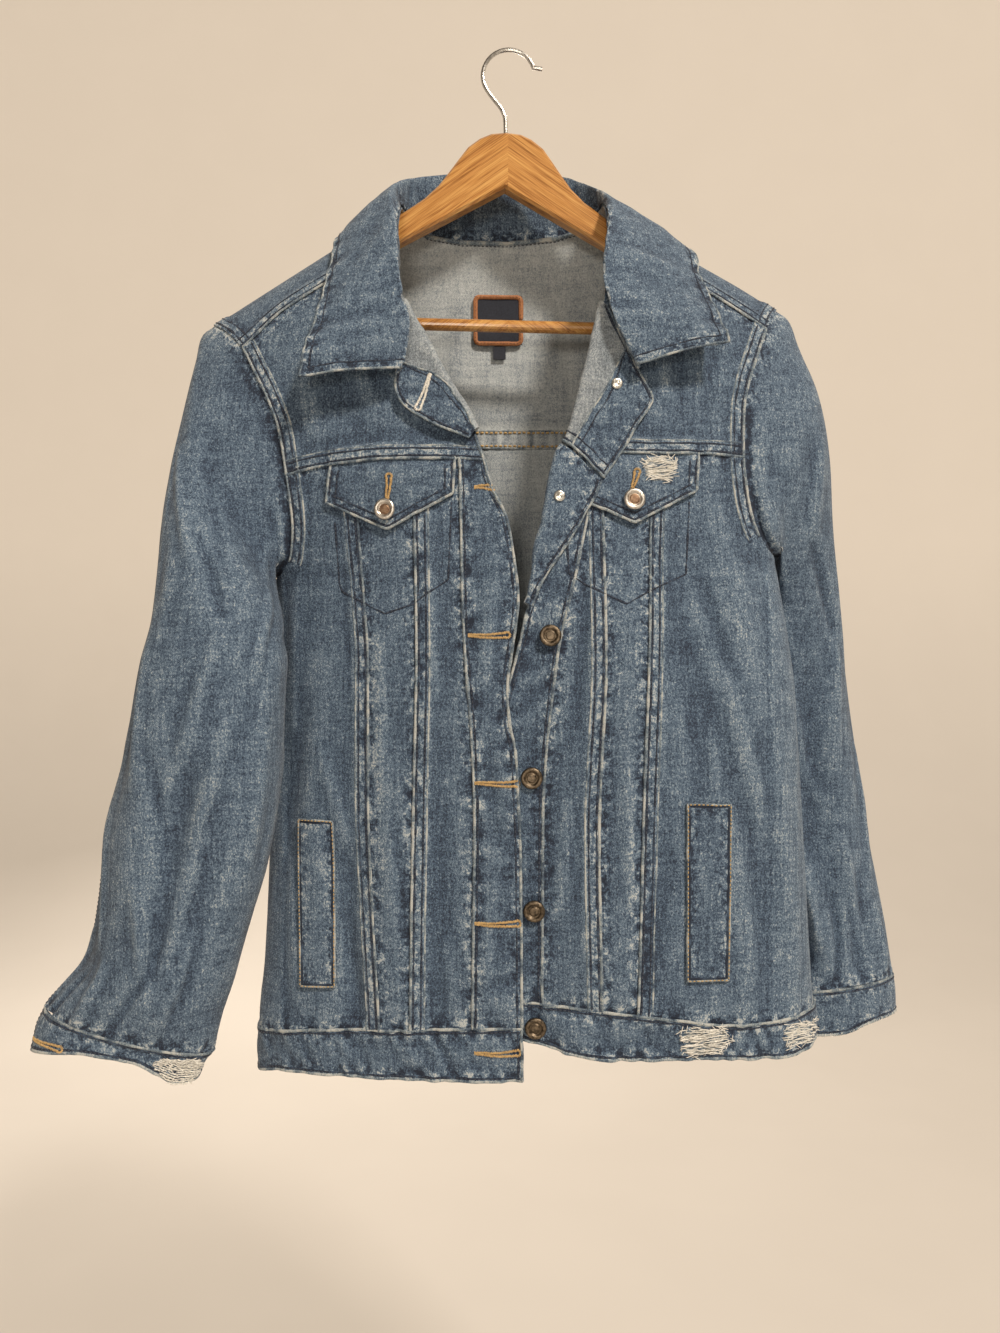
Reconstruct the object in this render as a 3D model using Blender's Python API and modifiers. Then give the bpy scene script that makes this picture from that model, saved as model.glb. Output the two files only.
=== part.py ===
"""A denim trucker jacket hanging open on a wooden coat hanger.

Metres, +Z up. The origin is the inside of the hook's crown, where a rail or a wall hook holds it. The front
faces -Y, and the suffixes _l and _r are the -X and the +X side, as seen by someone who looks at the front.
Every table is in millimetres, and its angles are in degrees.
"""
import math

import bmesh
import bpy
import numpy as np
from mathutils import Matrix, Vector

MM = 0.001
NAME = "denim_jacket_on_hanger"

# Cloth
DENIM = 1.2 * MM            # one layer
DOUBLE = 2.2 * MM           # plackets, bands, cuffs, flaps and collar
SEAM_GAP = 0.15 * MM        # each piece stops this far short of its seam
BORE_GAP = 0.3 * MM         # round a part that goes into another
SHOULDER_ROUND = 120 * MM   # height over which the body rounds off into the shoulder ridge
FULLNESS = 0.7              # under 1 makes the body's section boxier than an ellipse
PASSES = 8                  # rounds in which a width and the height it depends on settle

# Hanger and hook
WOOD_HALF = 7 * MM
BAR_RADIUS = 4.9 * MM
BAR_HEIGHT = -225 * MM
BAR_HALF = 182 * MM
WIRE_RADIUS = 1.75 * MM
HANGER_TILT = math.radians(1.4)

# Buttons
BUTTON_RADIUS = 8.3 * MM
BUTTON_HEIGHT = 3.4 * MM
BUTTON_CLEAR = 1.3 * MM     # from the cloth below it
RIVET_RADIUS = 4.3 * MM
RIVET_HEIGHT = 1.4 * MM

FRONT, BACK = -1, 1
SIDES = {"l": -1, "r": 1}


def smooth(places, values, at):
    """A curve through the values at rising places, which never overshoots them."""
    places = np.asarray(places, float)
    values = np.asarray(values, float)
    at = np.asarray(at, float)
    steps = np.diff(places)
    slopes = np.diff(values, axis=0) / steps.reshape((-1,) + (1,) * (values.ndim - 1))
    tangents = np.empty_like(values)
    tangents[0] = slopes[0]
    tangents[-1] = slopes[-1]
    product = slopes[:-1] * slopes[1:]
    total = slopes[:-1] + slopes[1:]
    tangents[1:-1] = np.where(product > 0, 2 * product / np.where(total == 0, 1, total), 0)
    span = np.clip(np.searchsorted(places, at, side="right") - 1, 0, len(steps) - 1)
    share = np.clip((at - places[span]) / steps[span], 0, 1)
    width = steps[span]
    if values.ndim > 1:
        share = share[..., None]
        width = width[..., None]
    square = share * share
    cube = square * share
    return ((2 * cube - 3 * square + 1) * values[span] + (cube - 2 * square + share) * width * tangents[span]
            + (3 * square - 2 * cube) * values[span + 1] + (cube - square) * width * tangents[span + 1])


class Table:
    """Rows of sizes under named columns, read as smooth curves over the first column."""

    def __init__(self, columns, *rows):
        self.names = columns.split()
        values = np.array(sorted(rows), float)
        for number, name in enumerate(self.names):
            if not name.endswith("_deg"):
                values[:, number] *= MM
        self.places = values[:, 0]
        self.values = values[:, 1:]

    def at(self, place):
        """All other columns at a place."""
        return smooth(self.places, self.values, place)

    def __call__(self, place):
        """The second column at a place."""
        return smooth(self.places, self.values[:, 0], place)


# The shoulder ridge: its height at each place across.
RIDGE = Table(
    "x z",
    (-270, -244), (-240.3, -225.6), (-135, -160), (-86, -129.5), (-45, -112), (0, -105),
    (45, -112), (77, -128), (148, -172), (188, -194.5), (219, -213.3), (250, -232))

# Body sections. front and back are its half depths, left_y and right_y how far its two sides lie back.
TORSO = Table(
    "z left right front back left_y right_y",
    (-90, -262, 248, 52, 45, 0, 0),
    (-225, -268, 250, 53, 45, 0, 0),
    (-300, -246, 240, 55, 45, 2, -2),
    (-360, -221, 229, 57, 44, 5, -8),
    (-420, -196, 211, 59, 42, 8, -15),
    (-435, -190, 213, 60, 42, 9, -17),
    (-480, -190, 219, 62, 40, 11, -22),
    (-540, -192, 226, 63, 38, 12, -25),
    (-655, -195, 232.5, 63, 36, 12, -26),
    (-745, -199, 238, 62, 36, 11, -25),
    (-792, -204, 242, 61, 36, 10, -23),
    (-840, -205, 239, 60, 35, 9, -22))

# Folds of the body: a ridge (depth over 0) or a trough from one point to another.
FRONT_FOLDS = (
    # x0, z0, x1, z1, width, depth
    (-150, -470, -158, -780, 16, 3.0),
    (-125, -640, -119, -800, 11, -3.2),
    (-92, -560, -86, -815, 14, 2.6),
    (-52, -600, -47, -815, 12, -2.4),
    (92, -440, 84, -790, 15, 2.6),
    (128, -420, 150, -600, 15, -3.0),
    (158, -370, 196, -560, 13, 3.2),
    (190, -600, 205, -790, 15, -3.4),
    (-140, -255, -115, -335, 14, -2.6),
    (125, -240, 140, -330, 14, -2.6))
BACK_FOLDS = (
    (-135, -350, -150, -780, 20, 3.4),
    (-85, -420, -72, -800, 17, -3.6),
    (-20, -340, -28, -790, 20, 3.0),
    (48, -450, 40, -800, 17, -3.4),
    (110, -350, 128, -790, 20, 3.4))
UNDERLAP = Table("x depth", (-40, 4.8), (14, 4.8), (34, 3), (60, 0), (70, 0))
UNDERLAP_TOP = Table("z share", (-540, 1000), (-492, 1000), (-455, 0), (-400, 0))

# Lines that run down: the place across at each height.
ARM_FRONT = {
    "l": Table("z x", (-225.6, -240.3), (-238, -223), (-252.4, -210), (-270, -200.6), (-293, -189),
               (-319.5, -179.3), (-355, -173.8), (-395, -169.5), (-415, -171.5), (-428, -179), (-435, -190)),
    "r": Table("z x", (-213.3, 219), (-224, 211), (-236.4, 205.4), (-258.7, 196.5), (-284, 187.7),
               (-306.6, 183.4), (-342.7, 182.6), (-371, 185), (-395, 191), (-411, 200), (-420, 211))}
ARM_BACK = {
    "l": Table("z x", (-225.6, -240.3), (-240, -222), (-270, -205), (-310, -191), (-350, -184),
               (-395, -178), (-420, -181), (-430, -185), (-435, -190)),
    "r": Table("z x", (-213.3, 219), (-228, 208), (-260, 198), (-300, 191), (-340, 188),
               (-380, 190), (-405, 197), (-415, 203), (-420, 211))}
OUTER_V = {
    "l": Table("z x", (-340, -119.5), (-393, -117), (-456, -112), (-499, -109), (-600, -108.7), (-780, -100)),
    "r": Table("z x", (-340, 111.5), (-393, 109), (-495, 106), (-610, 101.5), (-767, 97.7))}
INNER_V = {
    "l": Table("z x", (-340, -71.5), (-392, -71), (-499, -69.2), (-623, -71.8), (-780, -74)),
    "r": Table("z x", (-340, 70), (-385, 70.5), (-495, 72), (-632, 66.6), (-761, 69))}
PLACKET_SEAM = {
    "l": Table("z x", (-340, -36.5), (-472, -33.2), (-569, -26.4), (-622, -24.8), (-775, -26.4)),
    "r": Table("z x", (-330, 70), (-370, 63), (-431, 50.4), (-499, 35.2), (-618, 24.6), (-760, 23.8))}
FRONT_EDGE = {
    "l": Table("z x", (-220.6, -83.1), (-278, -52.3), (-324, -25.6), (-336, -21.8), (-346, -18), (-362, -14.2),
               (-393, -0.5), (-423, 4.8), (-453.5, 7.8), (-491.5, 3.3), (-522, -0.5), (-545, 1), (-567.5, 5.6),
               (-605, 7.8), (-643, 9.4), (-825, 10.9)),
    "r": Table("z x", (-216.7, 74.5), (-328, 46.4), (-344, 37.9), (-370, 32.2), (-393, 28.4), (-420, 21.5),
               (-447, 18.3), (-466, 12.1), (-479, 9.4), (-500, 4), (-522, -2), (-545, -8), (-580, -12),
               (-825, -12))}

# Lines that run across: the height at each place across.
SHOULDER_SEAM = {
    "l": Table("x z", (-240, -268), (-210.5, -252.8), (-179, -225.4), (-142.5, -203.5), (-86, -176)),
    "r": Table("x z", (77, -168), (120, -188), (162, -211), (205.4, -236.4), (225, -248))}
YOKE_SEAM = {
    "l": Table("x z", (-180, -357), (-174, -355), (-137.7, -348), (-92, -344.5), (-40, -344.4), (-10, -346)),
    "r": Table("x z", (30, -330), (40, -332.6), (60, -337), (90, -340.5), (118, -341.3), (153, -340.8),
               (190, -343))}
HEM_SEAM = {
    "l": Table("x z", (-204, -798), (-178, -793), (-150, -788.5), (-30, -779.5), (15, -777)),
    "r": Table("x z", (-15, -757.5), (12, -759), (71, -763.7), (128, -770), (172, -775), (208, -773.5),
               (245, -765))}
HEM_EDGE = {
    "l": Table("x z", (-204, -831), (-180, -824), (-140, -821.5), (-30, -818.5), (15, -816.5)),
    "r": Table("x z", (-15, -785.5), (12, -787), (48, -796.6), (83, -799.7), (141, -799), (205, -800.8),
               (245, -792.5))}
BACK_YOKE_SEAM = Table("x z", (-190, -312), (0, -307), (190, -312))
BACK_HEM_SEAM = Table("x z", (-204, -798), (-60, -785), (20, -772), (130, -770), (245, -765))
BACK_HEM_EDGE = Table("x z", (-204, -831), (-60, -818), (20, -806), (130, -801), (245, -792.5))

# The neckline, from the left front's roll round the back to the right front's roll.
NECKLINE = (
    # x, z, side
    (-83.1, -220.6, FRONT), (-84.5, -198, FRONT), (-86, -176, FRONT), (-87, -150, FRONT), (-86, -125, FRONT),
    (-80, -135, BACK), (-68, -141, BACK), (-40, -143.5, BACK), (0, -143.5, BACK), (40, -141, BACK),
    (60, -137.5, BACK), (71, -132, BACK), (77, -122, FRONT), (78, -147, FRONT), (77, -168, FRONT),
    (76, -195, FRONT), (74.5, -216.7, FRONT))
NECK_SHOULDER = {"l": 2, "r": 14}      # rows of NECKLINE at the shoulder seams, on the ridge and at the back
NECK_TOP = {"l": 4, "r": 12}
NECK_BACK = {"l": 6, "r": 10}

# The turned back edges of the two fronts, from the collar down: fold and cut edge at each height.
LAPEL_LIFT = 5.2 * MM
FOLD_GAP = 0.3 * MM
TURN = {
    # share of the way down, fold_x, fold_z, edge_x, edge_z
    "l": ((0, -81, -225, -83.5, -228), (0.15, -74.5, -237, -84, -243), (0.3, -67.5, -250, -84.6, -260),
          (0.45, -60.5, -263, -85, -277), (0.55, -55.5, -272.5, -86.5, -290), (0.62, -52, -279, -84, -299),
          (0.8, -41, -298, -64, -316), (1, -25.5, -324.5, -30, -331)),
    "r": ((0, 72.5, -226, 75.5, -229), (0.12, 69, -240, 82, -243.5), (0.25, 65.5, -254, 90, -260),
          (0.38, 61.5, -270, 98.5, -277), (0.47, 58.5, -281, 104.5, -288.5), (0.55, 56, -291, 109.5, -298),
          (0.75, 50, -314, 98.5, -319.5), (0.88, 45.5, -325, 85, -343), (1, 41, -334.5, 72, -361.5)),
    "r_lower": ((0, 40.5, -337, 71, -364), (0.25, 32, -371, 62, -382), (0.5, 26.5, -402, 45, -412),
                (0.8, 19, -440, 25, -443), (1, 15, -458, 18.5, -460))}

# The collar: the seam that carries it, the top of its roll, and its outer edge.
COLLAR = (
    # seam_x, seam_z, seam_side, seam_lift, roll_x, roll_y, roll_z, edge_x, edge_y, edge_z
    (-84, -282, FRONT, 10, -83.5, -69, -280, -157, -68, -288.5),
    (-80, -252, FRONT, 10, -78.6, -68, -248, -152.5, -65, -263),
    (-83.2, -222, FRONT, 8, -84.2, -63, -222, -147, -57, -244),
    (-84.5, -201, FRONT, 2.4, -88, -58, -196, -143.5, -47, -221),
    (-86, -172, FRONT, 2.4, -91, -45, -162, -139, -33, -191),
    (-86.4, -146, FRONT, 4, -98, -20, -126, -137, -8, -157),
    (-85.5, -125, FRONT, 4, -93, -2, -111, -131, 13, -156),
    (-79, -134, BACK, 2.4, -80, 16, -99, -112, 37, -160),
    (-55, -141, BACK, 2.4, -50, 33, -88, -68, 52, -155),
    (0, -142, BACK, 2.4, 0, 38, -84, 0, 57, -154),
    (48, -139, BACK, 2.4, 48, 33, -90, 65, 52, -156),
    (69, -131, BACK, 2.4, 70, 16, -106, 104, 37, -163),
    (76, -122, FRONT, 4, 79, -2, -118, 131, 14, -162),
    (77, -143, FRONT, 4, 86, -18, -131.5, 145, -8, -167),
    (77, -172, FRONT, 2.4, 80, -46, -170, 151, -32, -198),
    (75, -210, FRONT, 4, 76, -61, -209, 157.5, -47, -223),
    (82.5, -244, FRONT, 9, 84, -69, -242, 163, -60, -246),
    (99, -278, FRONT, 10, 101, -69.5, -276, 166.5, -66, -259.5))
COLLAR_ROLL = 3.2 * MM
COLLAR_BULGE = 3 * MM

# Sleeve sections: the middle, half width and half depth, how far the outer end is tipped up, and how far the
# seams have turned round the arm.
SLEEVE = {
    # x, y, z, half_width, half_depth, tilt_deg, turn_deg
    "l": ((-222, -8, -372, 87, 43, 64, 18), (-219, -24, -402, 73, 42, 49, 30), (-218, -40, -436, 62, 40, 34, 34),
          (-220, -50, -470, 54, 38, 21, 34), (-226, -55, -515, 56, 38, 11, 33),
          (-233, -56, -577, 60, 39, 9, 33), (-245, -56, -640, 62.5, 39, 9, 34), (-257, -55, -697, 58, 38, 10, 35),
          (-267, -54, -737, 56, 37, 11, 36), (-281, -54, -762, 61, 33, 13, 36),
          (-290, -54, -780, 66, 28, 15, 36)),
    "r": ((219, 2, -360, 92, 41, 70, -24), (216, 5, -401, 82, 39, 54, -30), (223, 13, -428, 55, 35, 31, -38),
          (230, 24, -474, 51, 32, 14, -40), (236, 33, -543, 54, 33, 8, -34), (246, 38, -625, 58, 33, 8, -25),
          (259, 38, -700, 57.5, 32, 9, -14), (269, 37, -748, 56, 31, 8, -6), (273, 36, -770, 55, 30, 7, 0))}
CUFF = {
    # x, y, z, half_width, half_depth, tilt_deg, turn_deg
    "l": ((-290.2, -54, -780.8, 66, 28, 15, 0), (-296, -54.5, -797, 66, 27, 12, 0),
          (-300, -55, -816, 65, 27, 10, 0)),
    "r": ((273, 36, -771, 55, 30, 7, 0), (276, 36, -785, 54, 30, 7, 0), (278, 36, -806, 53, 29.5, 8, 0))}
CUFF_LIFT = {      # how far a cuff's lower edge is crumpled up, round the arm
    "l": Table("angle_deg z", (-10, 7), (40, 14), (85, 23), (108, 22), (128, 14), (140, 9), (165, 10), (185, 15),
               (260, 8), (340, 7)),
    "r": Table("angle_deg z", (-30, 2), (60, 4), (90, -2), (130, 3), (180, 0), (330, 2), (420, 4), (450, -2),
               (540, 3), (690, 2))}
SLEEVE_FOLDS = {
    # angle0, z0, angle1, z1, width, depth
    "l": ((60, -300, 100, -470, 9, -4), (45, -420, 62, -700, 10, 4), (88, -560, 96, -760, 8, -7),
          (112, -600, 125, -770, 8, -6), (20, -640, 30, -745, 9, -4), (150, -480, 140, -690, 9, 4),
          (215, -420, 240, -700, 11, 5), (280, -380, 300, -650, 11, -6), (330, -480, 320, -740, 10, 5)),
    "r": ((50, -290, 75, -420, 9, -5), (30, -380, 52, -640, 10, 4), (75, -500, 88, -720, 9, -5),
          (128, -580, 118, -775, 10, -16), (100, -640, 92, -770, 7, 4), (55, -680, 62, -775, 8, -5),
          (215, -420, 240, -700, 11, 5), (280, -380, 300, -650, 11, -6), (330, -480, 320, -740, 10, 5))}
ARM_STEPS = {"tip": 3, "front_yoke": 5, "front_pit": 5, "back_pit": 6, "back_tip": 6}
RIDGE_CROWD = 1.6             # crowds the rows of the back yoke towards the shoulder ridge
SLEEVE_RINGS = 20
SLEEVE_START = 4.5 * MM        # the sleeve first runs on in the body's own direction
SLEEVE_CLEAR = 6 * MM          # then it stays this far from the body,
CLEAR_TO = 75 * MM             # from this far above the armhole's lowest point
CLEAR_FADE = 45 * MM           # and in full this far below that
PIT_ROWS = 9                   # rows whose points are evened out round the armhole's lowest point
PIT_PASSES = 14
PIT_FOLD = 3 * MM              # how far the sleeve folds out over the armhole's lowest point
FRONT_SEAM_COLUMN = 15         # the sleeve's two seams, in columns from the shoulder's tip round the front
BACK_SEAM_COLUMN = 22

# What lies on the fronts
FLAP = {
    "l": dict(top=((-137.7, -350.5), (-40, -347)), side_z=(-377.5, -372.5), side_x=(-141, -41.5),
              point=(-92.5, -399.5)),
    "r": dict(top=((146.2, -348.5), (49, -344)), side_z=(-370.5, -377), side_x=(143.5, 52), point=(95.2, -396))}
FLAP_LIFT = 3.4 * MM
FLAP_BUTTON = {"l": (-93.5, -384), "r": (94.8, -378)}
WELT = {
    "l": dict(top=((-164, -623.5), (-135, -623.5)), bottom=((-163, -755), (-134, -753))),
    "r": dict(top=((132.5, -606), (166.6, -607)), bottom=((132.5, -739.5), (165, -739.5)))}
WELT_LIFT = 2.2 * MM
FRONT_BUTTONS = ((31.4, -480.8), (17.2, -588), (19, -688), (20.2, -776.5))
LAPEL_BUTTONS = ((82, -289), (38, -376))
LABEL_CLEAR = 4 * MM         # from the yoke's outer face
LABEL_WALL = 1 * MM
LABEL = dict(x=(-30, 13.5), z=(-184.5, -228))
SIZE_TAB = dict(x=(-12.6, -1.8), z=(-228.8, -239.5))


# ---------------------------------------------------------------- the body's surface

def shoulder_fall(s):
    """How far the cloth lies below the ridge, and its share of the full depth, s along it from the ridge."""
    turn = np.minimum(np.abs(s) / SHOULDER_ROUND, math.pi / 2)
    straight = np.maximum(np.abs(s) - SHOULDER_ROUND * math.pi / 2, 0)
    return SHOULDER_ROUND * (1 - np.cos(turn)) + straight, np.sin(turn)


def over_shoulder(fall):
    """The distance along the cloth from the ridge to a height this far below it."""
    fall = np.maximum(fall, 0)
    turn = np.arccos(np.clip(1 - fall / SHOULDER_ROUND, 0, 1))
    return SHOULDER_ROUND * turn + np.maximum(fall - SHOULDER_ROUND, 0)


def fold_relief(folds, x, z):
    """The sum of soft ridges and troughs at points across and up, each fading at its two ends."""
    relief = np.zeros(np.broadcast(x, z).shape)
    for x0, z0, x1, z1, width, depth in np.array(folds) * MM:
        share = (z - z0) / (z1 - z0)
        aside = (x - (x0 + (x1 - x0) * share)) / width
        fade = np.clip(np.sin(math.pi * np.clip(share, 0, 1)), 0, 1) ** 0.6
        relief = relief + depth * np.exp(-aside * aside) * fade
    return relief


def torso_surface(u, s):
    """Points of the body: u is the angle round it from its middle, s the way down, under 0 in front."""
    fall, full = shoulder_fall(s)
    z = RIDGE(np.zeros_like(u)) - fall
    for _ in range(PASSES):
        row = TORSO.at(z)
        left, right = row[..., 0], row[..., 1]
        x = (left + right) / 2 + (right - left) / 2 * np.sin(u)
        z = RIDGE(x) - fall
    row = TORSO.at(z)
    front = s < 0
    half = np.where(front, -row[..., 2], row[..., 3])
    bulge = np.sign(np.cos(u)) * np.abs(np.cos(u)) ** FULLNESS
    lean = (row[..., 4] * (1 - np.sin(u)) + row[..., 5] * (1 + np.sin(u))) / 2
    relief = np.where(front, -fold_relief(FRONT_FOLDS, x, z), fold_relief(BACK_FOLDS, x, z))
    away = np.clip(np.abs(np.cos(u)) * 3, 0, 1)
    y = (lean + half * bulge + relief * away) * full
    return np.stack([x, y, z], axis=-1)


def torso(points, lift=0.0):
    """Points on the body's cloth, or lifted off it along its outward normal."""
    points = np.asarray(points, float)
    u, s = points[..., 0], points[..., 1]
    place = torso_surface(u, s)
    if np.isscalar(lift) and lift == 0:
        return place
    return place + torso_normal(points) * np.asarray(lift)[..., None]


def torso_normal(points):
    """The body's outward normals."""
    u, s = points[..., 0], points[..., 1]
    step_u, step_s = 0.01, 0.5 * MM
    round_it = torso_surface(u + step_u, s) - torso_surface(u - step_u, s)
    down = torso_surface(u, s + step_s) - torso_surface(u, s - step_s)
    normal = np.cross(round_it, down)
    normal /= np.linalg.norm(normal, axis=-1)[..., None]
    outward = np.where(s < 0, -1, 1) * np.ones_like(normal[..., 1])
    away = np.stack([np.sin(u), outward * np.maximum(np.cos(u), 0), np.zeros_like(u)], axis=-1)
    flip = np.sum(normal * away, axis=-1) < 0
    return np.where(flip[..., None], -normal, normal)


def cloth(x, z, side):
    """The body's own coordinates of a point given by its place across and its height."""
    row = TORSO.at(z)
    left, right = row[..., 0], row[..., 1]
    u = np.arcsin(np.clip((x - (left + right) / 2) / ((right - left) / 2), -1, 1))
    return np.stack([u, side * over_shoulder(RIDGE(x) - z)], axis=-1)


def under(points, amount):
    """Lifts that sink the right front's edge below the left front that covers it."""
    place = torso_surface(points[..., 0], points[..., 1])
    return -amount * UNDERLAP(place[..., 0]) * UNDERLAP_TOP(place[..., 2])


def side_edge(side):
    """The line of a side seam, as the place across at each height."""
    column = 0 if side == "l" else 1
    return lambda z: TORSO.at(z)[..., column]


def down(line, heights, side=FRONT):
    """Cloth coordinates at given heights on a line that runs down."""
    return cloth(line(heights), heights, side)


def across(line, x0, x1, count, side=FRONT, crowd=0.0):
    """Cloth coordinates of count + 1 points along a line that runs across, crowded towards its two ends."""
    ends = cloth(np.array([x0, x1]), line(np.array([x0, x1])), side)
    share = np.linspace(0, 1, count + 1)
    u = ends[0, 0] + (ends[1, 0] - ends[0, 0]) * (share - crowd * np.sin(2 * math.pi * share) / (2 * math.pi))
    x = np.linspace(x0, x1, count + 1)
    for _ in range(PASSES):
        row = TORSO.at(line(x))
        x = (row[:, 0] + row[:, 1]) / 2 + (row[:, 1] - row[:, 0]) / 2 * np.sin(u)
    return cloth(x, line(x), side)


def meet(down_line, across_line, guess):
    """Where a line that runs down meets one that runs across: its place across and its height."""
    z = guess
    for _ in range(PASSES * 2):
        x = float(down_line(np.array(z)))
        z = float(across_line(np.array(x)))
    return x, z


def fill(top, bottom, outer, inner):
    """Fills a four sided piece between its edges, with a row for each point of outer and inner."""
    top, bottom, outer, inner = (np.asarray(edge, float) for edge in (top, bottom, outer, inner))
    c = np.linspace(0, 1, len(top))[None, :, None]
    r = np.linspace(0, 1, len(outer))[:, None, None]
    edges = (1 - r) * top[None] + r * bottom[None] + (1 - c) * outer[:, None] + c * inner[:, None]
    corners = ((1 - r) * (1 - c) * top[0] + (1 - r) * c * top[-1]
               + r * (1 - c) * bottom[0] + r * c * bottom[-1])
    return edges - corners


# ---------------------------------------------------------------- making objects

def material(name, colour, roughness, metallic=0.0):
    """A plain Principled material."""
    made = bpy.data.materials.get(name)
    if made is None:
        made = bpy.data.materials.new(name)
        made.use_nodes = True
        shader = made.node_tree.nodes["Principled BSDF"]
        shader.inputs["Base Color"].default_value = (*colour, 1)
        shader.inputs["Roughness"].default_value = roughness
        shader.inputs["Metallic"].default_value = metallic
    return made


FINISHES = {
    "denim": ((0.115, 0.165, 0.24), 0.85, 0.0),
    "denim_band": ((0.09, 0.135, 0.205), 0.85, 0.0),
    "denim_reverse": ((0.33, 0.33, 0.32), 0.9, 0.0),
    "wood": ((0.55, 0.29, 0.10), 0.35, 0.0),
    "steel": ((0.62, 0.62, 0.62), 0.3, 1.0),
    "bronze": ((0.30, 0.22, 0.13), 0.4, 1.0),
    "copper": ((0.75, 0.55, 0.42), 0.3, 1.0),
    "nickel": ((0.8, 0.8, 0.78), 0.25, 1.0),
    "label": ((0.02, 0.025, 0.05), 0.8, 0.0)}


def dress(made, finish):
    """Gives an object its material."""
    made.data.materials.append(material(finish, *FINISHES[finish]))
    return made


def trim_edges(mesh, gap):
    """Draws a sheet's border in along the sheet by the gap."""
    moves = {}
    for edge in mesh.edges:
        if not edge.is_boundary:
            continue
        face = edge.link_faces[0]
        along = (edge.verts[1].co - edge.verts[0].co).normalized()
        inward = face.calc_center_median() - edge.verts[0].co
        inward = (inward - along * inward.dot(along)).normalized()
        for vertex in edge.verts:
            moves.setdefault(vertex, []).append(inward)
    for vertex, inward in moves.items():
        first, last = inward[0], inward[-1]
        vertex.co += (first + last) * (gap / (1 + first.dot(last)))


def grid_normals(grid, outward):
    """Normals of a grid of points, on the side that mostly faces the outward vectors."""
    faces = np.cross(grid[1:, 1:] - grid[:-1, :-1], grid[1:, :-1] - grid[:-1, 1:])
    faces /= np.linalg.norm(faces, axis=-1)[..., None] + 1e-12
    total = np.zeros_like(grid)
    for rows in (slice(0, -1), slice(1, None)):
        for columns in (slice(0, -1), slice(1, None)):
            total[rows, columns] += faces
    total /= np.linalg.norm(total, axis=-1)[..., None]
    return total * np.sign(np.sum(total * outward))


def body_normals(points, grid):
    """Normals of a grid on the body: the body's own on its border, so that pieces meet square at seams."""
    own = torso_normal(points)
    normals = grid_normals(grid, own)
    for border in (np.s_[0], np.s_[-1], np.s_[:, 0], np.s_[:, -1]):
        normals[border] = own[border]
    return normals


def halves(corners):
    """The two triangles of a four sided face, split along its shorter diagonal."""
    a, b, c, d = corners
    if (a.co - c.co).length < (b.co - d.co).length:
        return (a, b, c), (a, c, d)
    return (b, c, d), (b, d, a)


def sheet(name, pieces, thickness, finish, collection, middle=False):
    """A wall of cloth. Each piece is a grid of points on its outer face and a grid of their normals.

    The wall grows inwards from those points, or lies half on each side of them.
    """
    mesh = bmesh.new()
    normals = {}
    for grid, outward in pieces:
        rows, columns = grid.shape[:2]
        points = [mesh.verts.new(Vector(point)) for point in grid.reshape(-1, 3)]
        for point, normal in zip(points, outward.reshape(-1, 3)):
            normals[point] = Vector(normal)
        for row in range(rows - 1):
            for column in range(columns - 1):
                corner = row * columns + column
                mesh.faces.new((points[corner], points[corner + 1],
                                points[corner + columns + 1], points[corner + columns]))
    bmesh.ops.remove_doubles(mesh, verts=mesh.verts, dist=0.01 * MM)
    bmesh.ops.recalc_face_normals(mesh, faces=mesh.faces)
    mesh.normal_update()
    facing = sum(normals[face.verts[0]].dot(face.normal) * face.calc_area() for face in mesh.faces)
    if facing < 0:
        bmesh.ops.reverse_faces(mesh, faces=mesh.faces)
    trim_edges(mesh, SEAM_GAP)
    border = [[loop.vert for loop in (edge.link_loops[0], edge.link_loops[0].link_loop_next)]
              for edge in mesh.edges if edge.is_boundary]
    faces = [corners for face in mesh.faces for corners in halves(face.verts)]
    bmesh.ops.delete(mesh, geom=mesh.faces[:], context="FACES_ONLY")
    inner = {}
    for vertex in list(mesh.verts):
        normal = normals[vertex]
        inner[vertex] = mesh.verts.new(vertex.co - normal * thickness * (0.5 if middle else 1))
        if middle:
            vertex.co += normal * thickness / 2
    for corners in faces:
        mesh.faces.new(corners)
        mesh.faces.new([inner[vertex] for vertex in reversed(corners)])
    for first, last in border:
        mesh.faces.new((last, first, inner[first], inner[last]))
    data = bpy.data.meshes.new(name)
    mesh.to_mesh(data)
    mesh.free()
    made = bpy.data.objects.new(name, data)
    collection.objects.link(made)
    return dress(made, finish)


def body_panel(name, edges, thickness, finish, collection, lift=0.0, sink=0.0):
    """A piece that lies on the body's surface between four edges."""
    points = fill(*edges)
    lifts = lift + (under(points, sink) if sink else 0)
    grid = torso(points, lifts)
    return sheet(name, [(grid, body_normals(points, grid))], thickness, finish, collection)


# ---------------------------------------------------------------- the armhole and the sleeve

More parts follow.
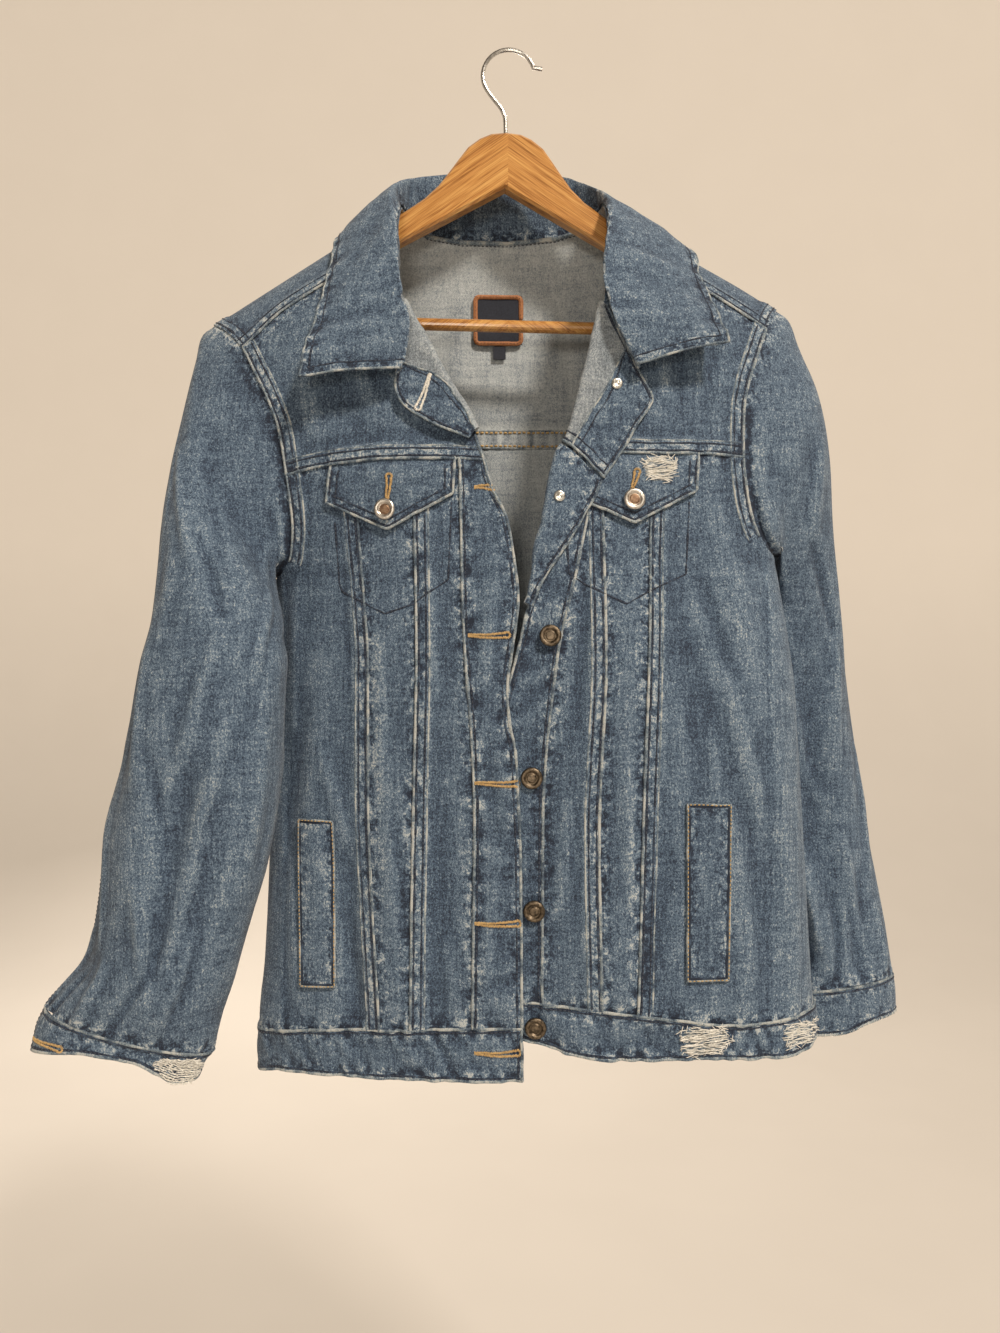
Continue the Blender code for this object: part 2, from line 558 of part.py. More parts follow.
def arm_part(side, part):
    """Cloth coordinates of one part of an armhole, from its upper end down, in steps of equal length."""
    back = part.startswith("back")
    facing = BACK if back else FRONT
    line = (ARM_BACK if back else ARM_FRONT)[side]
    tip, pit = line.places[-1], line.places[0]
    if back:
        seam = meet(line, BACK_YOKE_SEAM, -310 * MM)[1]
        start, end = (seam, pit) if part == "back_pit" else (tip, seam)
    else:
        shoulder = meet(line, SHOULDER_SEAM[side], tip - 25 * MM)[1]
        yoke = meet(line, YOKE_SEAM[side], -350 * MM)[1]
        start, end = {"tip": (tip, shoulder), "front_yoke": (shoulder, yoke), "front_pit": (yoke, pit)}[part]
    fine = down(line, start + (end - start) * np.sin(np.linspace(0, math.pi / 2, 60)) ** 2, facing)
    if part == "front_pit" or part == "back_pit":
        fine = down(line, start + (end - start) * np.sin(np.linspace(0, math.pi / 2, 60)), facing)
    steps = np.linalg.norm(np.diff(torso(fine), axis=0), axis=1)
    places = np.concatenate([[0], np.cumsum(steps)])
    crowd = RIDGE_CROWD if part.endswith("tip") else 1
    at = places[-1] * np.linspace(0, 1, ARM_STEPS[part] + 1) ** crowd
    return np.stack([np.interp(at, places, fine[:, 0]), np.interp(at, places, fine[:, 1])], axis=-1)


def arm_loop(side):
    """The whole armhole, from the shoulder's tip down the front and up the back, without its first point again."""
    parts = [arm_part(side, "tip")[:-1], arm_part(side, "front_yoke")[:-1], arm_part(side, "front_pit"),
             arm_part(side, "back_pit")[::-1][1:-1], arm_part(side, "back_tip")[::-1][:-1]]
    return np.concatenate(parts)


def ring(row, angles, side):
    """One section of a sleeve or cuff. Angle 0 is its outer end, 90 degrees its front."""
    x, y, z, half_width, half_depth = np.array(row[:5]) * MM
    tilt, turn = np.radians(row[5:])
    out = np.array([SIDES[side] * math.cos(tilt), 0, math.sin(tilt)])
    front = np.array([0, -1, 0])
    return (np.array([x, y, z]) + half_width * np.cos(angles + turn)[:, None] * out
            + half_depth * np.sin(angles + turn)[:, None] * front)


def sleeve_angles():
    """The angle of each column of a sleeve."""
    front = ARM_STEPS["tip"] + ARM_STEPS["front_yoke"] + ARM_STEPS["front_pit"]
    back = ARM_STEPS["back_pit"] + ARM_STEPS["back_tip"]
    before = np.linspace(0, math.pi, front + 1)
    after = np.linspace(math.pi, 2 * math.pi, back + 1)[1:-1]
    return np.concatenate([before, after])


def sleeve_relief(side, angles, z):
    """Ridges and troughs of a sleeve."""
    relief = np.zeros(np.broadcast(angles, z).shape)
    for angle0, z0, angle1, z1, width, depth in SLEEVE_FOLDS[side]:
        share = (z - z0 * MM) / ((z1 - z0) * MM)
        middle = np.radians(angle0 + (angle1 - angle0) * share)
        apart = (angles - middle + math.pi) % (2 * math.pi) - math.pi
        aside = apart * 50 / width
        fade = np.sin(math.pi * np.clip(share, 0, 1)) ** 0.6
        relief = relief + depth * MM * np.exp(-aside * aside) * fade
    return relief


def level(x, y, z):
    """1 on the body's section at a height, less inside it."""
    row = TORSO.at(z)
    across_it = (x - (row[..., 0] + row[..., 1]) / 2) / ((row[..., 1] - row[..., 0]) / 2)
    lean = (row[..., 4] * (1 - across_it) + row[..., 5] * (1 + across_it)) / 2
    depth = np.where(y < lean, row[..., 2], row[..., 3])
    return np.hypot(across_it, (np.abs(y - lean) / depth) ** (1 / FULLNESS))


def keep_clear(points, distance, pit):
    """Moves points that are inside the body, or too near it, out of it, up to a little above the pit."""
    points = points.copy()
    step = 0.5 * MM
    for _ in range(PASSES):
        x, y, z = points[..., 0], points[..., 1], points[..., 2]
        here = level(x, y, z)
        slope_x = (level(x + step, y, z) - level(x - step, y, z)) / (2 * step)
        slope_y = (level(x, y + step, z) - level(x, y - step, z)) / (2 * step)
        slope = np.hypot(slope_x, slope_y) + 1e-6
        share = np.clip((pit + CLEAR_TO - z) / CLEAR_FADE, 0, 1)
        move = np.clip(distance * share - (here - 1) / slope, 0, 8 * MM) * (share > 0)
        points[..., 0] += move * slope_x / slope
        points[..., 1] += move * slope_y / slope
    return points


def sleeve_grid(side):
    """Rows of points from the armhole to the cuff."""
    loop = arm_loop(side)
    angles = sleeve_angles()
    first = torso(loop)
    normal = torso_normal(loop)
    along = np.roll(first, -1, axis=0) - np.roll(first, 1, axis=0)
    onward = np.cross(normal, along)
    onward /= np.linalg.norm(onward, axis=-1)[:, None]
    towards = first.mean(axis=0) - first
    onward *= np.where(np.sum(onward * towards, axis=-1) < 0, -1, 1)[:, None]
    second = first + onward * SLEEVE_START
    low = ((1 - np.cos(angles)) / 2)[:, None] ** 2
    third = second + onward * (PIT_FOLD * (1 - low)) + (normal * 0.8 + onward * 0.2) * (PIT_FOLD * low)
    rings = np.array([first, second, third] + [ring(row, angles, side) for row in SLEEVE[side]])
    steps = np.linalg.norm(np.diff(rings, axis=0), axis=-1).mean(axis=1)
    places = np.concatenate([[0], np.cumsum(steps)])
    at = np.concatenate([places[:2], np.linspace(places[2], places[-1], SLEEVE_RINGS)])
    grid = smooth_grid(places, rings, at)
    turns = np.radians(np.interp(at, places, [0, 0, 0] + [row[-1] for row in SLEEVE[side]]))
    outward = grid - grid.mean(axis=1)[:, None]
    outward /= np.linalg.norm(outward, axis=-1)[..., None]
    relief = sleeve_relief(side, angles[None, :] + turns[:, None], grid[..., 2])
    fade = np.clip(at / (60 * MM), 0, 1) * np.clip((places[-1] - at) / (12 * MM), 0, 1)
    grid = grid + outward * (relief * fade[:, None])[..., None]
    grid[3:] = keep_clear(grid[3:], SLEEVE_CLEAR, ARM_FRONT[side].places[0])
    for _ in range(PIT_PASSES):
        around = (np.roll(grid, 1, axis=1) + np.roll(grid, -1, axis=1))[3:PIT_ROWS]
        around = (around + grid[2:PIT_ROWS - 1] + grid[4:PIT_ROWS + 1]) / 4
        grid[3:PIT_ROWS] += (around - grid[3:PIT_ROWS]) * low ** 2 * 0.7
        grid[3:PIT_ROWS] = keep_clear(grid[3:PIT_ROWS], SLEEVE_CLEAR, ARM_FRONT[side].places[0])
    return grid


def smooth_grid(places, layers, at):
    """Smooth curves through matching points of several layers."""
    flat = layers.reshape(len(layers), -1)
    return smooth(places, flat, at).reshape((len(at),) + layers.shape[1:])


def columns_between(grid, start, end):
    """Columns start to end of a closed grid, counted past its first column again where end is smaller."""
    count = grid.shape[1]
    last = end if end > start else end + count
    return grid[:, np.arange(start, last + 1) % count]


def make_sleeve(side, collection):
    """The top sleeve and the under sleeve."""
    grid = sleeve_grid(side)
    closed = np.concatenate([grid[:, -1:], grid, grid[:, :1]], axis=1)
    normals = grid_normals(closed, closed - closed.mean(axis=1)[:, None])[:, 1:-1]
    normals[0] = torso_normal(arm_loop(side))
    for name, start, end in (("top_sleeve_", BACK_SEAM_COLUMN, FRONT_SEAM_COLUMN),
                             ("under_sleeve_", FRONT_SEAM_COLUMN, BACK_SEAM_COLUMN)):
        piece = [columns_between(values, start, end) for values in (grid, normals)]
        sheet(name + side, [piece], DENIM, "denim", collection)


CUFF_COLUMNS = 26
CUFF_ROWS = 3
CUFF_OPEN = {"l": (-4, 338), "r": (330, 676)}      # degrees at the buttonhole end and at the button end
RIP_DEPTH = 1.3 * MM                # through the outer one of two layers
CUFF_RIP_COLUMN = 11
CUFF_RIP = (7.5, 5)                 # width and height
HEM_RIPS = ((150, -779.5, 20, 4.5), (147, -791, 18, 4.2))      # x, z, width, height


def cuff_grid(side):
    """Rows of a cuff from its seam down, open between its two ends."""
    angles = np.radians(np.linspace(*CUFF_OPEN[side], CUFF_COLUMNS + 1))
    rings = np.array([ring(row, angles, side) for row in CUFF[side]])
    places = np.arange(len(rings))
    grid = smooth_grid(places, rings, np.linspace(0, places[-1], CUFF_ROWS + 1))
    share = np.linspace(0, 1, CUFF_ROWS + 1)[:, None]
    grid[..., 2] += CUFF_LIFT[side](np.degrees(angles)) * share
    return grid


def make_cuff(side, collection, cutters):
    """An open cuff and the button near its covered end."""
    grid = cuff_grid(side)
    normals = grid_normals(grid, grid - grid.reshape(-1, 3).mean(axis=0))
    middle = Vector(grid.reshape(-1, 3).mean(axis=0))
    cuff = sheet("cuff_" + side, [(grid, normals)], DOUBLE, "denim_band", collection)
    if side == "l":
        cut_rip(cuff, grid[2, CUFF_RIP_COLUMN], normals[2, CUFF_RIP_COLUMN], CUFF_RIP, cutters)
    place = Vector(grid[1, -3] + grid[2, -3]) / 2
    across_it = Vector(grid[1, -2] - grid[1, -4])
    down_it = Vector(grid[2, -3] - grid[1, -3])
    normal = across_it.cross(down_it).normalized()
    if normal.dot(place - middle) < 0:
        normal = -normal
    button("cuff_button_" + side, place + normal * 0.6 * MM, normal, "bronze", collection)


def cut_rip(target, place, normal, size, cutters):
    """Cuts a worn slot of a width and a height into the outer layer of a piece."""
    normal = Vector(normal)
    side = Vector((0, 0, 1)).cross(normal).normalized()
    turn = Matrix((side, normal.cross(side), normal)).transposed().to_4x4()
    mesh = bmesh.new()
    bmesh.ops.create_cube(mesh, size=1)
    bmesh.ops.scale(mesh, vec=(size[0] * MM, size[1] * MM, 2 * RIP_DEPTH), verts=mesh.verts)
    data = bpy.data.meshes.new("rip")
    mesh.to_mesh(data)
    mesh.free()
    cutter = bpy.data.objects.new("rip", data)
    cutters.objects.link(cutter)
    cutter.matrix_world = Matrix.Translation(Vector(place)) @ turn
    cut_with(target, cutter)


def cut_with(target, cutter):
    """Takes a cutter's form out of a piece."""
    cutter.hide_render = True
    cutter.display_type = "WIRE"
    cut = target.modifiers.new(cutter.name, "BOOLEAN")
    cut.object = cutter
    cut.operation = "DIFFERENCE"


# ---------------------------------------------------------------- the body's pieces

SHOULDER_COLUMNS = 10
PANEL_ROWS = 13
ARM_SPLIT = 3                # armhole steps beside a panel's upper grid
NECK_COLUMNS = 10
BACK_COLUMNS = 16
SIDE_CROWD = 0.45            # crowds the back's columns towards the side seams
BAND_COLUMNS = 18
BAND_ROWS = 2


def yoke_edge(side):
    """Cloth coordinates of a front yoke's inner edge: down the neckline, then down the fold."""
    neck = neckline()
    corner = neck[NECK_SHOULDER[side]]
    roll = neck[0] if side == "l" else neck[-1]
    edge = FRONT_EDGE[side]
    low = meet(edge, YOKE_SEAM[side], -345 * MM)[1]
    count = ARM_STEPS["front_yoke"] - 2
    return np.concatenate([[corner, (corner + roll) / 2], down(edge, np.linspace(edge.places[-1], low, count + 1))])


def make_front_yoke(side, collection):
    """The yoke, from the shoulder seam to the seam across the chest, up to the fold of its turned edge."""
    outer = arm_part(side, "front_yoke")
    inner = yoke_edge(side)
    neck_x = NECKLINE[NECK_SHOULDER[side]][0] * MM
    arm_x, low_arm_x = torso(outer)[[0, -1], 0]
    top = across(SHOULDER_SEAM[side], arm_x, neck_x, SHOULDER_COLUMNS)
    top[0], top[-1] = outer[0], inner[0]
    low_x = meet(FRONT_EDGE[side], YOKE_SEAM[side], -345 * MM)[0]
    bottom = across(YOKE_SEAM[side], low_arm_x, low_x, SHOULDER_COLUMNS)
    body_panel("front_yoke_" + side, (top, bottom, outer, inner), DENIM, "denim", collection)


def resample(points, count, crowd=1):
    """The same line with count + 1 points, evenly spaced or crowded towards its start."""
    steps = np.linalg.norm(np.diff(points, axis=0) * np.array([0.2, 1]), axis=1)
    places = np.concatenate([[0], np.cumsum(steps)])
    return smooth(places, points, places[-1] * np.linspace(0, 1, count + 1) ** crowd)


def inner_line(side, line):
    """Cloth coordinates down one of the front's lines, from the yoke seam to the band."""
    top = meet(line, YOKE_SEAM[side], -345 * MM)[1]
    low = meet(line, HEM_SEAM[side], -780 * MM)[1]
    return down(line, np.linspace(top, low, PANEL_ROWS + 1))


def split_panel(top, bottom, arms, sides, side, thickness, name, collection, lifts=None):
    """A panel below one or two armholes, in an upper grid beside them and a lower grid below them.

    arms and sides give its left and its right edge. An edge that has no armhole repeats in both.
    """
    ends = np.array([edge[ARM_SPLIT] for edge in arms])
    places = torso(ends)
    order = np.argsort(places[:, 0])
    waist = across(lambda x: np.interp(x, places[order, 0], places[order, 2]),
                   places[0, 0], places[1, 0], len(top) - 1, side)
    waist[[0, -1]] = ends
    upper = fill(top, waist, *(edge[:ARM_SPLIT + 1] for edge in arms))
    level_line = [waist]
    if sides[0] is not None:
        level_line.insert(0, arms[0][ARM_SPLIT + 1:][::-1])
    if sides[1] is not None:
        level_line.append(arms[1][ARM_SPLIT + 1:])
    edges = [arm[ARM_SPLIT:] if edge is None else edge for arm, edge in zip(arms, sides)]
    lower = fill(np.concatenate(level_line), bottom, *edges)
    pieces = []
    for points in (upper, lower):
        grid = torso(points, lifts(points) if lifts else 0.0)
        pieces.append((grid, body_normals(points, grid)))
    sheet(name, pieces, thickness, "denim", collection)


def make_front_panels(side, collection):
    """The side, middle and centre panels and the placket, from the armhole and the yoke seam to the band."""
    def sunk(points):
        return under(points, 1.0 if side == "r" else 0.0)

    arm = arm_part(side, "front_pit")
    edge = side_edge(side)
    line = OUTER_V[side]
    low_x, low_z = meet(edge, HEM_SEAM[side], -790 * MM)
    next_x = meet(line, YOKE_SEAM[side], -345 * MM)[0]
    next_low_x = meet(line, HEM_SEAM[side], -780 * MM)[0]
    side_seam = down(edge, np.linspace(ARM_FRONT[side].places[0], low_z, PANEL_ROWS - ARM_SPLIT + 1))
    inner = inner_line(side, line)
    top = across(YOKE_SEAM[side], torso(arm)[0, 0], next_x, 5)
    bottom = across(HEM_SEAM[side], low_x, next_low_x, 5 + len(arm) - 1 - ARM_SPLIT)
    split_panel(top, bottom, (arm, inner), (side_seam, None), FRONT, DENIM, "front_side_" + side,
                collection, sunk)

    for line, name in ((INNER_V[side], "front_middle_"), (PLACKET_SEAM[side], "front_centre_"),
                       (FRONT_EDGE[side], "placket_")):
        corner_x, low_x, outer = next_x, next_low_x, inner
        next_x = meet(line, YOKE_SEAM[side], -345 * MM)[0]
        next_low_x = meet(line, HEM_SEAM[side], -780 * MM)[0]
        inner = inner_line(side, line)
        edges = (across(YOKE_SEAM[side], corner_x, next_x, 3), across(HEM_SEAM[side], low_x, next_low_x, 3),
                 outer, inner)
        thickness = DOUBLE if name == "placket_" else DENIM
        body_panel(name + side, edges, thickness, "denim", collection, sink=1.0 if side == "r" else 0.0)


def fold_line(side):
    """Points down a front's edge, as its yoke and its placket have them."""
    yoke = yoke_edge(side)[2:]
    placket = inner_line(side, FRONT_EDGE[side])
    lifts = [np.zeros(len(yoke)), under(placket, 1.0) if side == "r" else np.zeros(len(placket))]
    points = np.concatenate([yoke, placket[1:]])
    return points, np.concatenate([lifts[0], lifts[1][1:]])


def make_front_band(side, collection, cutters):
    """The hem band of one front. The right one is worn through its outer layer."""
    edge = side_edge(side)
    high_x, high_z = meet(edge, HEM_SEAM[side], -790 * MM)
    low_x, low_z = meet(edge, HEM_EDGE[side], -815 * MM)
    in_x, in_z = meet(FRONT_EDGE[side], HEM_SEAM[side], -780 * MM)
    in_low_x, in_low_z = meet(FRONT_EDGE[side], HEM_EDGE[side], -815 * MM)
    top = across(HEM_SEAM[side], high_x, in_x, BAND_COLUMNS)
    bottom = across(HEM_EDGE[side], low_x, in_low_x, BAND_COLUMNS)
    outer = down(edge, np.linspace(high_z, low_z, BAND_ROWS + 1))
    inner = down(FRONT_EDGE[side], np.linspace(in_z, in_low_z, BAND_ROWS + 1))
    sink = 1.0 if side == "r" else 0.0
    band = body_panel("hem_band_" + side, (top, bottom, outer, inner), DOUBLE, "denim_band", collection, sink=sink)
    if side == "r":
        for x, z, width, height in HEM_RIPS:
            place, normal = on_front(x, z, 0.0)
            cut_rip(band, place, normal, (width, height), cutters)


def neckline():
    """Cloth coordinates of the neckline's rows."""
    table = np.array(NECKLINE, float)
    return cloth(table[:, 0] * MM, table[:, 1] * MM, table[:, 2])


def make_back(collection):
    """The back yoke, which runs over the shoulders to the front, the back panel and its band."""
    neck = neckline()
    grids = []
    inner_edges = {}
    along_neck = 2
    for side in SIDES:
        outer = np.concatenate([arm_part(side, "tip")[::-1], arm_part(side, "back_tip")[1:]])
        shoulder, top, back = NECK_SHOULDER[side], NECK_TOP[side], NECK_BACK[side]
        front_part = resample(neck[[top, (shoulder + top) // 2, shoulder]], ARM_STEPS["tip"], RIDGE_CROWD)[::-1]
        back_x = NECKLINE[back][0] * MM
        low = cloth(np.array(back_x), BACK_YOKE_SEAM(np.array(back_x)), BACK)
        share = np.linspace(0, 1, ARM_STEPS["back_tip"] - along_neck + 1)[:, None]
        fall = neck[back] + (low - neck[back]) * share
        inner = np.concatenate([front_part, neck[[(top + back) // 2]], fall])
        arm_x, low_arm_x = torso(outer)[[0, -1], 0]
        upper = across(SHOULDER_SEAM[side], arm_x, NECKLINE[shoulder][0] * MM, SHOULDER_COLUMNS)
        upper[0], upper[-1] = outer[0], inner[0]
        lower = across(BACK_YOKE_SEAM, low_arm_x, back_x, SHOULDER_COLUMNS, BACK)
        points = fill(upper, lower, outer, inner)
        grid = torso(points)
        grids.append((grid, body_normals(points, grid)))
        inner_edges[side] = fall
    first, last = NECK_BACK["l"], NECK_BACK["r"]
    upper = resample(neck[first:last + 1], NECK_COLUMNS)
    lower = across(BACK_YOKE_SEAM, NECKLINE[first][0] * MM, NECKLINE[last][0] * MM, NECK_COLUMNS, BACK)
    points = fill(upper, lower, inner_edges["l"], inner_edges["r"])
    grid = torso(points)
    grids.append((grid, body_normals(points, grid)))
    sheet("back_yoke", grids, DENIM, "denim", collection)

    arms = {side: arm_part(side, "back_pit") for side in SIDES}
    upper = across(BACK_YOKE_SEAM, torso(arms["l"])[0, 0], torso(arms["r"])[0, 0], BACK_COLUMNS, BACK)
    count = BACK_COLUMNS + 2 * (ARM_STEPS["back_pit"] - ARM_SPLIT)
    highs = {side: meet(side_edge(side), BACK_HEM_SEAM, -790 * MM) for side in SIDES}
    lows = {side: meet(side_edge(side), BACK_HEM_EDGE, -815 * MM) for side in SIDES}
    lower = across(BACK_HEM_SEAM, highs["l"][0], highs["r"][0], count, BACK, SIDE_CROWD)
    rows = PANEL_ROWS - ARM_SPLIT
    edges = [down(side_edge(side), np.linspace(ARM_BACK[side].places[0], highs[side][1], rows + 1), BACK)
             for side in SIDES]
    split_panel(upper, lower, (arms["l"], arms["r"]), edges, BACK, DENIM, "back_panel", collection)

    lower_edge = across(BACK_HEM_EDGE, lows["l"][0], lows["r"][0], count, BACK, SIDE_CROWD)
    edges = [down(side_edge(side), np.linspace(highs[side][1], lows[side][1], BAND_ROWS + 1), BACK)
             for side in SIDES]
    body_panel("hem_band_back", (lower, lower_edge, *edges), DOUBLE, "denim_band", collection)


# ---------------------------------------------------------------- collar and turned edges

def collar_grid(columns, rows):
    """Rows from the collar's seam over its roll to its edge, along the neck from left to right."""
    table = np.array(COLLAR, float)
    seam = torso(cloth(table[:, 0] * MM, table[:, 1] * MM, table[:, 2]), table[:, 3] * MM)
    roll = table[:, 4:7] * MM
    edge = table[:, 7:10] * MM
    out = edge - seam
    out /= np.linalg.norm(out, axis=1)[:, None]
    roll_in, roll_out = roll - out * COLLAR_ROLL, roll + out * COLLAR_ROLL
    middle = (roll_out + edge) / 2
    away = middle - np.array([0, 0, -170 * MM])
    away[:, 2] = np.abs(away[:, 2]) + 20 * MM
    away /= np.linalg.norm(away, axis=1)[:, None]
    middle = middle + away * COLLAR_BULGE
    stand = (seam + roll_in) / 2
    layers = np.array([seam, stand, roll_in, roll_out, middle, edge])
    steps = np.linalg.norm(np.diff(layers, axis=0), axis=-1).mean(axis=1)
    places = np.concatenate([[0], np.cumsum(steps)])
    at = np.concatenate([np.linspace(0, places[2], 3), np.linspace(places[2], places[3], 3)[1:],
                         np.linspace(places[3], places[-1], rows - 3)[1:]])
    across_it = smooth_grid(places, layers, at)
    steps = np.linalg.norm(np.diff(roll, axis=0), axis=-1)
    places = np.concatenate([[0], np.cumsum(steps)])
    return smooth_grid(places, across_it.transpose(1, 0, 2), np.linspace(0, places[-1], columns + 1))


def turn_grid(name, rows, columns):
    """A turned back edge: from the fold, round it, and flat over the front to the cut edge."""
    table = np.array(TURN[name], float)
    line = smooth(table[:, 0], table[:, 1:] * MM, np.linspace(0, 1, rows + 1))
    points, lifts = fold_line(name[0])
    places = torso(points, lifts)
    at = np.interp(-line[:, 1], -places[:, 2], np.arange(len(places)))
    whole = np.minimum(at.astype(int), len(places) - 2)
    share = (at - whole)[:, None]
    base = places[whole] * (1 - share) + places[whole + 1] * share
    fold = points[whole] * (1 - share) + points[whole + 1] * share
    edge = cloth(line[:, 2], line[:, 3], FRONT)
    radius = LAPEL_LIFT / 2
    normal = torso_normal(fold)
    onward = torso(edge) - base
    onward -= normal * np.sum(onward * normal, axis=1)[:, None]
    onward /= np.linalg.norm(onward, axis=1)[:, None]
    base = base - onward * FOLD_GAP
    layers = []
    for turn in np.radians((0, 45, 90, 135)):
        layers.append(base - onward * radius * math.sin(turn) + normal * radius * (1 - math.cos(turn)))
    shift = base - torso(fold)
    for part in np.linspace(0, 1, columns + 1):
        layers.append(torso(fold + (edge - fold) * part, np.full(len(fold), LAPEL_LIFT)) + shift * (1 - part))
    return np.array(layers).transpose(1, 0, 2)


def make_collar_and_facings(collection):
    """The collar, and the fronts' edges that are turned back below it."""
    grid = collar_grid(34, 9)
    up = np.broadcast_to(np.array([0, 0, 1.0]), grid.shape)
    sheet("collar", [(grid, grid_normals(grid, up))], DOUBLE, "denim_band", collection, middle=True)
    for name, made, rows in (("l", "facing_l", 10), ("r", "facing_upper_r", 11), ("r_lower", "facing_lower_r", 8)):
        grid = turn_grid(name, rows, 4)
        back = np.broadcast_to(np.array([0, 1.0, 0]), grid.shape)
        sheet(made, [(grid, grid_normals(grid, back))], DENIM, "denim_reverse", collection)


# ---------------------------------------------------------------- what lies on the fronts

def make_flap(side, collection):
    """A pointed pocket flap and its button."""
    shape = FLAP[side]
    columns, rows = 8, 4
    (x0, z0), (x1, z1) = (np.array(point) * MM for point in shape["top"])
    side_x, side_z = np.array(shape["side_x"]) * MM, np.array(shape["side_z"]) * MM
    point = np.array(shape["point"]) * MM
    share = np.linspace(0, 1, columns + 1)
    top = cloth(x0 + (x1 - x0) * share, z0 + (z1 - z0) * share, FRONT)
    middle = (point[0] - side_x[0]) / (side_x[1] - side_x[0])
    low_x = side_x[0] + (side_x[1] - side_x[0]) * share
    low_z = np.interp(share, (0, middle, 1), (side_z[0], point[1], side_z[1]))
    bottom = cloth(low_x, low_z, FRONT)
    part = np.linspace(0, 1, rows + 1)
    outer = cloth(x0 + (side_x[0] - x0) * part, z0 + (side_z[0] - z0) * part, FRONT)
    inner = cloth(x1 + (side_x[1] - x1) * part, z1 + (side_z[1] - z1) * part, FRONT)
    body_panel("flap_" + side, (top, bottom, outer, inner), DOUBLE, "denim_band", collection,
               lift=FLAP_LIFT)
    place, normal = on_front(*FLAP_BUTTON[side], FLAP_LIFT)
    button("flap_button_" + side, place, normal, "copper", collection)


def make_welt(side, collection):
    """The welt of a side pocket, a narrow upright strip."""
    shape = WELT[side]
    (x0, z0), (x1, z1) = (np.array(point) * MM for point in shape["top"])
    (x2, z2), (x3, z3) = (np.array(point) * MM for point in shape["bottom"])
    across_it = np.linspace(0, 1, 5)
    down_it = np.linspace(0, 1, 9)
    top = cloth(x0 + (x1 - x0) * across_it, z0 + (z1 - z0) * across_it, FRONT)
    bottom = cloth(x2 + (x3 - x2) * across_it, z2 + (z3 - z2) * across_it, FRONT)
    outer = cloth(x0 + (x2 - x0) * down_it, z0 + (z2 - z0) * down_it, FRONT)
    inner = cloth(x1 + (x3 - x1) * down_it, z1 + (z3 - z1) * down_it, FRONT)
    body_panel("welt_" + side, (top, bottom, outer, inner), DENIM, "denim_band", collection,
               lift=WELT_LIFT)


def on_front(x, z, lift):
    """The place and the normal of a point on the front."""
    point = cloth(np.array([x * MM]), np.array([z * MM]), FRONT)
    sink = float(under(point, 1.0)[0]) if x > 0 else 0.0
    return Vector(torso(point, np.array([lift + sink]))[0]), Vector(torso_normal(point)[0])


def turned(name, profile, place, normal, finish, collection, steps=12):
    """A turned piece whose axis stands on a surface."""
    data = bpy.data.meshes.new(name)
    data.from_pydata([(radius, 0, height) for radius, height in profile], [(i, i + 1) for i in
                                                                         range(len(profile) - 1)], [])
    made = bpy.data.objects.new(name, data)
    collection.objects.link(made)
    screw = made.modifiers.new("turned", "SCREW")
    screw.steps = steps
    screw.render_steps = steps
    screw.use_merge_vertices = True
    screw.merge_threshold = 0.001 * MM
    made.matrix_world = Matrix.Translation(place) @ normal.to_track_quat("Z", "Y").to_matrix().to_4x4()
    return dress(made, finish)


def button(name, place, normal, finish, collection):
    """A jeans button: a raised rim round a hollow middle, just clear of the cloth below it."""
    r, h = BUTTON_RADIUS, BUTTON_HEIGHT
    profile = ((0, 0.55 * h), (0.38 * r, 0.55 * h), (0.6 * r, h), (0.86 * r, 0.92 * h), (r, 0.5 * h),
               (0.8 * r, 0), (0, 0))
    return turned(name, profile, place + normal * BUTTON_CLEAR, normal, finish, collection)


def make_buttons(collection):
    """The front's buttons, and two on the turned back edge with the backs of their rivets outside."""
    for number, (x, z) in enumerate(FRONT_BUTTONS, 3):
        place, normal = on_front(x, z, 0.0)
        button("button_%d" % number, place, normal, "bronze", collection)
    rivet = ((0, RIVET_HEIGHT), (0.7 * RIVET_RADIUS, RIVET_HEIGHT), (RIVET_RADIUS, 0.5 * RIVET_HEIGHT),
             (RIVET_RADIUS, 0), (0, 0))
    for number, (x, z) in enumerate(LAPEL_BUTTONS, 1):
        place, normal = on_front(x, z, LAPEL_LIFT + DENIM + BORE_GAP)
        turned("rivet_%d" % number, rivet, place, normal, "nickel", collection, steps=14)


def make_label(collection):
    """The bare label inside the neck and the tab below it."""
    for name, shape, finish in (("neck_label", LABEL, "label"), ("size_tab", SIZE_TAB, "label")):
        x0, x1 = np.array(shape["x"]) * MM
        z0, z1 = np.array(shape["z"]) * MM
        x, z = np.meshgrid(np.linspace(x0, x1, 5), np.linspace(z0, z1, 4))
        points = cloth(x, z, BACK)
        grid = torso(points, np.full(x.shape, -LABEL_CLEAR))
        sheet(name, [(grid, torso_normal(points))], LABEL_WALL, finish, collection)


# ---------------------------------------------------------------- the hanger

# Half of the wood's outline, from the top of its dome outwards, then back along its lower edge.
WOOD_UPPER = ((0, -69), (12, -70.3), (21, -74.3), (30.5, -81.5), (37.5, -91), (47, -104.3), (54, -113.6),
              (65, -124.3), (80, -134.8), (95, -144.5), (140, -176), (178, -202), (190, -210), (197, -220))
WOOD_LOWER = ((196, -231), (188, -238), (177, -238), (167, -231), (157, -214), (140, -196), (95, -167),
              (0, -114))
WOOD_BEVEL = 2 * MM


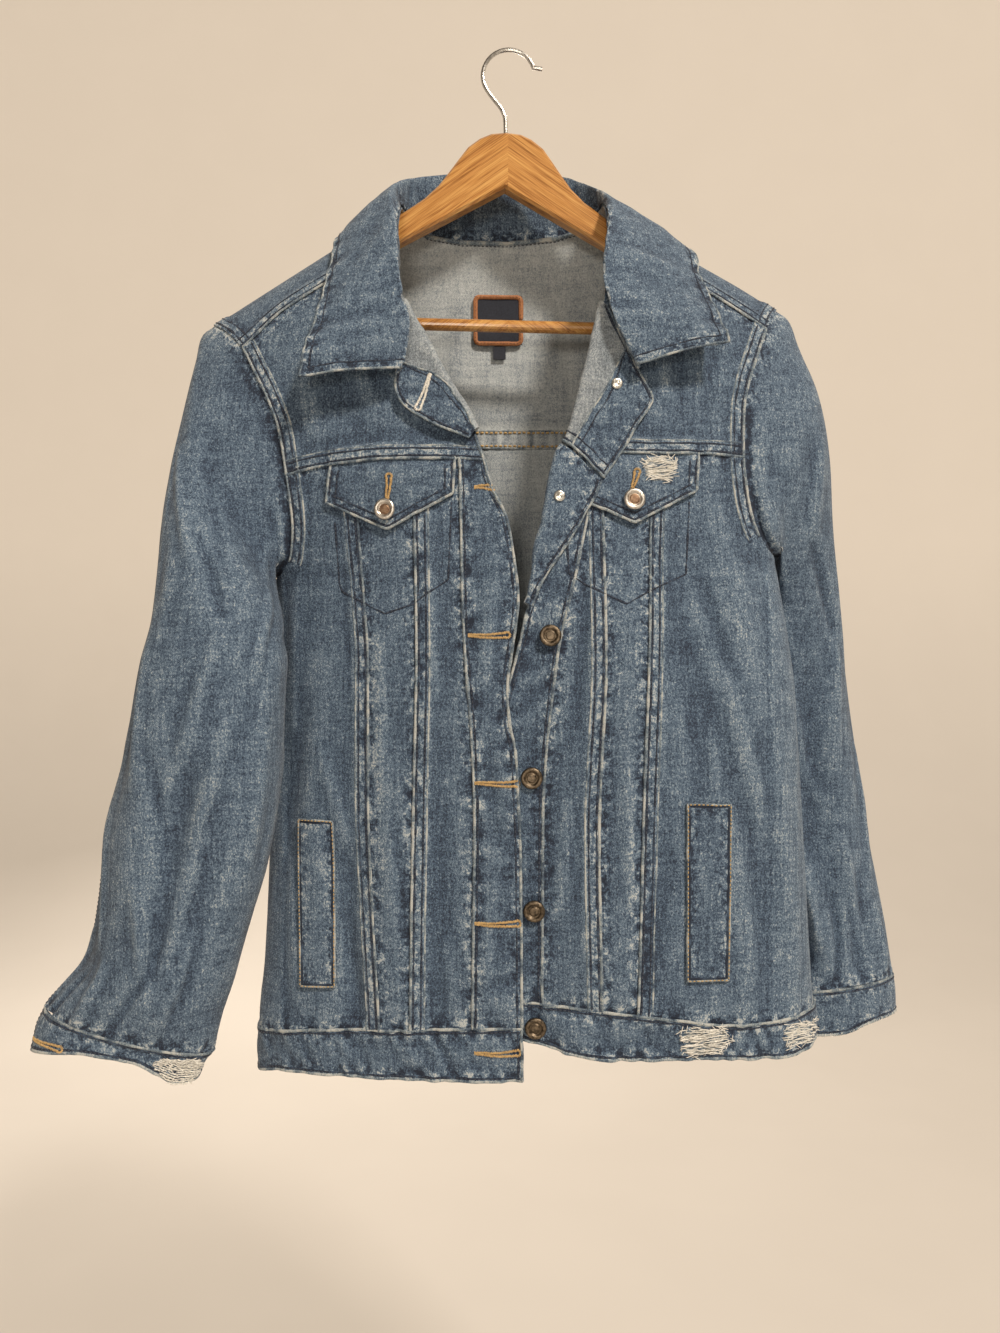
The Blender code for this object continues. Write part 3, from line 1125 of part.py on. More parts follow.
def inset(outline, amount):
    """A closed outline, listed clockwise, drawn in by an amount."""
    before = outline - np.roll(outline, 1, axis=0)
    after = np.roll(outline, -1, axis=0) - outline
    before /= np.linalg.norm(before, axis=1)[:, None]
    after /= np.linalg.norm(after, axis=1)[:, None]
    first = np.stack([before[:, 1], -before[:, 0]], axis=1)
    last = np.stack([after[:, 1], -after[:, 0]], axis=1)
    return outline + (first + last) * (amount / (1 + np.sum(first * last, axis=1)))[:, None]


def make_hanger(collection, cutters):
    """The wooden shoulders with their bar, and the wire hook."""
    right = WOOD_UPPER + WOOD_LOWER
    left = [(-x, z) for x, z in reversed(right) if x > 0]
    outline = bpy.data.curves.new("wood_outline", "CURVE")
    outline.dimensions = "2D"
    outline.fill_mode = "BOTH"
    outline.extrude = WOOD_HALF - WOOD_BEVEL
    outline.bevel_depth = WOOD_BEVEL
    outline.bevel_resolution = 0
    points = inset(np.array(list(right) + left) * MM, WOOD_BEVEL)
    spline = outline.splines.new("POLY")
    spline.points.add(len(points) - 1)
    for point, (x, z) in zip(spline.points, points):
        point.co = (x, z, 0, 1)
    spline.use_cyclic_u = True
    flat = bpy.data.objects.new("wood_outline", outline)
    collection.objects.link(flat)
    flat.matrix_world = Matrix.Rotation(HANGER_TILT, 4, "Y") @ Matrix.Rotation(math.pi / 2, 4, "X")
    wood = as_mesh(flat, "hanger_wood", collection)
    dress(wood, "wood")

    tilt = Matrix.Rotation(HANGER_TILT, 4, "Y")
    bar_place = tilt @ Matrix.Translation((0, 0, BAR_HEIGHT)) @ Matrix.Rotation(math.pi / 2, 4, "Y")
    bar = cylinder("hanger_bar", BAR_RADIUS, BAR_HALF * 2, bar_place, collection, 16)
    dress(bar, "wood")
    bore = cylinder("bar_bore", BAR_RADIUS + BORE_GAP, 2 * (BAR_HALF + BORE_GAP), bar_place, cutters, 16)
    socket = cylinder("hook_bore", WIRE_RADIUS + BORE_GAP, 24 * MM,
                      Matrix.Translation((HOOK_ROOT[0] * MM, 0, -71 * MM)), cutters, 12)
    for cutter in (bore, socket):
        cut_with(wood, cutter)

    line = hook_line()
    wire = bpy.data.curves.new("hanger_hook_wire", "CURVE")
    wire.dimensions = "3D"
    wire.bevel_depth = WIRE_RADIUS
    wire.bevel_resolution = 2
    wire.use_fill_caps = True
    spline = wire.splines.new("POLY")
    spline.points.add(len(line) - 1)
    for point, (x, z) in zip(spline.points, line):
        point.co = (x, 0, z, 1)
    made = bpy.data.objects.new("hanger_hook_wire", wire)
    collection.objects.link(made)
    dress(as_mesh(made, "hanger_hook_wire", collection), "steel")


HOOK_CENTRE = (0.5, -19.6)
HOOK_RADIUS = 21.35
HOOK_ROOT = (-1.7, -80)
HOOK_NECK = ((-13.6, -36.5), (-5.2, -47.4), (-2.4, -55), HOOK_ROOT)


def hook_line():
    """The wire's middle line: its lifted tip, the arc over the top, and the neck into the wood."""
    x0, z0 = HOOK_CENTRE
    arc = [(x0 + HOOK_RADIUS * math.cos(turn), z0 + HOOK_RADIUS * math.sin(turn))
           for turn in np.radians(np.linspace(18, 200, 19))]
    line = np.array([(28, -14.2), (25, -13.6)] + arc + list(HOOK_NECK)) * MM
    steps = np.linalg.norm(np.diff(line, axis=0), axis=1)
    places = np.concatenate([[0], np.cumsum(steps)])
    return smooth(places, line, np.linspace(0, places[-1], 36))


def as_mesh(made, name, collection):
    """The mesh of an evaluated curve object, which it replaces."""
    bpy.context.view_layer.update()
    evaluated = made.evaluated_get(bpy.context.evaluated_depsgraph_get())
    data = bpy.data.meshes.new_from_object(evaluated)
    mesh = bmesh.new()
    mesh.from_mesh(data)
    bmesh.ops.remove_doubles(mesh, verts=mesh.verts, dist=0.01 * MM)
    mesh.to_mesh(data)
    mesh.free()
    data.materials.clear()
    place = made.matrix_world.copy()
    bpy.data.objects.remove(made)
    data.name = name
    replaced = bpy.data.objects.new(name, data)
    collection.objects.link(replaced)
    replaced.matrix_world = place
    return replaced


def cylinder(name, radius, length, place, collection, segments):
    """A cylinder along its own Z."""
    mesh = bmesh.new()
    bmesh.ops.create_cone(mesh, cap_ends=True, segments=segments, radius1=radius, radius2=radius, depth=length)
    data = bpy.data.meshes.new(name)
    mesh.to_mesh(data)
    mesh.free()
    made = bpy.data.objects.new(name, data)
    collection.objects.link(made)
    made.matrix_world = place
    return made


def main():
    """Builds the whole jacket."""
    for old in list(bpy.data.objects):
        bpy.data.objects.remove(old, do_unlink=True)
    collection = bpy.data.collections.new(NAME)
    cutters = bpy.data.collections.new("cutters")
    for made in (collection, cutters):
        bpy.context.scene.collection.children.link(made)
    make_hanger(collection, cutters)
    make_back(collection)
    for side in SIDES:
        make_front_yoke(side, collection)
        make_front_panels(side, collection)
        make_front_band(side, collection, cutters)
        make_flap(side, collection)
        make_welt(side, collection)
        make_sleeve(side, collection)
        make_cuff(side, collection, cutters)
    make_collar_and_facings(collection)
    make_buttons(collection)
    make_label(collection)


main()
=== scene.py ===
"""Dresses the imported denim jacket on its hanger: cloth, sewing, buttons, wood, steel, light and camera.

Metres, +Z up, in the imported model's frame: the front faces -Y, and _l and _r are the -X and the +X side.
Tables are in millimetres and degrees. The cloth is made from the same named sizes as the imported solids, with
more points, its smaller creases, raised seams and sewing. Cloth coordinates are (u, s): u is the angle round
the body from its middle, and s the way down from the shoulder ridge, under 0 in front.
"""
import math

import bpy
import numpy as np
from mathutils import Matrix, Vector
from mathutils.bvhtree import BVHTree
from mathutils.kdtree import KDTree


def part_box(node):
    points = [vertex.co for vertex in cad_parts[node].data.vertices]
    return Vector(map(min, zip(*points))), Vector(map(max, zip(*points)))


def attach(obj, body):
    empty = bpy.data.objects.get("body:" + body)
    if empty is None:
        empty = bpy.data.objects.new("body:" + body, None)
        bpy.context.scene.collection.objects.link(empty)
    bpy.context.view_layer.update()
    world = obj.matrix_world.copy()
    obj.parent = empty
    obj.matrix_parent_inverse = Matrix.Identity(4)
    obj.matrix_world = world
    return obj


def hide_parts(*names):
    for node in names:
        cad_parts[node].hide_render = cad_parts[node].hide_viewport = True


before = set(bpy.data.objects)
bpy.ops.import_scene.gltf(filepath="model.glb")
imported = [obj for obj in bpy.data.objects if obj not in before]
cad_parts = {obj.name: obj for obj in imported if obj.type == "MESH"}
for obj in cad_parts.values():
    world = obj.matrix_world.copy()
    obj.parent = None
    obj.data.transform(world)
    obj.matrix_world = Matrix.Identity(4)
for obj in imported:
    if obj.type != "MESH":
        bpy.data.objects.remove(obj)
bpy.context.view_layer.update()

MM = 0.001
TINY = 1e-12
LINE_STEP = 1.2 * MM        # between the points of a line of sewing
RELIEF_SHADING_RISE = 0.5 * MM        # a ridge this high over the cloth round it is near its full tone: painted light on ridges, painted shade in hollows
RELIEF_SHADING_REACH = 4              # points to each side that the cloth round it is taken from
SEWN_REACH = 14 * MM        # how far the wear and the painted shade beside a seam go
DENIM = 1.2 * MM            # one layer
DOUBLE = 2.2 * MM           # plackets, bands, cuffs, flaps and collar
SHOULDER_ROUND = 120 * MM   # height over which the body rounds off into the shoulder ridge
FULLNESS = 0.7              # under 1 makes the body's section boxier than an ellipse
PASSES = 8                  # rounds in which a width and the height it depends on settle
DETAIL = 10                 # steps of the body's cloth in each of the coarse steps
U_LENGTH = 0.2              # cloth to the radian round the body, about
SLEEVE_DETAIL = 7           # the same round and along the sleeves
BUTTON_RADIUS = 8.3 * MM
BUTTON_HEIGHT = 3.4 * MM
BUTTON_CLEAR = 1.3 * MM     # from the cloth below it
RIVET_RADIUS = 4.3 * MM
RIVET_HEIGHT = 1.4 * MM
RIVET_CLEAR = 0.3 * MM      # from the cloth below it
FRONT, BACK = -1, 1
SIDES = {"l": -1, "r": 1}
rng = np.random.default_rng(12)


def run(points):
    """How far along a line each of its points lies."""
    return np.concatenate([[0], np.cumsum(np.linalg.norm(np.diff(points, axis=0), axis=-1))])


def mean_run(rows):
    """How far each row of a grid lies from its first row, on average."""
    return np.concatenate([[0], np.cumsum(np.linalg.norm(np.diff(rows, axis=0), axis=-1).mean(axis=1))])


def unit(vectors, least=0.0):
    """The vectors at a length of one. With a least length, one without any length doesn't fail."""
    return vectors / (np.linalg.norm(vectors, axis=-1)[..., None] + least)


def soft(share):
    """A share from 0 to 1 that starts and ends gently."""
    return share * share * (3 - 2 * share)


def smooth(places, values, at, loose=False):
    """A curve through the values at rising places. It never overshoots them unless it may be loose."""
    places = np.asarray(places, float)
    values = np.asarray(values, float)
    at = np.asarray(at, float)
    steps = np.diff(places)
    slopes = np.diff(values, axis=0) / steps.reshape((-1,) + (1,) * (values.ndim - 1))
    tangents = np.empty_like(values)
    tangents[0] = slopes[0]
    tangents[-1] = slopes[-1]
    if loose:
        before, after = (part.reshape((-1,) + (1,) * (values.ndim - 1)) for part in (steps[:-1], steps[1:]))
        tangents[1:-1] = (slopes[:-1] * after + slopes[1:] * before) / (before + after)
    else:
        product = slopes[:-1] * slopes[1:]
        total = slopes[:-1] + slopes[1:]
        tangents[1:-1] = np.where(product > 0, 2 * product / np.where(total == 0, 1, total), 0)
    span = np.clip(np.searchsorted(places, at, side="right") - 1, 0, len(steps) - 1)
    share = np.clip((at - places[span]) / steps[span], 0, 1)
    width = steps[span]
    if values.ndim > 1:
        share = share[..., None]
        width = width[..., None]
    square = share * share
    cube = square * share
    return ((2 * cube - 3 * square + 1) * values[span] + (cube - 2 * square + share) * width * tangents[span]
            + (3 * square - 2 * cube) * values[span + 1] + (cube - square) * width * tangents[span + 1])


class Table:
    """Rows of sizes under named columns, read as smooth curves over the first column."""

    def __init__(self, columns, *rows):
        self.names = columns.split()
        values = np.array(sorted(rows), float)
        for number, name in enumerate(self.names):
            if not name.endswith("_deg"):
                values[:, number] *= MM
        self.places = values[:, 0]
        self.values = values[:, 1:]

    def at(self, place):
        """All other columns at a place."""
        return smooth(self.places, self.values, place)

    def __call__(self, place):
        """The second column at a place."""
        return smooth(self.places, self.values[:, 0], place)


# The shoulder ridge: its height at each place across.
RIDGE = Table(
    "x z",
    (-270, -244), (-240.3, -225.6), (-135, -160), (-86, -129.5), (-45, -112), (0, -105),
    (45, -112), (77, -128), (148, -172), (188, -194.5), (219, -213.3), (250, -232))

# Body sections. front and back are its half depths, left_y and right_y how far its two sides lie back.
TORSO = Table(
    "z left right front back left_y right_y",
    (-90, -262, 248, 52, 45, 0, 0),
    (-225, -268, 250, 53, 45, 0, 0),
    (-300, -246, 240, 55, 45, 2, -2),
    (-360, -221, 229, 57, 44, 5, -8),
    (-420, -196, 211, 59, 42, 8, -15),
    (-435, -190, 213, 60, 42, 9, -17),
    (-480, -190, 219, 62, 40, 11, -22),
    (-540, -192, 226, 63, 38, 12, -25),
    (-655, -195, 232.5, 63, 36, 12, -26),
    (-745, -199, 238, 62, 36, 11, -25),
    (-792, -204, 242, 61, 36, 10, -23),
    (-840, -205, 239, 60, 35, 9, -22))

# Folds of the body: a ridge (depth over 0) or a trough from one point to another.
FRONT_FOLDS = (
    # x0, z0, x1, z1, width, depth
    (-150, -470, -158, -780, 16, 3.0),
    (-125, -640, -119, -800, 11, -3.2),
    (-92, -560, -86, -815, 14, 2.6),
    (-52, -600, -47, -815, 12, -2.4),
    (92, -440, 84, -790, 15, 2.6),
    (128, -420, 150, -600, 15, -3.0),
    (158, -370, 196, -560, 13, 3.2),
    (190, -600, 205, -790, 15, -3.4),
    (-140, -255, -115, -335, 14, -2.6),
    (125, -240, 140, -330, 14, -2.6))
BACK_FOLDS = (
    (-135, -350, -150, -780, 20, 3.4),
    (-85, -420, -72, -800, 17, -3.6),
    (-20, -340, -28, -790, 20, 3.0),
    (48, -450, 40, -800, 17, -3.4),
    (110, -350, 128, -790, 20, 3.4))
UNDERLAP = Table("x depth", (-40, 4.8), (14, 4.8), (34, 3), (60, 0), (70, 0))
UNDERLAP_TOP = Table("z share", (-540, 1000), (-492, 1000), (-455, 0), (-400, 0))

# Lines that run down: the place across at each height.
ARM_FRONT = {
    "l": Table("z x", (-225.6, -240.3), (-238, -223), (-252.4, -210), (-270, -200.6), (-293, -189),
               (-319.5, -179.3), (-355, -173.8), (-395, -169.5), (-415, -171.5), (-428, -179), (-435, -190)),
    "r": Table("z x", (-213.3, 219), (-224, 211), (-236.4, 205.4), (-258.7, 196.5), (-284, 187.7),
               (-306.6, 183.4), (-342.7, 182.6), (-371, 185), (-395, 191), (-411, 200), (-420, 211))}
ARM_BACK = {
    "l": Table("z x", (-225.6, -240.3), (-240, -222), (-270, -205), (-310, -191), (-350, -184),
               (-395, -178), (-420, -181), (-430, -185), (-435, -190)),
    "r": Table("z x", (-213.3, 219), (-228, 208), (-260, 198), (-300, 191), (-340, 188),
               (-380, 190), (-405, 197), (-415, 203), (-420, 211))}
OUTER_V = {
    "l": Table("z x", (-340, -119.5), (-393, -117), (-456, -112), (-499, -109), (-600, -108.7), (-780, -100)),
    "r": Table("z x", (-340, 111.5), (-393, 109), (-495, 106), (-610, 101.5), (-767, 97.7))}
INNER_V = {
    "l": Table("z x", (-340, -71.5), (-392, -71), (-499, -69.2), (-623, -71.8), (-780, -74)),
    "r": Table("z x", (-340, 70), (-385, 70.5), (-495, 72), (-632, 66.6), (-761, 69))}
PLACKET_SEAM = {
    "l": Table("z x", (-340, -36.5), (-472, -33.2), (-569, -26.4), (-622, -24.8), (-775, -26.4)),
    "r": Table("z x", (-330, 70), (-370, 63), (-431, 50.4), (-499, 35.2), (-618, 24.6), (-760, 23.8))}
FRONT_EDGE = {
    "l": Table("z x", (-220.6, -83.1), (-278, -52.3), (-324, -25.6), (-336, -21.8), (-346, -18),
               (-362, -14.2), (-393, -0.5), (-423, 4.8), (-453.5, 7.8), (-491.5, 3.3), (-522, -0.5),
               (-545, 1), (-567.5, 5.6), (-605, 7.8), (-643, 9.4), (-825, 10.9)),
    "r": Table("z x", (-216.7, 74.5), (-328, 46.4), (-344, 37.9), (-370, 32.2), (-393, 28.4), (-420, 21.5),
               (-447, 18.3), (-466, 12.1), (-479, 9.4), (-500, 4), (-522, -2), (-545, -8), (-580, -12),
               (-825, -12))}

# Lines that run across: the height at each place across.
SHOULDER_SEAM = {
    "l": Table("x z", (-240, -268), (-210.5, -252.8), (-179, -225.4), (-142.5, -203.5), (-86, -176)),
    "r": Table("x z", (77, -168), (120, -188), (162, -211), (205.4, -236.4), (225, -248))}
YOKE_SEAM = {
    "l": Table("x z", (-180, -357), (-174, -355), (-137.7, -348), (-92, -344.5), (-40, -344.4), (-10, -346)),
    "r": Table("x z", (30, -330), (40, -332.6), (60, -337), (90, -340.5), (118, -341.3), (153, -340.8),
               (190, -343))}
HEM_SEAM = {
    "l": Table("x z", (-204, -798), (-178, -793), (-150, -788.5), (-30, -779.5), (15, -777)),
    "r": Table("x z", (-15, -757.5), (12, -759), (71, -763.7), (128, -770), (172, -775), (208, -773.5),
               (245, -765))}
HEM_EDGE = {
    "l": Table("x z", (-204, -831), (-180, -824), (-140, -821.5), (-30, -818.5), (15, -816.5)),
    "r": Table("x z", (-15, -785.5), (12, -787), (48, -796.6), (83, -799.7), (141, -799), (205, -800.8),
               (245, -792.5))}
BACK_YOKE_SEAM = Table("x z", (-190, -312), (0, -307), (190, -312))
BACK_HEM_SEAM = Table("x z", (-204, -798), (-60, -785), (20, -772), (130, -770), (245, -765))
BACK_HEM_EDGE = Table("x z", (-204, -831), (-60, -818), (20, -806), (130, -801), (245, -792.5))

# Heights from which the crossing of two lines is looked for.
NEAR_BACK_YOKE = -310 * MM
NEAR_YOKE = -345 * MM
NEAR_PIT = -350 * MM
NEAR_HEM = -780 * MM
NEAR_CORNER = -790 * MM
NEAR_EDGE = -800 * MM
NEAR_BACK_EDGE = -815 * MM
BELOW_TIP = 25 * MM

# The neckline, from the left front's roll round the back to the right front's roll.
NECKLINE = (
    # x, z, side
    (-83.1, -220.6, FRONT), (-84.5, -198, FRONT), (-86, -176, FRONT), (-87, -150, FRONT), (-86, -125, FRONT),
    (-80, -135, BACK), (-68, -141, BACK), (-40, -143.5, BACK), (0, -143.5, BACK), (40, -141, BACK),
    (60, -137.5, BACK), (71, -132, BACK), (77, -122, FRONT), (78, -147, FRONT), (77, -168, FRONT),
    (76, -195, FRONT), (74.5, -216.7, FRONT))
NECK_SHOULDER = {"l": 2, "r": 14}      # rows of NECKLINE at the shoulder seams,
NECK_TOP = {"l": 4, "r": 12}           # on the shoulder ridge,
NECK_BACK = {"l": 6, "r": 10}          # and at the back

# The turned back edges of the two fronts, from the collar down: fold and cut edge at each height.
LAPEL_LIFT = 5.2 * MM       # off the front below them
FOLD_GAP = 0.3 * MM         # past the front's own edge
TURN = {
    # share of the way down, fold_x, fold_z, edge_x, edge_z
    "l": ((0, -81, -225, -83.5, -228), (0.15, -74.5, -237, -84, -243), (0.3, -67.5, -250, -84.6, -260),
          (0.45, -60.5, -263, -85, -277), (0.55, -55.5, -272.5, -86.5, -290), (0.62, -52, -279, -84, -299),
          (0.8, -41, -298, -64, -316), (1, -25.5, -324.5, -30, -331)),
    "r": ((0, 72.5, -226, 75.5, -229), (0.12, 69, -240, 82, -243.5), (0.25, 65.5, -254, 90, -260),
          (0.38, 61.5, -270, 98.5, -277), (0.47, 58.5, -281, 104.5, -288.5), (0.55, 56, -291, 109.5, -298),
          (0.75, 50, -314, 98.5, -319.5), (0.88, 45.5, -325, 85, -343), (1, 41, -334.5, 72, -361.5)),
    "r_lower": ((0, 40.5, -337, 71, -364), (0.25, 32, -371, 62, -382), (0.5, 26.5, -402, 45, -412),
                (0.8, 19, -440, 25, -443), (1, 15, -458, 18.5, -460))}

# The collar: the seam that carries it, the top of its roll, and its outer edge.
COLLAR = (
    # seam_x, seam_z, seam_side, seam_lift, roll_x, roll_y, roll_z, edge_x, edge_y, edge_z
    (-84, -282, FRONT, 10, -83.5, -69, -280, -157, -68, -288.5),
    (-80, -252, FRONT, 10, -78.6, -68, -248, -152.5, -65, -263),
    (-83.2, -222, FRONT, 8, -84.2, -63, -222, -147, -57, -244),
    (-84.5, -201, FRONT, 2.4, -88, -58, -196, -143.5, -47, -221),
    (-86, -172, FRONT, 2.4, -91, -45, -162, -139, -33, -191),
    (-86.4, -146, FRONT, 4, -98, -20, -126, -137, -8, -157),
    (-85.5, -125, FRONT, 4, -93, -2, -111, -131, 13, -156),
    (-79, -134, BACK, 2.4, -80, 16, -99, -112, 37, -160),
    (-55, -141, BACK, 2.4, -50, 33, -88, -68, 52, -155),
    (0, -142, BACK, 2.4, 0, 38, -84, 0, 57, -154),
    (48, -139, BACK, 2.4, 48, 33, -90, 65, 52, -156),
    (69, -131, BACK, 2.4, 70, 16, -106, 104, 37, -163),
    (76, -122, FRONT, 4, 79, -2, -118, 131, 14, -162),
    (77, -143, FRONT, 4, 86, -18, -131.5, 145, -8, -167),
    (77, -172, FRONT, 2.4, 80, -46, -170, 151, -32, -198),
    (75, -210, FRONT, 4, 76, -61, -209, 157.5, -47, -223),
    (82.5, -244, FRONT, 9, 84, -69, -242, 163, -60, -246),
    (99, -278, FRONT, 10, 101, -69.5, -276, 166.5, -66, -259.5))
COLLAR_ROLL = 3.2 * MM
COLLAR_BULGE = 3 * MM
COLLAR_COLUMNS = 260
COLLAR_ROWS = (10, 6, 30)      # of its stand, its roll and its fall
NECK_HEIGHT = -170 * MM        # the middle of the neck's opening, which the collar bulges away from
COLLAR_STAND = 8 * MM          # over which the puckers of the stand and the crumpling of the fall begin
COLLAR_FALL = 12 * MM
COLLAR_RIM = 10 * MM           # width of the crumpled rim along the collar's edge
COLLAR_GROOVE = (7 * MM, 1.6 * MM, 0.5 * MM)      # beside its row of stitches: place, half width, depth
COLLAR_SPRING = {"l": 7 * MM, "r": 2 * MM}       # how far each half's edge springs forward

# Sleeve sections: the middle, half width and half depth, how far the outer end is tipped up, and how far the
# seams have turned round the arm.
SLEEVE = {
    # x, y, z, half_width, half_depth, tilt_deg, turn_deg
    "l": ((-222, -8, -372, 87, 43, 64, 18), (-219, -24, -402, 73, 42, 49, 30),
          (-218, -40, -436, 62, 40, 34, 34), (-220, -50, -470, 54, 38, 21, 34),
          (-226, -55, -515, 56, 38, 11, 33), (-233, -56, -577, 60, 39, 9, 33),
          (-245, -56, -640, 62.5, 39, 9, 34), (-257, -55, -697, 58, 38, 10, 35),
          (-267, -54, -737, 56, 37, 11, 36), (-281, -54, -762, 61, 33, 13, 36),
          (-290, -54, -780, 66, 28, 15, 36)),
    "r": ((219, 2, -360, 92, 41, 70, -24), (216, 5, -401, 82, 39, 54, -30), (223, 13, -428, 55, 35, 31, -38),
          (230, 24, -474, 51, 32, 14, -40), (236, 33, -543, 54, 33, 8, -34), (246, 38, -625, 58, 33, 8, -25),
          (259, 38, -700, 57.5, 32, 9, -14), (269, 37, -748, 56, 31, 8, -6), (273, 36, -770, 55, 30, 7, 0))}
CUFF = {
    # x, y, z, half_width, half_depth, tilt_deg, turn_deg
    "l": ((-290.2, -54, -780.8, 66, 28, 15, 0), (-296, -54.5, -797, 66, 27, 12, 0),
          (-300, -55, -816, 65, 27, 10, 0)),
    "r": ((273, 36, -771, 55, 30, 7, 0), (276, 36, -785, 54, 30, 7, 0), (278, 36, -806, 53, 29.5, 8, 0))}
CUFF_LIFT = {      # how far a cuff's lower edge is crumpled up, round the arm
    "l": Table("angle_deg z", (-10, 7), (40, 14), (85, 23), (108, 22), (128, 14), (140, 9), (165, 10),
               (185, 15), (260, 8), (340, 7)),
    "r": Table("angle_deg z", (-30, 2), (60, 4), (90, -2), (130, 3), (180, 0), (330, 2), (420, 4), (450, -2),
               (540, 3), (690, 2))}
UNDER_FOLDS = ((215, -420, 240, -700, 11, 5), (280, -380, 300, -650, 11, -6), (330, -480, 320, -740, 10, 5))
SLEEVE_FOLDS = {
    # angle0, z0, angle1, z1, width, depth
    "l": ((60, -300, 100, -470, 9, -4), (45, -420, 62, -700, 10, 4), (88, -560, 96, -760, 8, -7),
          (112, -600, 125, -770, 8, -6), (20, -640, 30, -745, 9, -4), (150, -480, 140, -690, 9, 4),
          *UNDER_FOLDS),
    "r": ((50, -290, 75, -420, 9, -5), (30, -380, 52, -640, 10, 4), (75, -500, 88, -720, 9, -5),
          (128, -580, 118, -775, 10, -16), (100, -640, 92, -770, 7, 4), (55, -680, 62, -775, 8, -5),
          *UNDER_FOLDS)}
ARM_STEPS = {"tip": 3, "front_yoke": 5, "front_pit": 5, "back_pit": 6, "back_tip": 6}
RIDGE_CROWD = 1.6             # crowds the rows of the back yoke towards the shoulder ridge
SLEEVE_RINGS = 20
SLEEVE_RADIUS = 50             # of the tube that its folds' widths are measured on
SLEEVE_START = 4.5 * MM        # the sleeve first runs on in the body's own direction
SLEEVE_CLEAR = 6 * MM          # then it stays this far from the body,
CLEAR_TO = 75 * MM             # from this far above the armhole's lowest point
CLEAR_FADE = 45 * MM           # and in full this far below that
PIT_ROWS = 9                   # rows whose points are evened out round the armhole's lowest point
PIT_PASSES = 14
PIT_FOLD = 3 * MM              # how far the sleeve folds out over the armhole's lowest point
FRONT_SEAM_COLUMN = 15         # the sleeve's two seams, in columns from the shoulder's tip round the front
BACK_SEAM_COLUMN = 22

# What lies on the fronts
FLAP = {
    "l": dict(top=((-137.7, -350.5), (-40, -347)), side_z=(-377.5, -372.5), side_x=(-141, -41.5),
              point=(-92.5, -399.5)),
    "r": dict(top=((146.2, -348.5), (49, -344)), side_z=(-370.5, -377), side_x=(143.5, 52),
              point=(95.2, -396))}
FLAP_LIFT = (1.7 * MM, 1.9 * MM)        # under the yoke's edge, and added below it
FLAP_TUCK = 9 * MM                     # over which it's added
FLAP_GRID = (45, 24)
WELT_GRID = (15, 56)
FLAP_BUTTON = {"l": (-93.5, -384), "r": (94.8, -378)}
WELT = {
    "l": dict(top=((-164, -623.5), (-135, -623.5)), bottom=((-163, -755), (-134, -753))),
    "r": dict(top=((132.5, -606), (166.6, -607)), bottom=((132.5, -739.5), (165, -739.5)))}
WELT_LIFT = 2.2 * MM
FRONT_BUTTONS = ((31.4, -480.8), (17.2, -588), (19, -688), (20.2, -776.5))
LAPEL_BUTTONS = ((82, -289), (38, -376))
LABEL_CLEAR = 4 * MM         # from the yoke's outer face
LABEL_WALL = 1 * MM
LABEL = dict(x=(-30, 13.5), z=(-184.5, -228))
LABEL_TRIM = 1.2             # how much smaller the cloth is than the label, all round
LABEL_INSET = 2              # the middle of its leather rim, in from its edge, and the rim's corners
LABEL_CORNER = 3.5
SIZE_TAB = dict(x=(-12.6, -1.8), z=(-228.8, -239.5))


# ---------------------------------------------------------------- creases and puckers

# Smaller creases, as FRONT_FOLDS and BACK_FOLDS have them.
FRONT_CREASES = (
    # x0, z0, x1, z1, width, depth
    (-168, -430, -176, -560, 7, 1.6), (-160, -520, -182, -700, 8, -1.6), (-150, -560, -120, -660, 6, 1.1),
    (-176, -640, -168, -770, 6, 1.4), (-128, -690, -112, -790, 5, -1.2), (-100, -470, -98, -610, 5, 1.0),
    (-88, -600, -78, -720, 5, -1.0), (-60, -420, -56, -540, 5, 1.0), (-50, -700, -40, -782, 5, 1.0),
    (-12, -430, -20, -520, 5, 1.0), (-16, -560, -8, -640, 5, -1.0), (-10, -650, -20, -760, 5, 1.0),
    (60, -430, 48, -560, 5, -1.0), (44, -600, 36, -700, 5, 1.0), (86, -560, 92, -700, 5, 1.0),
    (120, -640, 100, -760, 7, -1.2), (140, -420, 170, -520, 6, -1.4), (160, -500, 196, -640, 8, 1.8),
    (176, -600, 192, -720, 6, -1.5), (205, -560, 214, -700, 6, 1.4), (150, -540, 156, -610, 5, 1.2),
    (182, -690, 176, -770, 6, 1.2), (-120, -232, -96, -300, 6, -1.4), (-160, -262, -150, -330, 7, 1.2),
    (112, -232, 124, -300, 6, 1.2), (160, -240, 152, -320, 7, -1.4))
BACK_CREASES = (
    (-176, -400, -120, -470, 9, 2.0), (-184, -440, -150, -560, 8, -1.8), (170, -400, 120, -480, 9, 2.0),
    (196, -450, 160, -570, 8, -1.8), (-110, -500, -100, -640, 8, 1.4), (-50, -600, -58, -760, 7, -1.4),
    (12, -520, 6, -700, 8, 1.4), (80, -600, 88, -770, 7, 1.3), (-150, -620, -170, -780, 8, 1.5),
    (150, -600, 182, -770, 8, -1.5), (-40, -180, -52, -290, 9, -1.2), (44, -180, 60, -290, 9, 1.2),
    (-120, -200, -100, -290, 8, 1.4), (124, -210, 104, -290, 8, -1.4))
CREASED = 1.7               # how much deeper the smaller creases are than their tables say
PUCKER = 0.75 * MM
PUCKER_SIZE = 7 * MM
PUCKER_REACH = 8 * MM
HEM_PUCKER = 2.4            # how much stronger they are beside the hem band
FRONT_SPLIT = 13 * MM       # where the left front's puckers give way to the right front's
FRONT_BLEND = 8 * MM
LAPEL_FOOT = -300 * MM      # above it the seams are under the turned edges, and make none
LAPEL_BLEND = 40 * MM
LATTICE = 64
lattice = rng.uniform(-1, 1, (LATTICE, LATTICE))


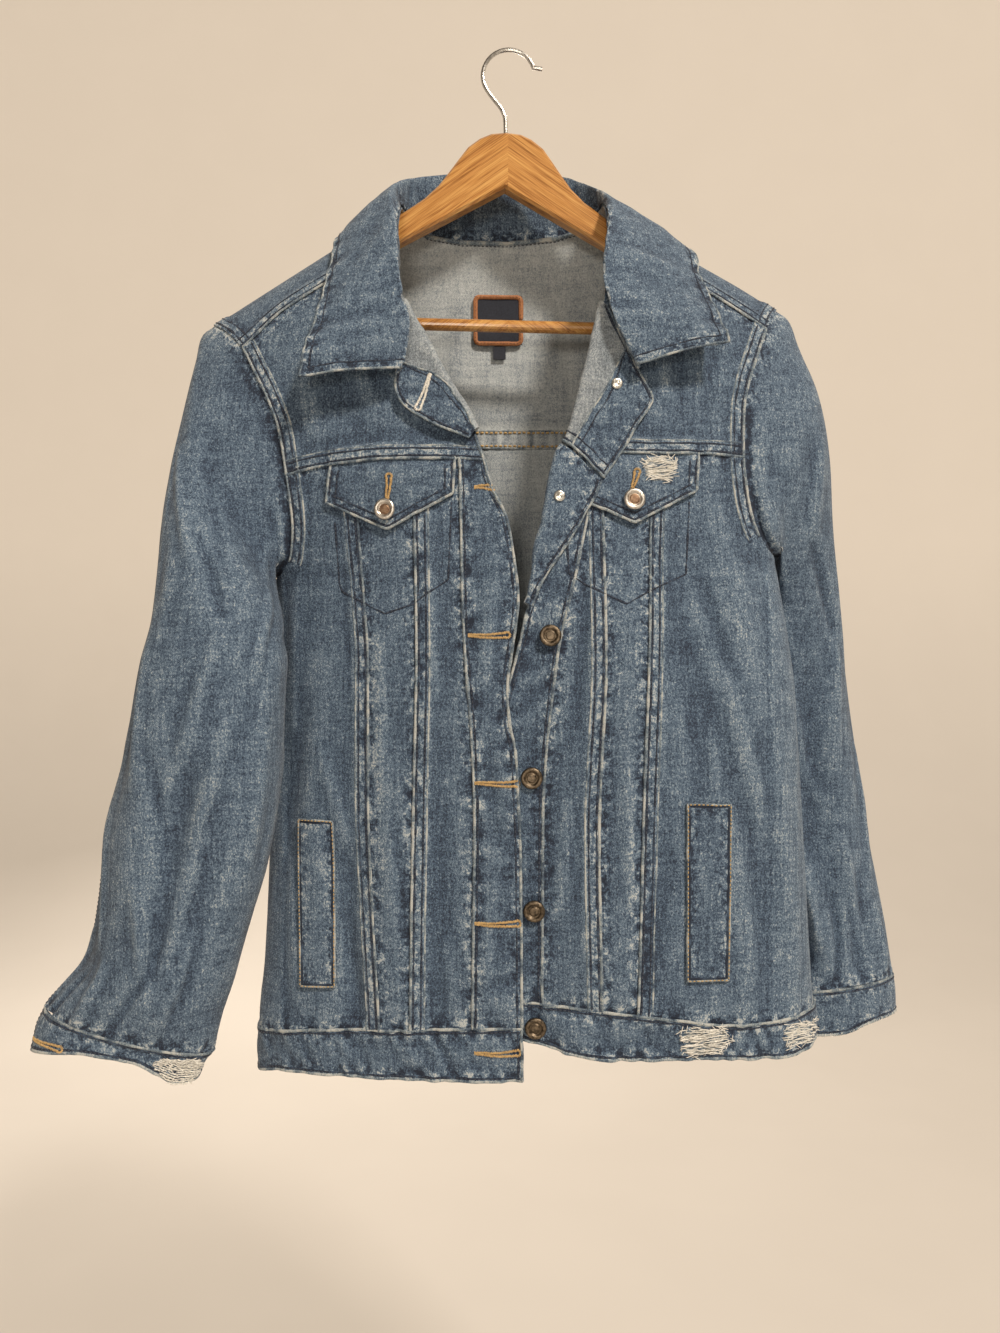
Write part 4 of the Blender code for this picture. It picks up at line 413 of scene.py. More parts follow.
def waves(a, b, size_a, size_b, shift=0):
    """Smooth irregular waves from -1 to 1, size_a and size_b long."""
    a, b = a / size_a + shift, b / size_b + shift * 2
    row, column = np.floor(a).astype(int), np.floor(b).astype(int)
    a, b = soft(a - row), soft(b - column)
    corner = [[lattice[(row + i) % LATTICE, (column + j) % LATTICE] for j in (0, 1)] for i in (0, 1)]
    return ((corner[0][0] * (1 - a) + corner[1][0] * a) * (1 - b)
            + (corner[0][1] * (1 - a) + corner[1][1] * a) * b)


RIPPLES = {
    # each form's waves: height, size along, size across, and a shift that makes each of them differ
    "front": ((0.8, 30, 55, 0), (0.16, 9, 14, 5)),
    "back": ((0.8, 34, 80, 9), (0.25, 10, 18, 15)),
    "sleeve": ((0.8, 22, 70, 51), (0.3, 9, 20, 57)),
    "cuff": ((0.5, 16, 30, 71), (0.35, 6, 12, 75)),
    "collar": ((0.35, 8, 9, 85),),
    "collar_fall": ((0.9, 26, 20, 81), (0.8, 10, 34, 99)),
    "collar_stand": ((0.8, 6, 60, 89),),
    "collar_rim": ((0.9, 6, 9, 93),),
    "facing": ((0.5, 12, 22, 93), (0.4, 6, 20, 97)),
    "flap": ((0.45, 13, 11, 101),),
    "placket": ((0.7, 16, 10, 61),),
    "hem_band": ((1.0, 6.5, 22, 57),),
    "yoke_band": ((0.5, 3.5, 30, 111),)}


def ripples(form, a, b):
    """The waves of one form, at places along and across it."""
    return sum(height * MM * waves(a, b, size_a * MM, size_b * MM, shift)
               for height, size_a, size_b, shift in RIPPLES[form])


def pucker(distance, along, shift=0):
    """Short ridges square to a seam, which fade away from it."""
    near = np.exp(-(distance / PUCKER_REACH) ** 2)
    return near * PUCKER * waves(along, distance, PUCKER_SIZE, 4 * PUCKER_SIZE, shift)


def front_relief(x, z):
    """Folds, creases and puckers of the front, outwards."""
    relief = fold_relief(FRONT_FOLDS, x, z) + CREASED * fold_relief(FRONT_CREASES, x, z)
    relief = relief + ripples("front", x, z)
    left = np.clip((FRONT_SPLIT - x) / FRONT_BLEND, 0, 1)
    below = 1 - np.clip((z - LAPEL_FOOT) / LAPEL_BLEND, 0, 1)
    for side, mine in (("l", left), ("r", 1 - left)):
        for shift, line in enumerate((OUTER_V, INNER_V, PLACKET_SEAM, FRONT_EDGE)):
            relief = relief + mine * below * pucker(x - line[side](z), z, 3 * shift)
        for shift, line in enumerate((YOKE_SEAM, HEM_SEAM, HEM_EDGE)):
            size = 1.0 if line is YOKE_SEAM else HEM_PUCKER
            relief = relief + mine * size * pucker(z - line[side](x), x, 20 + 3 * shift)
    return relief


def back_relief(x, z):
    """Folds, creases and puckers of the back, outwards."""
    relief = fold_relief(BACK_FOLDS, x, z) + CREASED * fold_relief(BACK_CREASES, x, z)
    relief = relief + ripples("back", x, z)
    for shift, line in enumerate((BACK_YOKE_SEAM, BACK_HEM_SEAM, BACK_HEM_EDGE)):
        relief = relief + pucker(z - line(x), x, 40 + 3 * shift)
    return relief


# ---------------------------------------------------------------- the body's surface

def shoulder_fall(s):
    """How far the cloth lies below the ridge, and its share of the full depth, s along it from the ridge."""
    turn = np.minimum(np.abs(s) / SHOULDER_ROUND, math.pi / 2)
    straight = np.maximum(np.abs(s) - SHOULDER_ROUND * math.pi / 2, 0)
    return SHOULDER_ROUND * (1 - np.cos(turn)) + straight, np.sin(turn)


def over_shoulder(fall):
    """The distance along the cloth from the ridge to a height this far below it."""
    fall = np.maximum(fall, 0)
    turn = np.arccos(np.clip(1 - fall / SHOULDER_ROUND, 0, 1))
    return SHOULDER_ROUND * turn + np.maximum(fall - SHOULDER_ROUND, 0)


def fold_relief(folds, x, z):
    """The sum of soft ridges and troughs at points across and up, each fading at its two ends."""
    relief = np.zeros(np.broadcast(x, z).shape)
    for x0, z0, x1, z1, width, depth in np.array(folds) * MM:
        share = (z - z0) / (z1 - z0)
        aside = (x - (x0 + (x1 - x0) * share)) / width
        fade = np.clip(np.sin(math.pi * np.clip(share, 0, 1)), 0, 1) ** 0.6
        relief = relief + depth * np.exp(-aside * aside) * fade
    return relief


def section(z):
    """The body at a height: middle, half width, half depths in front and behind, and its two sides' y."""
    left, right, *others = np.moveaxis(TORSO.at(z), -1, 0)
    return (left + right) / 2, (right - left) / 2, *others


def torso_surface(u, s):
    """Points of the body: u is the angle round it from its middle, s the way down, under 0 in front."""
    fall, full = shoulder_fall(s)
    z = RIDGE(np.zeros_like(u)) - fall
    for _ in range(PASSES):
        middle, half_width = section(z)[:2]
        x = middle + half_width * np.sin(u)
        z = RIDGE(x) - fall
    _, _, front, back, left_y, right_y = section(z)
    depth = np.where(s < 0, -front, back)
    bulge = np.sign(np.cos(u)) * np.abs(np.cos(u)) ** FULLNESS
    lean = (left_y * (1 - np.sin(u)) + right_y * (1 + np.sin(u))) / 2
    relief = np.where(s < 0, -front_relief(x, z), back_relief(x, z))
    away = np.clip(np.abs(np.cos(u)) * 3, 0, 1)
    y = (lean + depth * bulge + relief * away) * full
    return np.stack([x, y, z], axis=-1)


def torso(points, lift=0.0):
    """Points on the body's cloth, or lifted off it along its outward normal."""
    points = np.asarray(points, float)
    u, s = points[..., 0], points[..., 1]
    place = torso_surface(u, s)
    if np.isscalar(lift) and lift == 0:
        return place
    return place + torso_normal(points) * np.asarray(lift)[..., None]


def torso_normal(points):
    """The body's outward normals."""
    u, s = points[..., 0], points[..., 1]
    step_u, step_s = 0.01, 0.5 * MM
    round_it = torso_surface(u + step_u, s) - torso_surface(u - step_u, s)
    down_it = torso_surface(u, s + step_s) - torso_surface(u, s - step_s)
    normal = unit(np.cross(round_it, down_it))
    outward = np.where(s < 0, -1, 1) * np.ones_like(normal[..., 1])
    away = np.stack([np.sin(u), outward * np.maximum(np.cos(u), 0), np.zeros_like(u)], axis=-1)
    flip = np.sum(normal * away, axis=-1) < 0
    return np.where(flip[..., None], -normal, normal)


def cloth(x, z, side):
    """The body's own coordinates of a point given by its place across and its height."""
    middle, half_width = section(z)[:2]
    u = np.arcsin(np.clip((x - middle) / half_width, -1, 1))
    return np.stack([u, side * over_shoulder(RIDGE(x) - z)], axis=-1)


def under(points):
    """Lifts that sink the right front's edge below the left front that covers it."""
    place = torso_surface(points[..., 0], points[..., 1])
    return -UNDERLAP(place[..., 0]) * UNDERLAP_TOP(place[..., 2])


def side_edge(side):
    """The line of a side seam, as the place across at each height."""
    column = 0 if side == "l" else 1
    return lambda z: TORSO.at(z)[..., column]


def down(line, heights, side=FRONT):
    """Cloth coordinates at given heights on a line that runs down."""
    return cloth(line(heights), heights, side)


def across(line, x0, x1, count, side=FRONT, crowd=0.0):
    """Cloth coordinates of count + 1 points along a line that runs across, crowded towards its two ends."""
    ends = cloth(np.array([x0, x1]), line(np.array([x0, x1])), side)
    share = np.linspace(0, 1, count + 1)
    u = ends[0, 0] + (ends[1, 0] - ends[0, 0]) * (share - crowd * np.sin(2 * math.pi * share) / (2 * math.pi))
    x = np.linspace(x0, x1, count + 1)
    for _ in range(PASSES):
        middle, half_width = section(line(x))[:2]
        x = middle + half_width * np.sin(u)
    return cloth(x, line(x), side)


def meet(down_line, across_line, guess):
    """Where a line that runs down meets one that runs across: its place across and its height."""
    z = guess
    for _ in range(PASSES * 2):
        x = float(down_line(np.array(z)))
        z = float(across_line(np.array(x)))
    return x, z


def fill(top, bottom, outer, inner):
    """Fills a four sided piece between its edges, with a row for each point of outer and inner."""
    top, bottom, outer, inner = (np.asarray(edge, float) for edge in (top, bottom, outer, inner))
    c = np.linspace(0, 1, len(top))[None, :, None]
    r = np.linspace(0, 1, len(outer))[:, None, None]
    edges = (1 - r) * top[None] + r * bottom[None] + (1 - c) * outer[:, None] + c * inner[:, None]
    corners = ((1 - r) * (1 - c) * top[0] + (1 - r) * c * top[-1]
               + r * (1 - c) * bottom[0] + r * c * bottom[-1])
    return edges - corners


# ---------------------------------------------------------------- the armhole and the sleeve

def arm_part(side, part, detail=1):
    """Cloth coordinates of one part of an armhole, from its upper end down, in steps of equal length."""
    back = part.startswith("back")
    facing = BACK if back else FRONT
    line = (ARM_BACK if back else ARM_FRONT)[side]
    tip, pit = line.places[-1], line.places[0]
    if back:
        seam = meet(line, BACK_YOKE_SEAM, NEAR_BACK_YOKE)[1]
        start, end = (seam, pit) if part == "back_pit" else (tip, seam)
    else:
        shoulder = meet(line, SHOULDER_SEAM[side], tip - BELOW_TIP)[1]
        yoke = meet(line, YOKE_SEAM[side], NEAR_PIT)[1]
        start, end = {"tip": (tip, shoulder), "front_yoke": (shoulder, yoke), "front_pit": (yoke, pit)}[part]
    slow_ends = 1 if part.endswith("pit") else 2
    share = np.sin(np.linspace(0, math.pi / 2, 60 * detail)) ** slow_ends
    fine = down(line, start + (end - start) * share, facing)
    places = run(torso(fine))
    crowd = RIDGE_CROWD if part.endswith("tip") else 1
    at = places[-1] * np.linspace(0, 1, ARM_STEPS[part] * detail + 1) ** crowd
    return np.stack([np.interp(at, places, fine[:, 0]), np.interp(at, places, fine[:, 1])], axis=-1)


def arm_loop(side, detail=1):
    """The whole armhole, from the shoulder's tip down the front and up the back, each point once."""
    tip, yoke, pit, back_pit, back_tip = (arm_part(side, part, detail) for part in ARM_STEPS)
    return np.concatenate([tip[:-1], yoke[:-1], pit, back_pit[::-1][1:-1], back_tip[::-1][:-1]])


def ring(row, angles, side):
    """One section of a sleeve or cuff. Angle 0 is its outer end, 90 degrees its front."""
    x, y, z, half_width, half_depth = np.array(row[:5]) * MM
    tilt, turn = np.radians(row[5:])
    out = np.array([SIDES[side] * math.cos(tilt), 0, math.sin(tilt)])
    front = np.array([0, -1, 0])
    return (np.array([x, y, z]) + half_width * np.cos(angles + turn)[:, None] * out
            + half_depth * np.sin(angles + turn)[:, None] * front)


def sleeve_angles():
    """The angle of each column of a sleeve."""
    front = ARM_STEPS["tip"] + ARM_STEPS["front_yoke"] + ARM_STEPS["front_pit"]
    back = ARM_STEPS["back_pit"] + ARM_STEPS["back_tip"]
    before = np.linspace(0, math.pi, front + 1)
    after = np.linspace(math.pi, 2 * math.pi, back + 1)[1:-1]
    return np.concatenate([before, after])


def sleeve_relief(folds, angles, z):
    """The sum of a sleeve's ridges and troughs at angles round it and heights."""
    relief = np.zeros(np.broadcast(angles, z).shape)
    for angle0, z0, angle1, z1, width, depth in folds:
        share = (z - z0 * MM) / ((z1 - z0) * MM)
        middle = np.radians(angle0 + (angle1 - angle0) * share)
        apart = (angles - middle + math.pi) % (2 * math.pi) - math.pi
        aside = apart * SLEEVE_RADIUS / width
        fade = np.sin(math.pi * np.clip(share, 0, 1)) ** 0.6
        relief = relief + depth * MM * np.exp(-aside * aside) * fade
    return relief


def level(x, y, z):
    """1 on the body's section at a height, less inside it."""
    middle, half_width, front, back, left_y, right_y = section(z)
    across_it = (x - middle) / half_width
    lean = (left_y * (1 - across_it) + right_y * (1 + across_it)) / 2
    depth = np.where(y < lean, front, back)
    return np.hypot(across_it, (np.abs(y - lean) / depth) ** (1 / FULLNESS))


def keep_clear(points, distance, pit):
    """Moves points that are inside the body, or too near it, out of it, up to a little above the pit."""
    points = points.copy()
    step = 0.5 * MM
    for _ in range(PASSES):
        x, y, z = points[..., 0], points[..., 1], points[..., 2]
        here = level(x, y, z)
        slope_x = (level(x + step, y, z) - level(x - step, y, z)) / (2 * step)
        slope_y = (level(x, y + step, z) - level(x, y - step, z)) / (2 * step)
        slope = np.hypot(slope_x, slope_y) + 1e-6
        share = np.clip((pit + CLEAR_TO - z) / CLEAR_FADE, 0, 1)
        move = np.clip(distance * share - (here - 1) / slope, 0, 8 * MM) * (share > 0)
        points[..., 0] += move * slope_x / slope
        points[..., 1] += move * slope_y / slope
    return points


def sleeve_grid(side):
    """Rows of points from the armhole to the cuff."""
    loop = arm_loop(side)
    angles = sleeve_angles()
    first = torso(loop)
    normal = torso_normal(loop)
    along = np.roll(first, -1, axis=0) - np.roll(first, 1, axis=0)
    onward = unit(np.cross(normal, along))
    towards = first.mean(axis=0) - first
    onward *= np.where(np.sum(onward * towards, axis=-1) < 0, -1, 1)[:, None]
    second = first + onward * SLEEVE_START
    low = ((1 - np.cos(angles)) / 2)[:, None] ** 2
    third = second + onward * (PIT_FOLD * (1 - low)) + (normal * 0.8 + onward * 0.2) * (PIT_FOLD * low)
    rings = np.array([first, second, third] + [ring(row, angles, side) for row in SLEEVE[side]])
    places = mean_run(rings)
    at = np.concatenate([places[:2], np.linspace(places[2], places[-1], SLEEVE_RINGS)])
    grid = smooth_grid(places, rings, at)
    turns = np.radians(np.interp(at, places, [0, 0, 0] + [row[-1] for row in SLEEVE[side]]))
    outward = unit(grid - grid.mean(axis=1)[:, None])
    relief = sleeve_relief(SLEEVE_FOLDS[side], angles[None, :] + turns[:, None], grid[..., 2])
    fade = np.clip(at / (60 * MM), 0, 1) * np.clip((places[-1] - at) / (12 * MM), 0, 1)
    grid = grid + outward * (relief * fade[:, None])[..., None]
    grid[3:] = keep_clear(grid[3:], SLEEVE_CLEAR, ARM_FRONT[side].places[0])
    for _ in range(PIT_PASSES):
        around = (np.roll(grid, 1, axis=1) + np.roll(grid, -1, axis=1))[3:PIT_ROWS]
        around = (around + grid[2:PIT_ROWS - 1] + grid[4:PIT_ROWS + 1]) / 4
        grid[3:PIT_ROWS] += (around - grid[3:PIT_ROWS]) * low ** 2 * 0.7
        grid[3:PIT_ROWS] = keep_clear(grid[3:PIT_ROWS], SLEEVE_CLEAR, ARM_FRONT[side].places[0])
    return grid


def smooth_grid(places, layers, at):
    """Smooth curves through matching points of several layers."""
    flat = layers.reshape(len(layers), -1)
    return smooth(places, flat, at).reshape((len(at),) + layers.shape[1:])


CUFF_COLUMNS = 156
CUFF_ROWS = 15
CUFF_ROUND = 360 * MM               # cloth round a cuff, and its width, for its ripples
CUFF_WIDE = 35 * MM
CUFF_RISE = 0.5 * MM                # a cuff is this much thicker outwards than its form
CUFF_OPEN = {"l": (-4, 338), "r": (330, 676)}      # degrees at the buttonhole end and at the button end


def cuff_grid(side):
    """Rows of a cuff from its seam down, open between its two ends."""
    angles = np.radians(np.linspace(*CUFF_OPEN[side], CUFF_COLUMNS + 1))
    rings = np.array([ring(row, angles, side) for row in CUFF[side]])
    places = np.arange(len(rings))
    grid = smooth_grid(places, rings, np.linspace(0, places[-1], CUFF_ROWS + 1))
    share = np.linspace(0, 1, CUFF_ROWS + 1)[:, None]
    grid[..., 2] += CUFF_LIFT[side](np.degrees(angles)) * share
    return grid


def resample(points, count, crowd=1):
    """The same line with count + 1 points, evenly spaced or crowded towards its start."""
    steps = np.linalg.norm(np.diff(points, axis=0) * np.array([U_LENGTH, 1]), axis=1)
    places = np.concatenate([[0], np.cumsum(steps)])
    return smooth(places, points, places[-1] * np.linspace(0, 1, count + 1) ** crowd)


# ---------------------------------------------------------------- materials

class Finish:
    """A material's nodes, with short calls that add one and link it."""

    def __init__(self, name, **shader):
        self.material = bpy.data.materials.new(name)
        self.material.use_nodes = True
        self.tree = self.material.node_tree
        self.shader = self.tree.nodes["Principled BSDF"]
        for socket, value in shader.items():
            self.set(self.shader, socket.replace("_", " "), value)
        self.object = self.tree.nodes.new("ShaderNodeTexCoord").outputs["Object"]

    def set(self, node, socket, value):
        """Links a socket, or gives it its value."""
        target = node.inputs[socket]
        if isinstance(value, bpy.types.NodeSocket):
            self.tree.links.new(value, target)
        elif hasattr(value, "__len__") and len(value) == 3 and target.type == "RGBA":
            target.default_value = (*value, 1)
        else:
            target.default_value = value

    def add(self, kind, output=0, settings=(), **inputs):
        """Adds a node and returns one of its outputs."""
        node = self.tree.nodes.new("ShaderNode" + kind)
        for title, value in dict(settings).items():
            setattr(node, title, value)
        for socket, value in inputs.items():
            name = socket.replace("_", " ")
            self.set(node, int(name[1:]) if name[0] == "n" and name[1:].isdigit() else name, value)
        return node.outputs[output]

    def math(self, operation, a, b=0.0):
        """One sum."""
        return self.add("Math", 0, {"operation": operation}, n0=a, n1=b)

    def attribute(self, title):
        """A number kept at each point of the mesh."""
        return self.add("Attribute", "Fac", {"attribute_name": title})

    def noise(self, scale, detail=3.0, rough=0.6, stretch=(1, 1, 1), distortion=0.0):
        """Noise from 0 to 1, with so many bumps to the metre."""
        where = self.add("Mapping", 0, (), Vector=self.object, Scale=stretch)
        return self.add("TexNoise", "Fac", (), Vector=where, Scale=scale, Detail=detail, Roughness=rough,
                        Distortion=distortion)

    def centred(self, value, amount):
        """A number from 0 to 1 turned into one round 0."""
        return self.math("MULTIPLY", self.math("SUBTRACT", value, 0.5), amount)

    def total(self, *values):
        """The sum of several numbers."""
        result = values[0]
        for value in values[1:]:
            result = self.math("ADD", result, value)
        return result

    def ramp(self, value, *stops):
        """Colours along a number."""
        output = self.add("ValToRGB", 0, (), Fac=value)
        ramp = output.node.color_ramp
        for place_on, colour in stops[2:]:
            ramp.elements.new(place_on)
        elements = sorted(ramp.elements, key=lambda element: element.position)
        for element, (place_on, colour) in zip(elements, sorted(stops)):
            element.position = place_on
            element.color = (*colour, 1)
        return output

    def colour(self, value, *stops):
        """Colours the surface along a number."""
        self.set(self.shader, "Base Color", self.ramp(value, *stops))

    def bump(self, height, strength, distance):
        """Fine relief."""
        self.set(self.shader, "Normal", self.add("Bump", 0, (), Strength=strength, Distance=distance,
                                                 Height=height))


# Colours of each denim and of the wood, from the darkest value to the lightest.
INDIGO = ((0.0, (0.008, 0.016, 0.036)), (0.25, (0.027, 0.049, 0.090)), (0.5, (0.077, 0.125, 0.195)),
          (0.75, (0.175, 0.245, 0.325)), (1.0, (0.46, 0.50, 0.52)))
EDGE = ((0.0, (0.02, 0.035, 0.06)), (0.35, (0.07, 0.105, 0.155)), (0.6, (0.17, 0.22, 0.26)),
        (0.8, (0.29, 0.335, 0.365)), (1.0, (0.46, 0.48, 0.47)))
REVERSE = ((0.0, (0.07, 0.09, 0.11)), (0.4, (0.19, 0.226, 0.264)), (0.6, (0.308, 0.349, 0.387)),
           (1.0, (0.535, 0.58, 0.595)))
OAK = ((0.38, (0.27, 0.105, 0.02)), (0.5, (0.52, 0.24, 0.06)), (0.64, (0.70, 0.40, 0.125)))
WORN = ((0.0, (0.05, 0.08, 0.12)), (0.3, (0.20, 0.26, 0.32)), (0.5, (0.5, 0.51, 0.49)),
        (1.0, (0.72, 0.70, 0.64)))


def denim(name, colours, base, mottle, grain, slub=0.2):
    """Washed denim: grain of the weave, upright streaks, broad fading, mottled wear and painted shade beside
    the seams, and painted light on the relief's ridges with painted shade in its hollows.
    """
    made = Finish(name, Roughness=0.85, Sheen_Weight=0.1, Sheen_Roughness=0.5)
    fine = made.noise(900, 2, 0.8, (1, 1, 0.8))
    streak = made.noise(420, 2, 0.6, (1, 1, 0.09))
    weft = made.noise(330, 2, 0.6, (0.12, 0.12, 1))
    broad = made.noise(11, 3, 0.5, (1, 1, 0.5))
    blotch = made.noise(60, 3, 0.6)
    wear = made.noise(215, 3, 0.65, distortion=0.6)
    sewn = made.attribute("sewn")
    # Painted light on ridges and painted shade in hollows, from the tone attribute, stronger beside the seams,
    # where the ridges are also really worn paler.
    ridge_wear_and_shade_weight = made.math("ADD", made.math("MULTIPLY", sewn, 0.32), 0.12)
    ridge_wear_and_painted_shade = made.math("MULTIPLY", made.attribute("tone"), ridge_wear_and_shade_weight)
    # Beside the seams the denim is darkened by sewn: painted shade.
    value = made.total(made.math("SUBTRACT", base, made.math("MULTIPLY", sewn, 0.08)),
                       made.centred(fine, grain), made.centred(streak, grain * 0.3),
                       made.centred(weft, grain * slub), made.centred(broad, 0.2), made.centred(blotch, 0.07),
                       made.math("MULTIPLY", made.centred(wear, mottle), made.math("ADD", sewn, 0.05)), ridge_wear_and_painted_shade)
    made.colour(value, *colours)
    twill = made.add("TexWave", "Fac", {"wave_type": "BANDS", "bands_direction": "DIAGONAL"},
                     Vector=made.object, Scale=420.0, Distortion=1.5, Detail=2.0, Detail_Scale=2.0)
    made.bump(made.total(fine, made.math("MULTIPLY", twill, 0.35)), 0.6, 0.0006)
    return made.material


def thread(name, colour, other):
    """Sewing thread."""
    made = Finish(name, Roughness=0.6, Sheen_Weight=0.2)
    made.colour(made.noise(500, 2), (0.3, colour), (0.7, other))
    made.bump(made.noise(2400, 2), 0.4, 0.0002)
    return made.material


def metal(name, bright, dull, roughness):
    """Worn metal: bright where it's rubbed, duller and rougher elsewhere."""
    made = Finish(name, Metallic=1.0)
    patina = made.noise(420, 4, 0.65)
    made.colour(patina, (0.35, dull), (0.65, bright))
    made.set(made.shader, "Roughness", made.math("ADD", made.math("MULTIPLY", patina, 0.3), roughness))
    made.bump(made.noise(1500, 2), 0.25, 0.0002)
    return made.material


def wood():
    """Varnished oak, with its grain running down each arm."""
    made = Finish("wood", Coat_Weight=0.45, Coat_Roughness=0.12)
    parts = made.add("SeparateXYZ", 0, (), Vector=made.object).node.outputs
    out = made.math("ABSOLUTE", parts["X"])
    across_grain = made.total(made.math("MULTIPLY", parts["Z"], 0.82), made.math("MULTIPLY", out, 0.57))
    along = made.math("SUBTRACT", made.math("MULTIPLY", out, 0.82), made.math("MULTIPLY", parts["Z"], 0.57))
    side_shift = made.math("MULTIPLY", made.math("GREATER_THAN", parts["X"], 0.0), 0.37)
    where = made.add("CombineXYZ", 0, (), X=along, Y=parts["Y"], Z=made.math("ADD", across_grain, side_shift))
    broad = made.add("Mapping", 0, (), Vector=where, Scale=(7, 90, 220))
    figure = made.add("TexNoise", "Fac", (), Vector=broad, Scale=1.0, Detail=2.0, Roughness=0.5,
                      Distortion=0.4)
    fine = made.add("Mapping", 0, (), Vector=where, Scale=(30, 600, 1300))
    pores = made.add("TexNoise", "Fac", (), Vector=fine, Scale=1.0, Detail=3.0, Roughness=0.6)
    tone = made.total(made.math("MULTIPLY", figure, 0.4), made.math("MULTIPLY", pores, 0.6))
    made.colour(tone, *OAK)
    made.set(made.shader, "Roughness", made.math("ADD", made.math("MULTIPLY", pores, 0.2), 0.22))
    made.bump(pores, 0.1, 0.0004)
    return made.material


def plain(name, colour, other, roughness, scale, **shader):
    """A matt surface with slight variation."""
    made = Finish(name, Roughness=roughness, **shader)
    made.colour(made.noise(scale, 2), (0.35, colour), (0.65, other))
    return made.material


def backdrop():
    """The floor and the wall behind: pale, glowing with painted light that is slightly brighter towards its
    top.
    """
    made = Finish("floor", Roughness=0.9, Emission_Strength=0.66)
    height = made.add("SeparateXYZ", 0, (), Vector=made.object).node.outputs["Z"]
    rise = made.total(made.math("MULTIPLY", height, 0.3), 0.97, made.centred(made.noise(3, 2), 0.02))
    made.colour(made.noise(3, 2), (0.35, (0.30, 0.29, 0.28)), (0.65, (0.31, 0.30, 0.29)))
    # Painted light: the backdrop's glow, dimmer at its foot and brighter towards its top.
    painted_glow = made.ramp(rise, (0.0, (0.22, 0.18, 0.135)), (1.0, (0.72, 0.585, 0.44)))
    made.set(made.shader, "Emission Color", painted_glow)
    return made.material


DENIM_FACE = denim("denim", INDIGO, 0.45, 3.2, 1.9)
DENIM_EDGE = denim("denim_edge", EDGE, 0.8, 1.0, 1.5)
# Nearly black denim for thin strips beside stitch rows and round the welts: painted shade of their grooves.
DENIM_GROOVE_PAINTED_SHADE = denim("denim_groove", INDIGO, 0.13, 0.4, 0.9)
DENIM_REVERSE = denim("denim_reverse", REVERSE, 0.66, 0.2, 1.4, 0.3)
# The bared cloth of the rips: its own pale weft and blue, darkened as painted shade in the gaps between the
# loose threads.
DENIM_WORN_PAINTED_SHADE = denim("denim_worn_painted_shade", WORN, 0.3, 1.2, 1.6, 1.6)
# A darker copy of the reverse for the turned edges, which the key lamp lights directly: painted shade.
DENIM_REVERSE_PAINTED_SHADE = denim("denim_reverse_painted_shade", REVERSE, 0.4, 0.2, 1.6, 0.3)
NAVY_THREAD = thread("navy_thread", (0.012, 0.02, 0.042), (0.03, 0.045, 0.08))
GOLD_THREAD = thread("gold_thread", (0.40, 0.25, 0.09), (0.68, 0.47, 0.21))
TAN_THREAD = thread("copper_thread", (0.30, 0.11, 0.035), (0.46, 0.19, 0.07))
DARK_TAN = thread("dark_copper_thread", (0.16, 0.05, 0.018), (0.25, 0.09, 0.03))
CREAM_THREAD = thread("cream_thread", (0.7, 0.68, 0.62), (0.9, 0.89, 0.85))
NAVY = plain("navy_label", (0.008, 0.011, 0.022), (0.015, 0.02, 0.036), 0.75, 700)
BRONZE = metal("bronze", (0.24, 0.19, 0.135), (0.055, 0.045, 0.035), 0.28)
SILVER = metal("silver", (0.80, 0.78, 0.73), (0.5, 0.45, 0.4), 0.2)
COPPER = metal("copper", (0.36, 0.25, 0.17), (0.2, 0.12, 0.08), 0.3)
NICKEL = metal("nickel", (0.85, 0.84, 0.80), (0.55, 0.54, 0.5), 0.15)
STEEL = metal("steel", (0.75, 0.74, 0.72), (0.5, 0.49, 0.47), 0.12)
WOOD = wood()
FLOOR = backdrop()


# ---------------------------------------------------------------- grids, shells and lines on them

def grid_normals(grid, outward):
    """Normals of a grid of points, on the side that mostly faces the outward vectors."""
    faces = unit(np.cross(grid[1:, 1:] - grid[:-1, :-1], grid[1:, :-1] - grid[:-1, 1:]), TINY)
    total = np.zeros_like(grid)
    for rows in (slice(0, -1), slice(1, None)):
        for columns in (slice(0, -1), slice(1, None)):
            total[rows, columns] += faces
    total = unit(total, TINY)
    return total * np.sign(np.sum(total * outward))


def grid_faces(numbers):
    """The four sided faces of a grid of point numbers."""
    corners = [numbers[:-1, :-1], numbers[:-1, 1:], numbers[1:, 1:], numbers[1:, :-1]]
    return np.stack(corners, axis=-1).reshape(-1, 4)


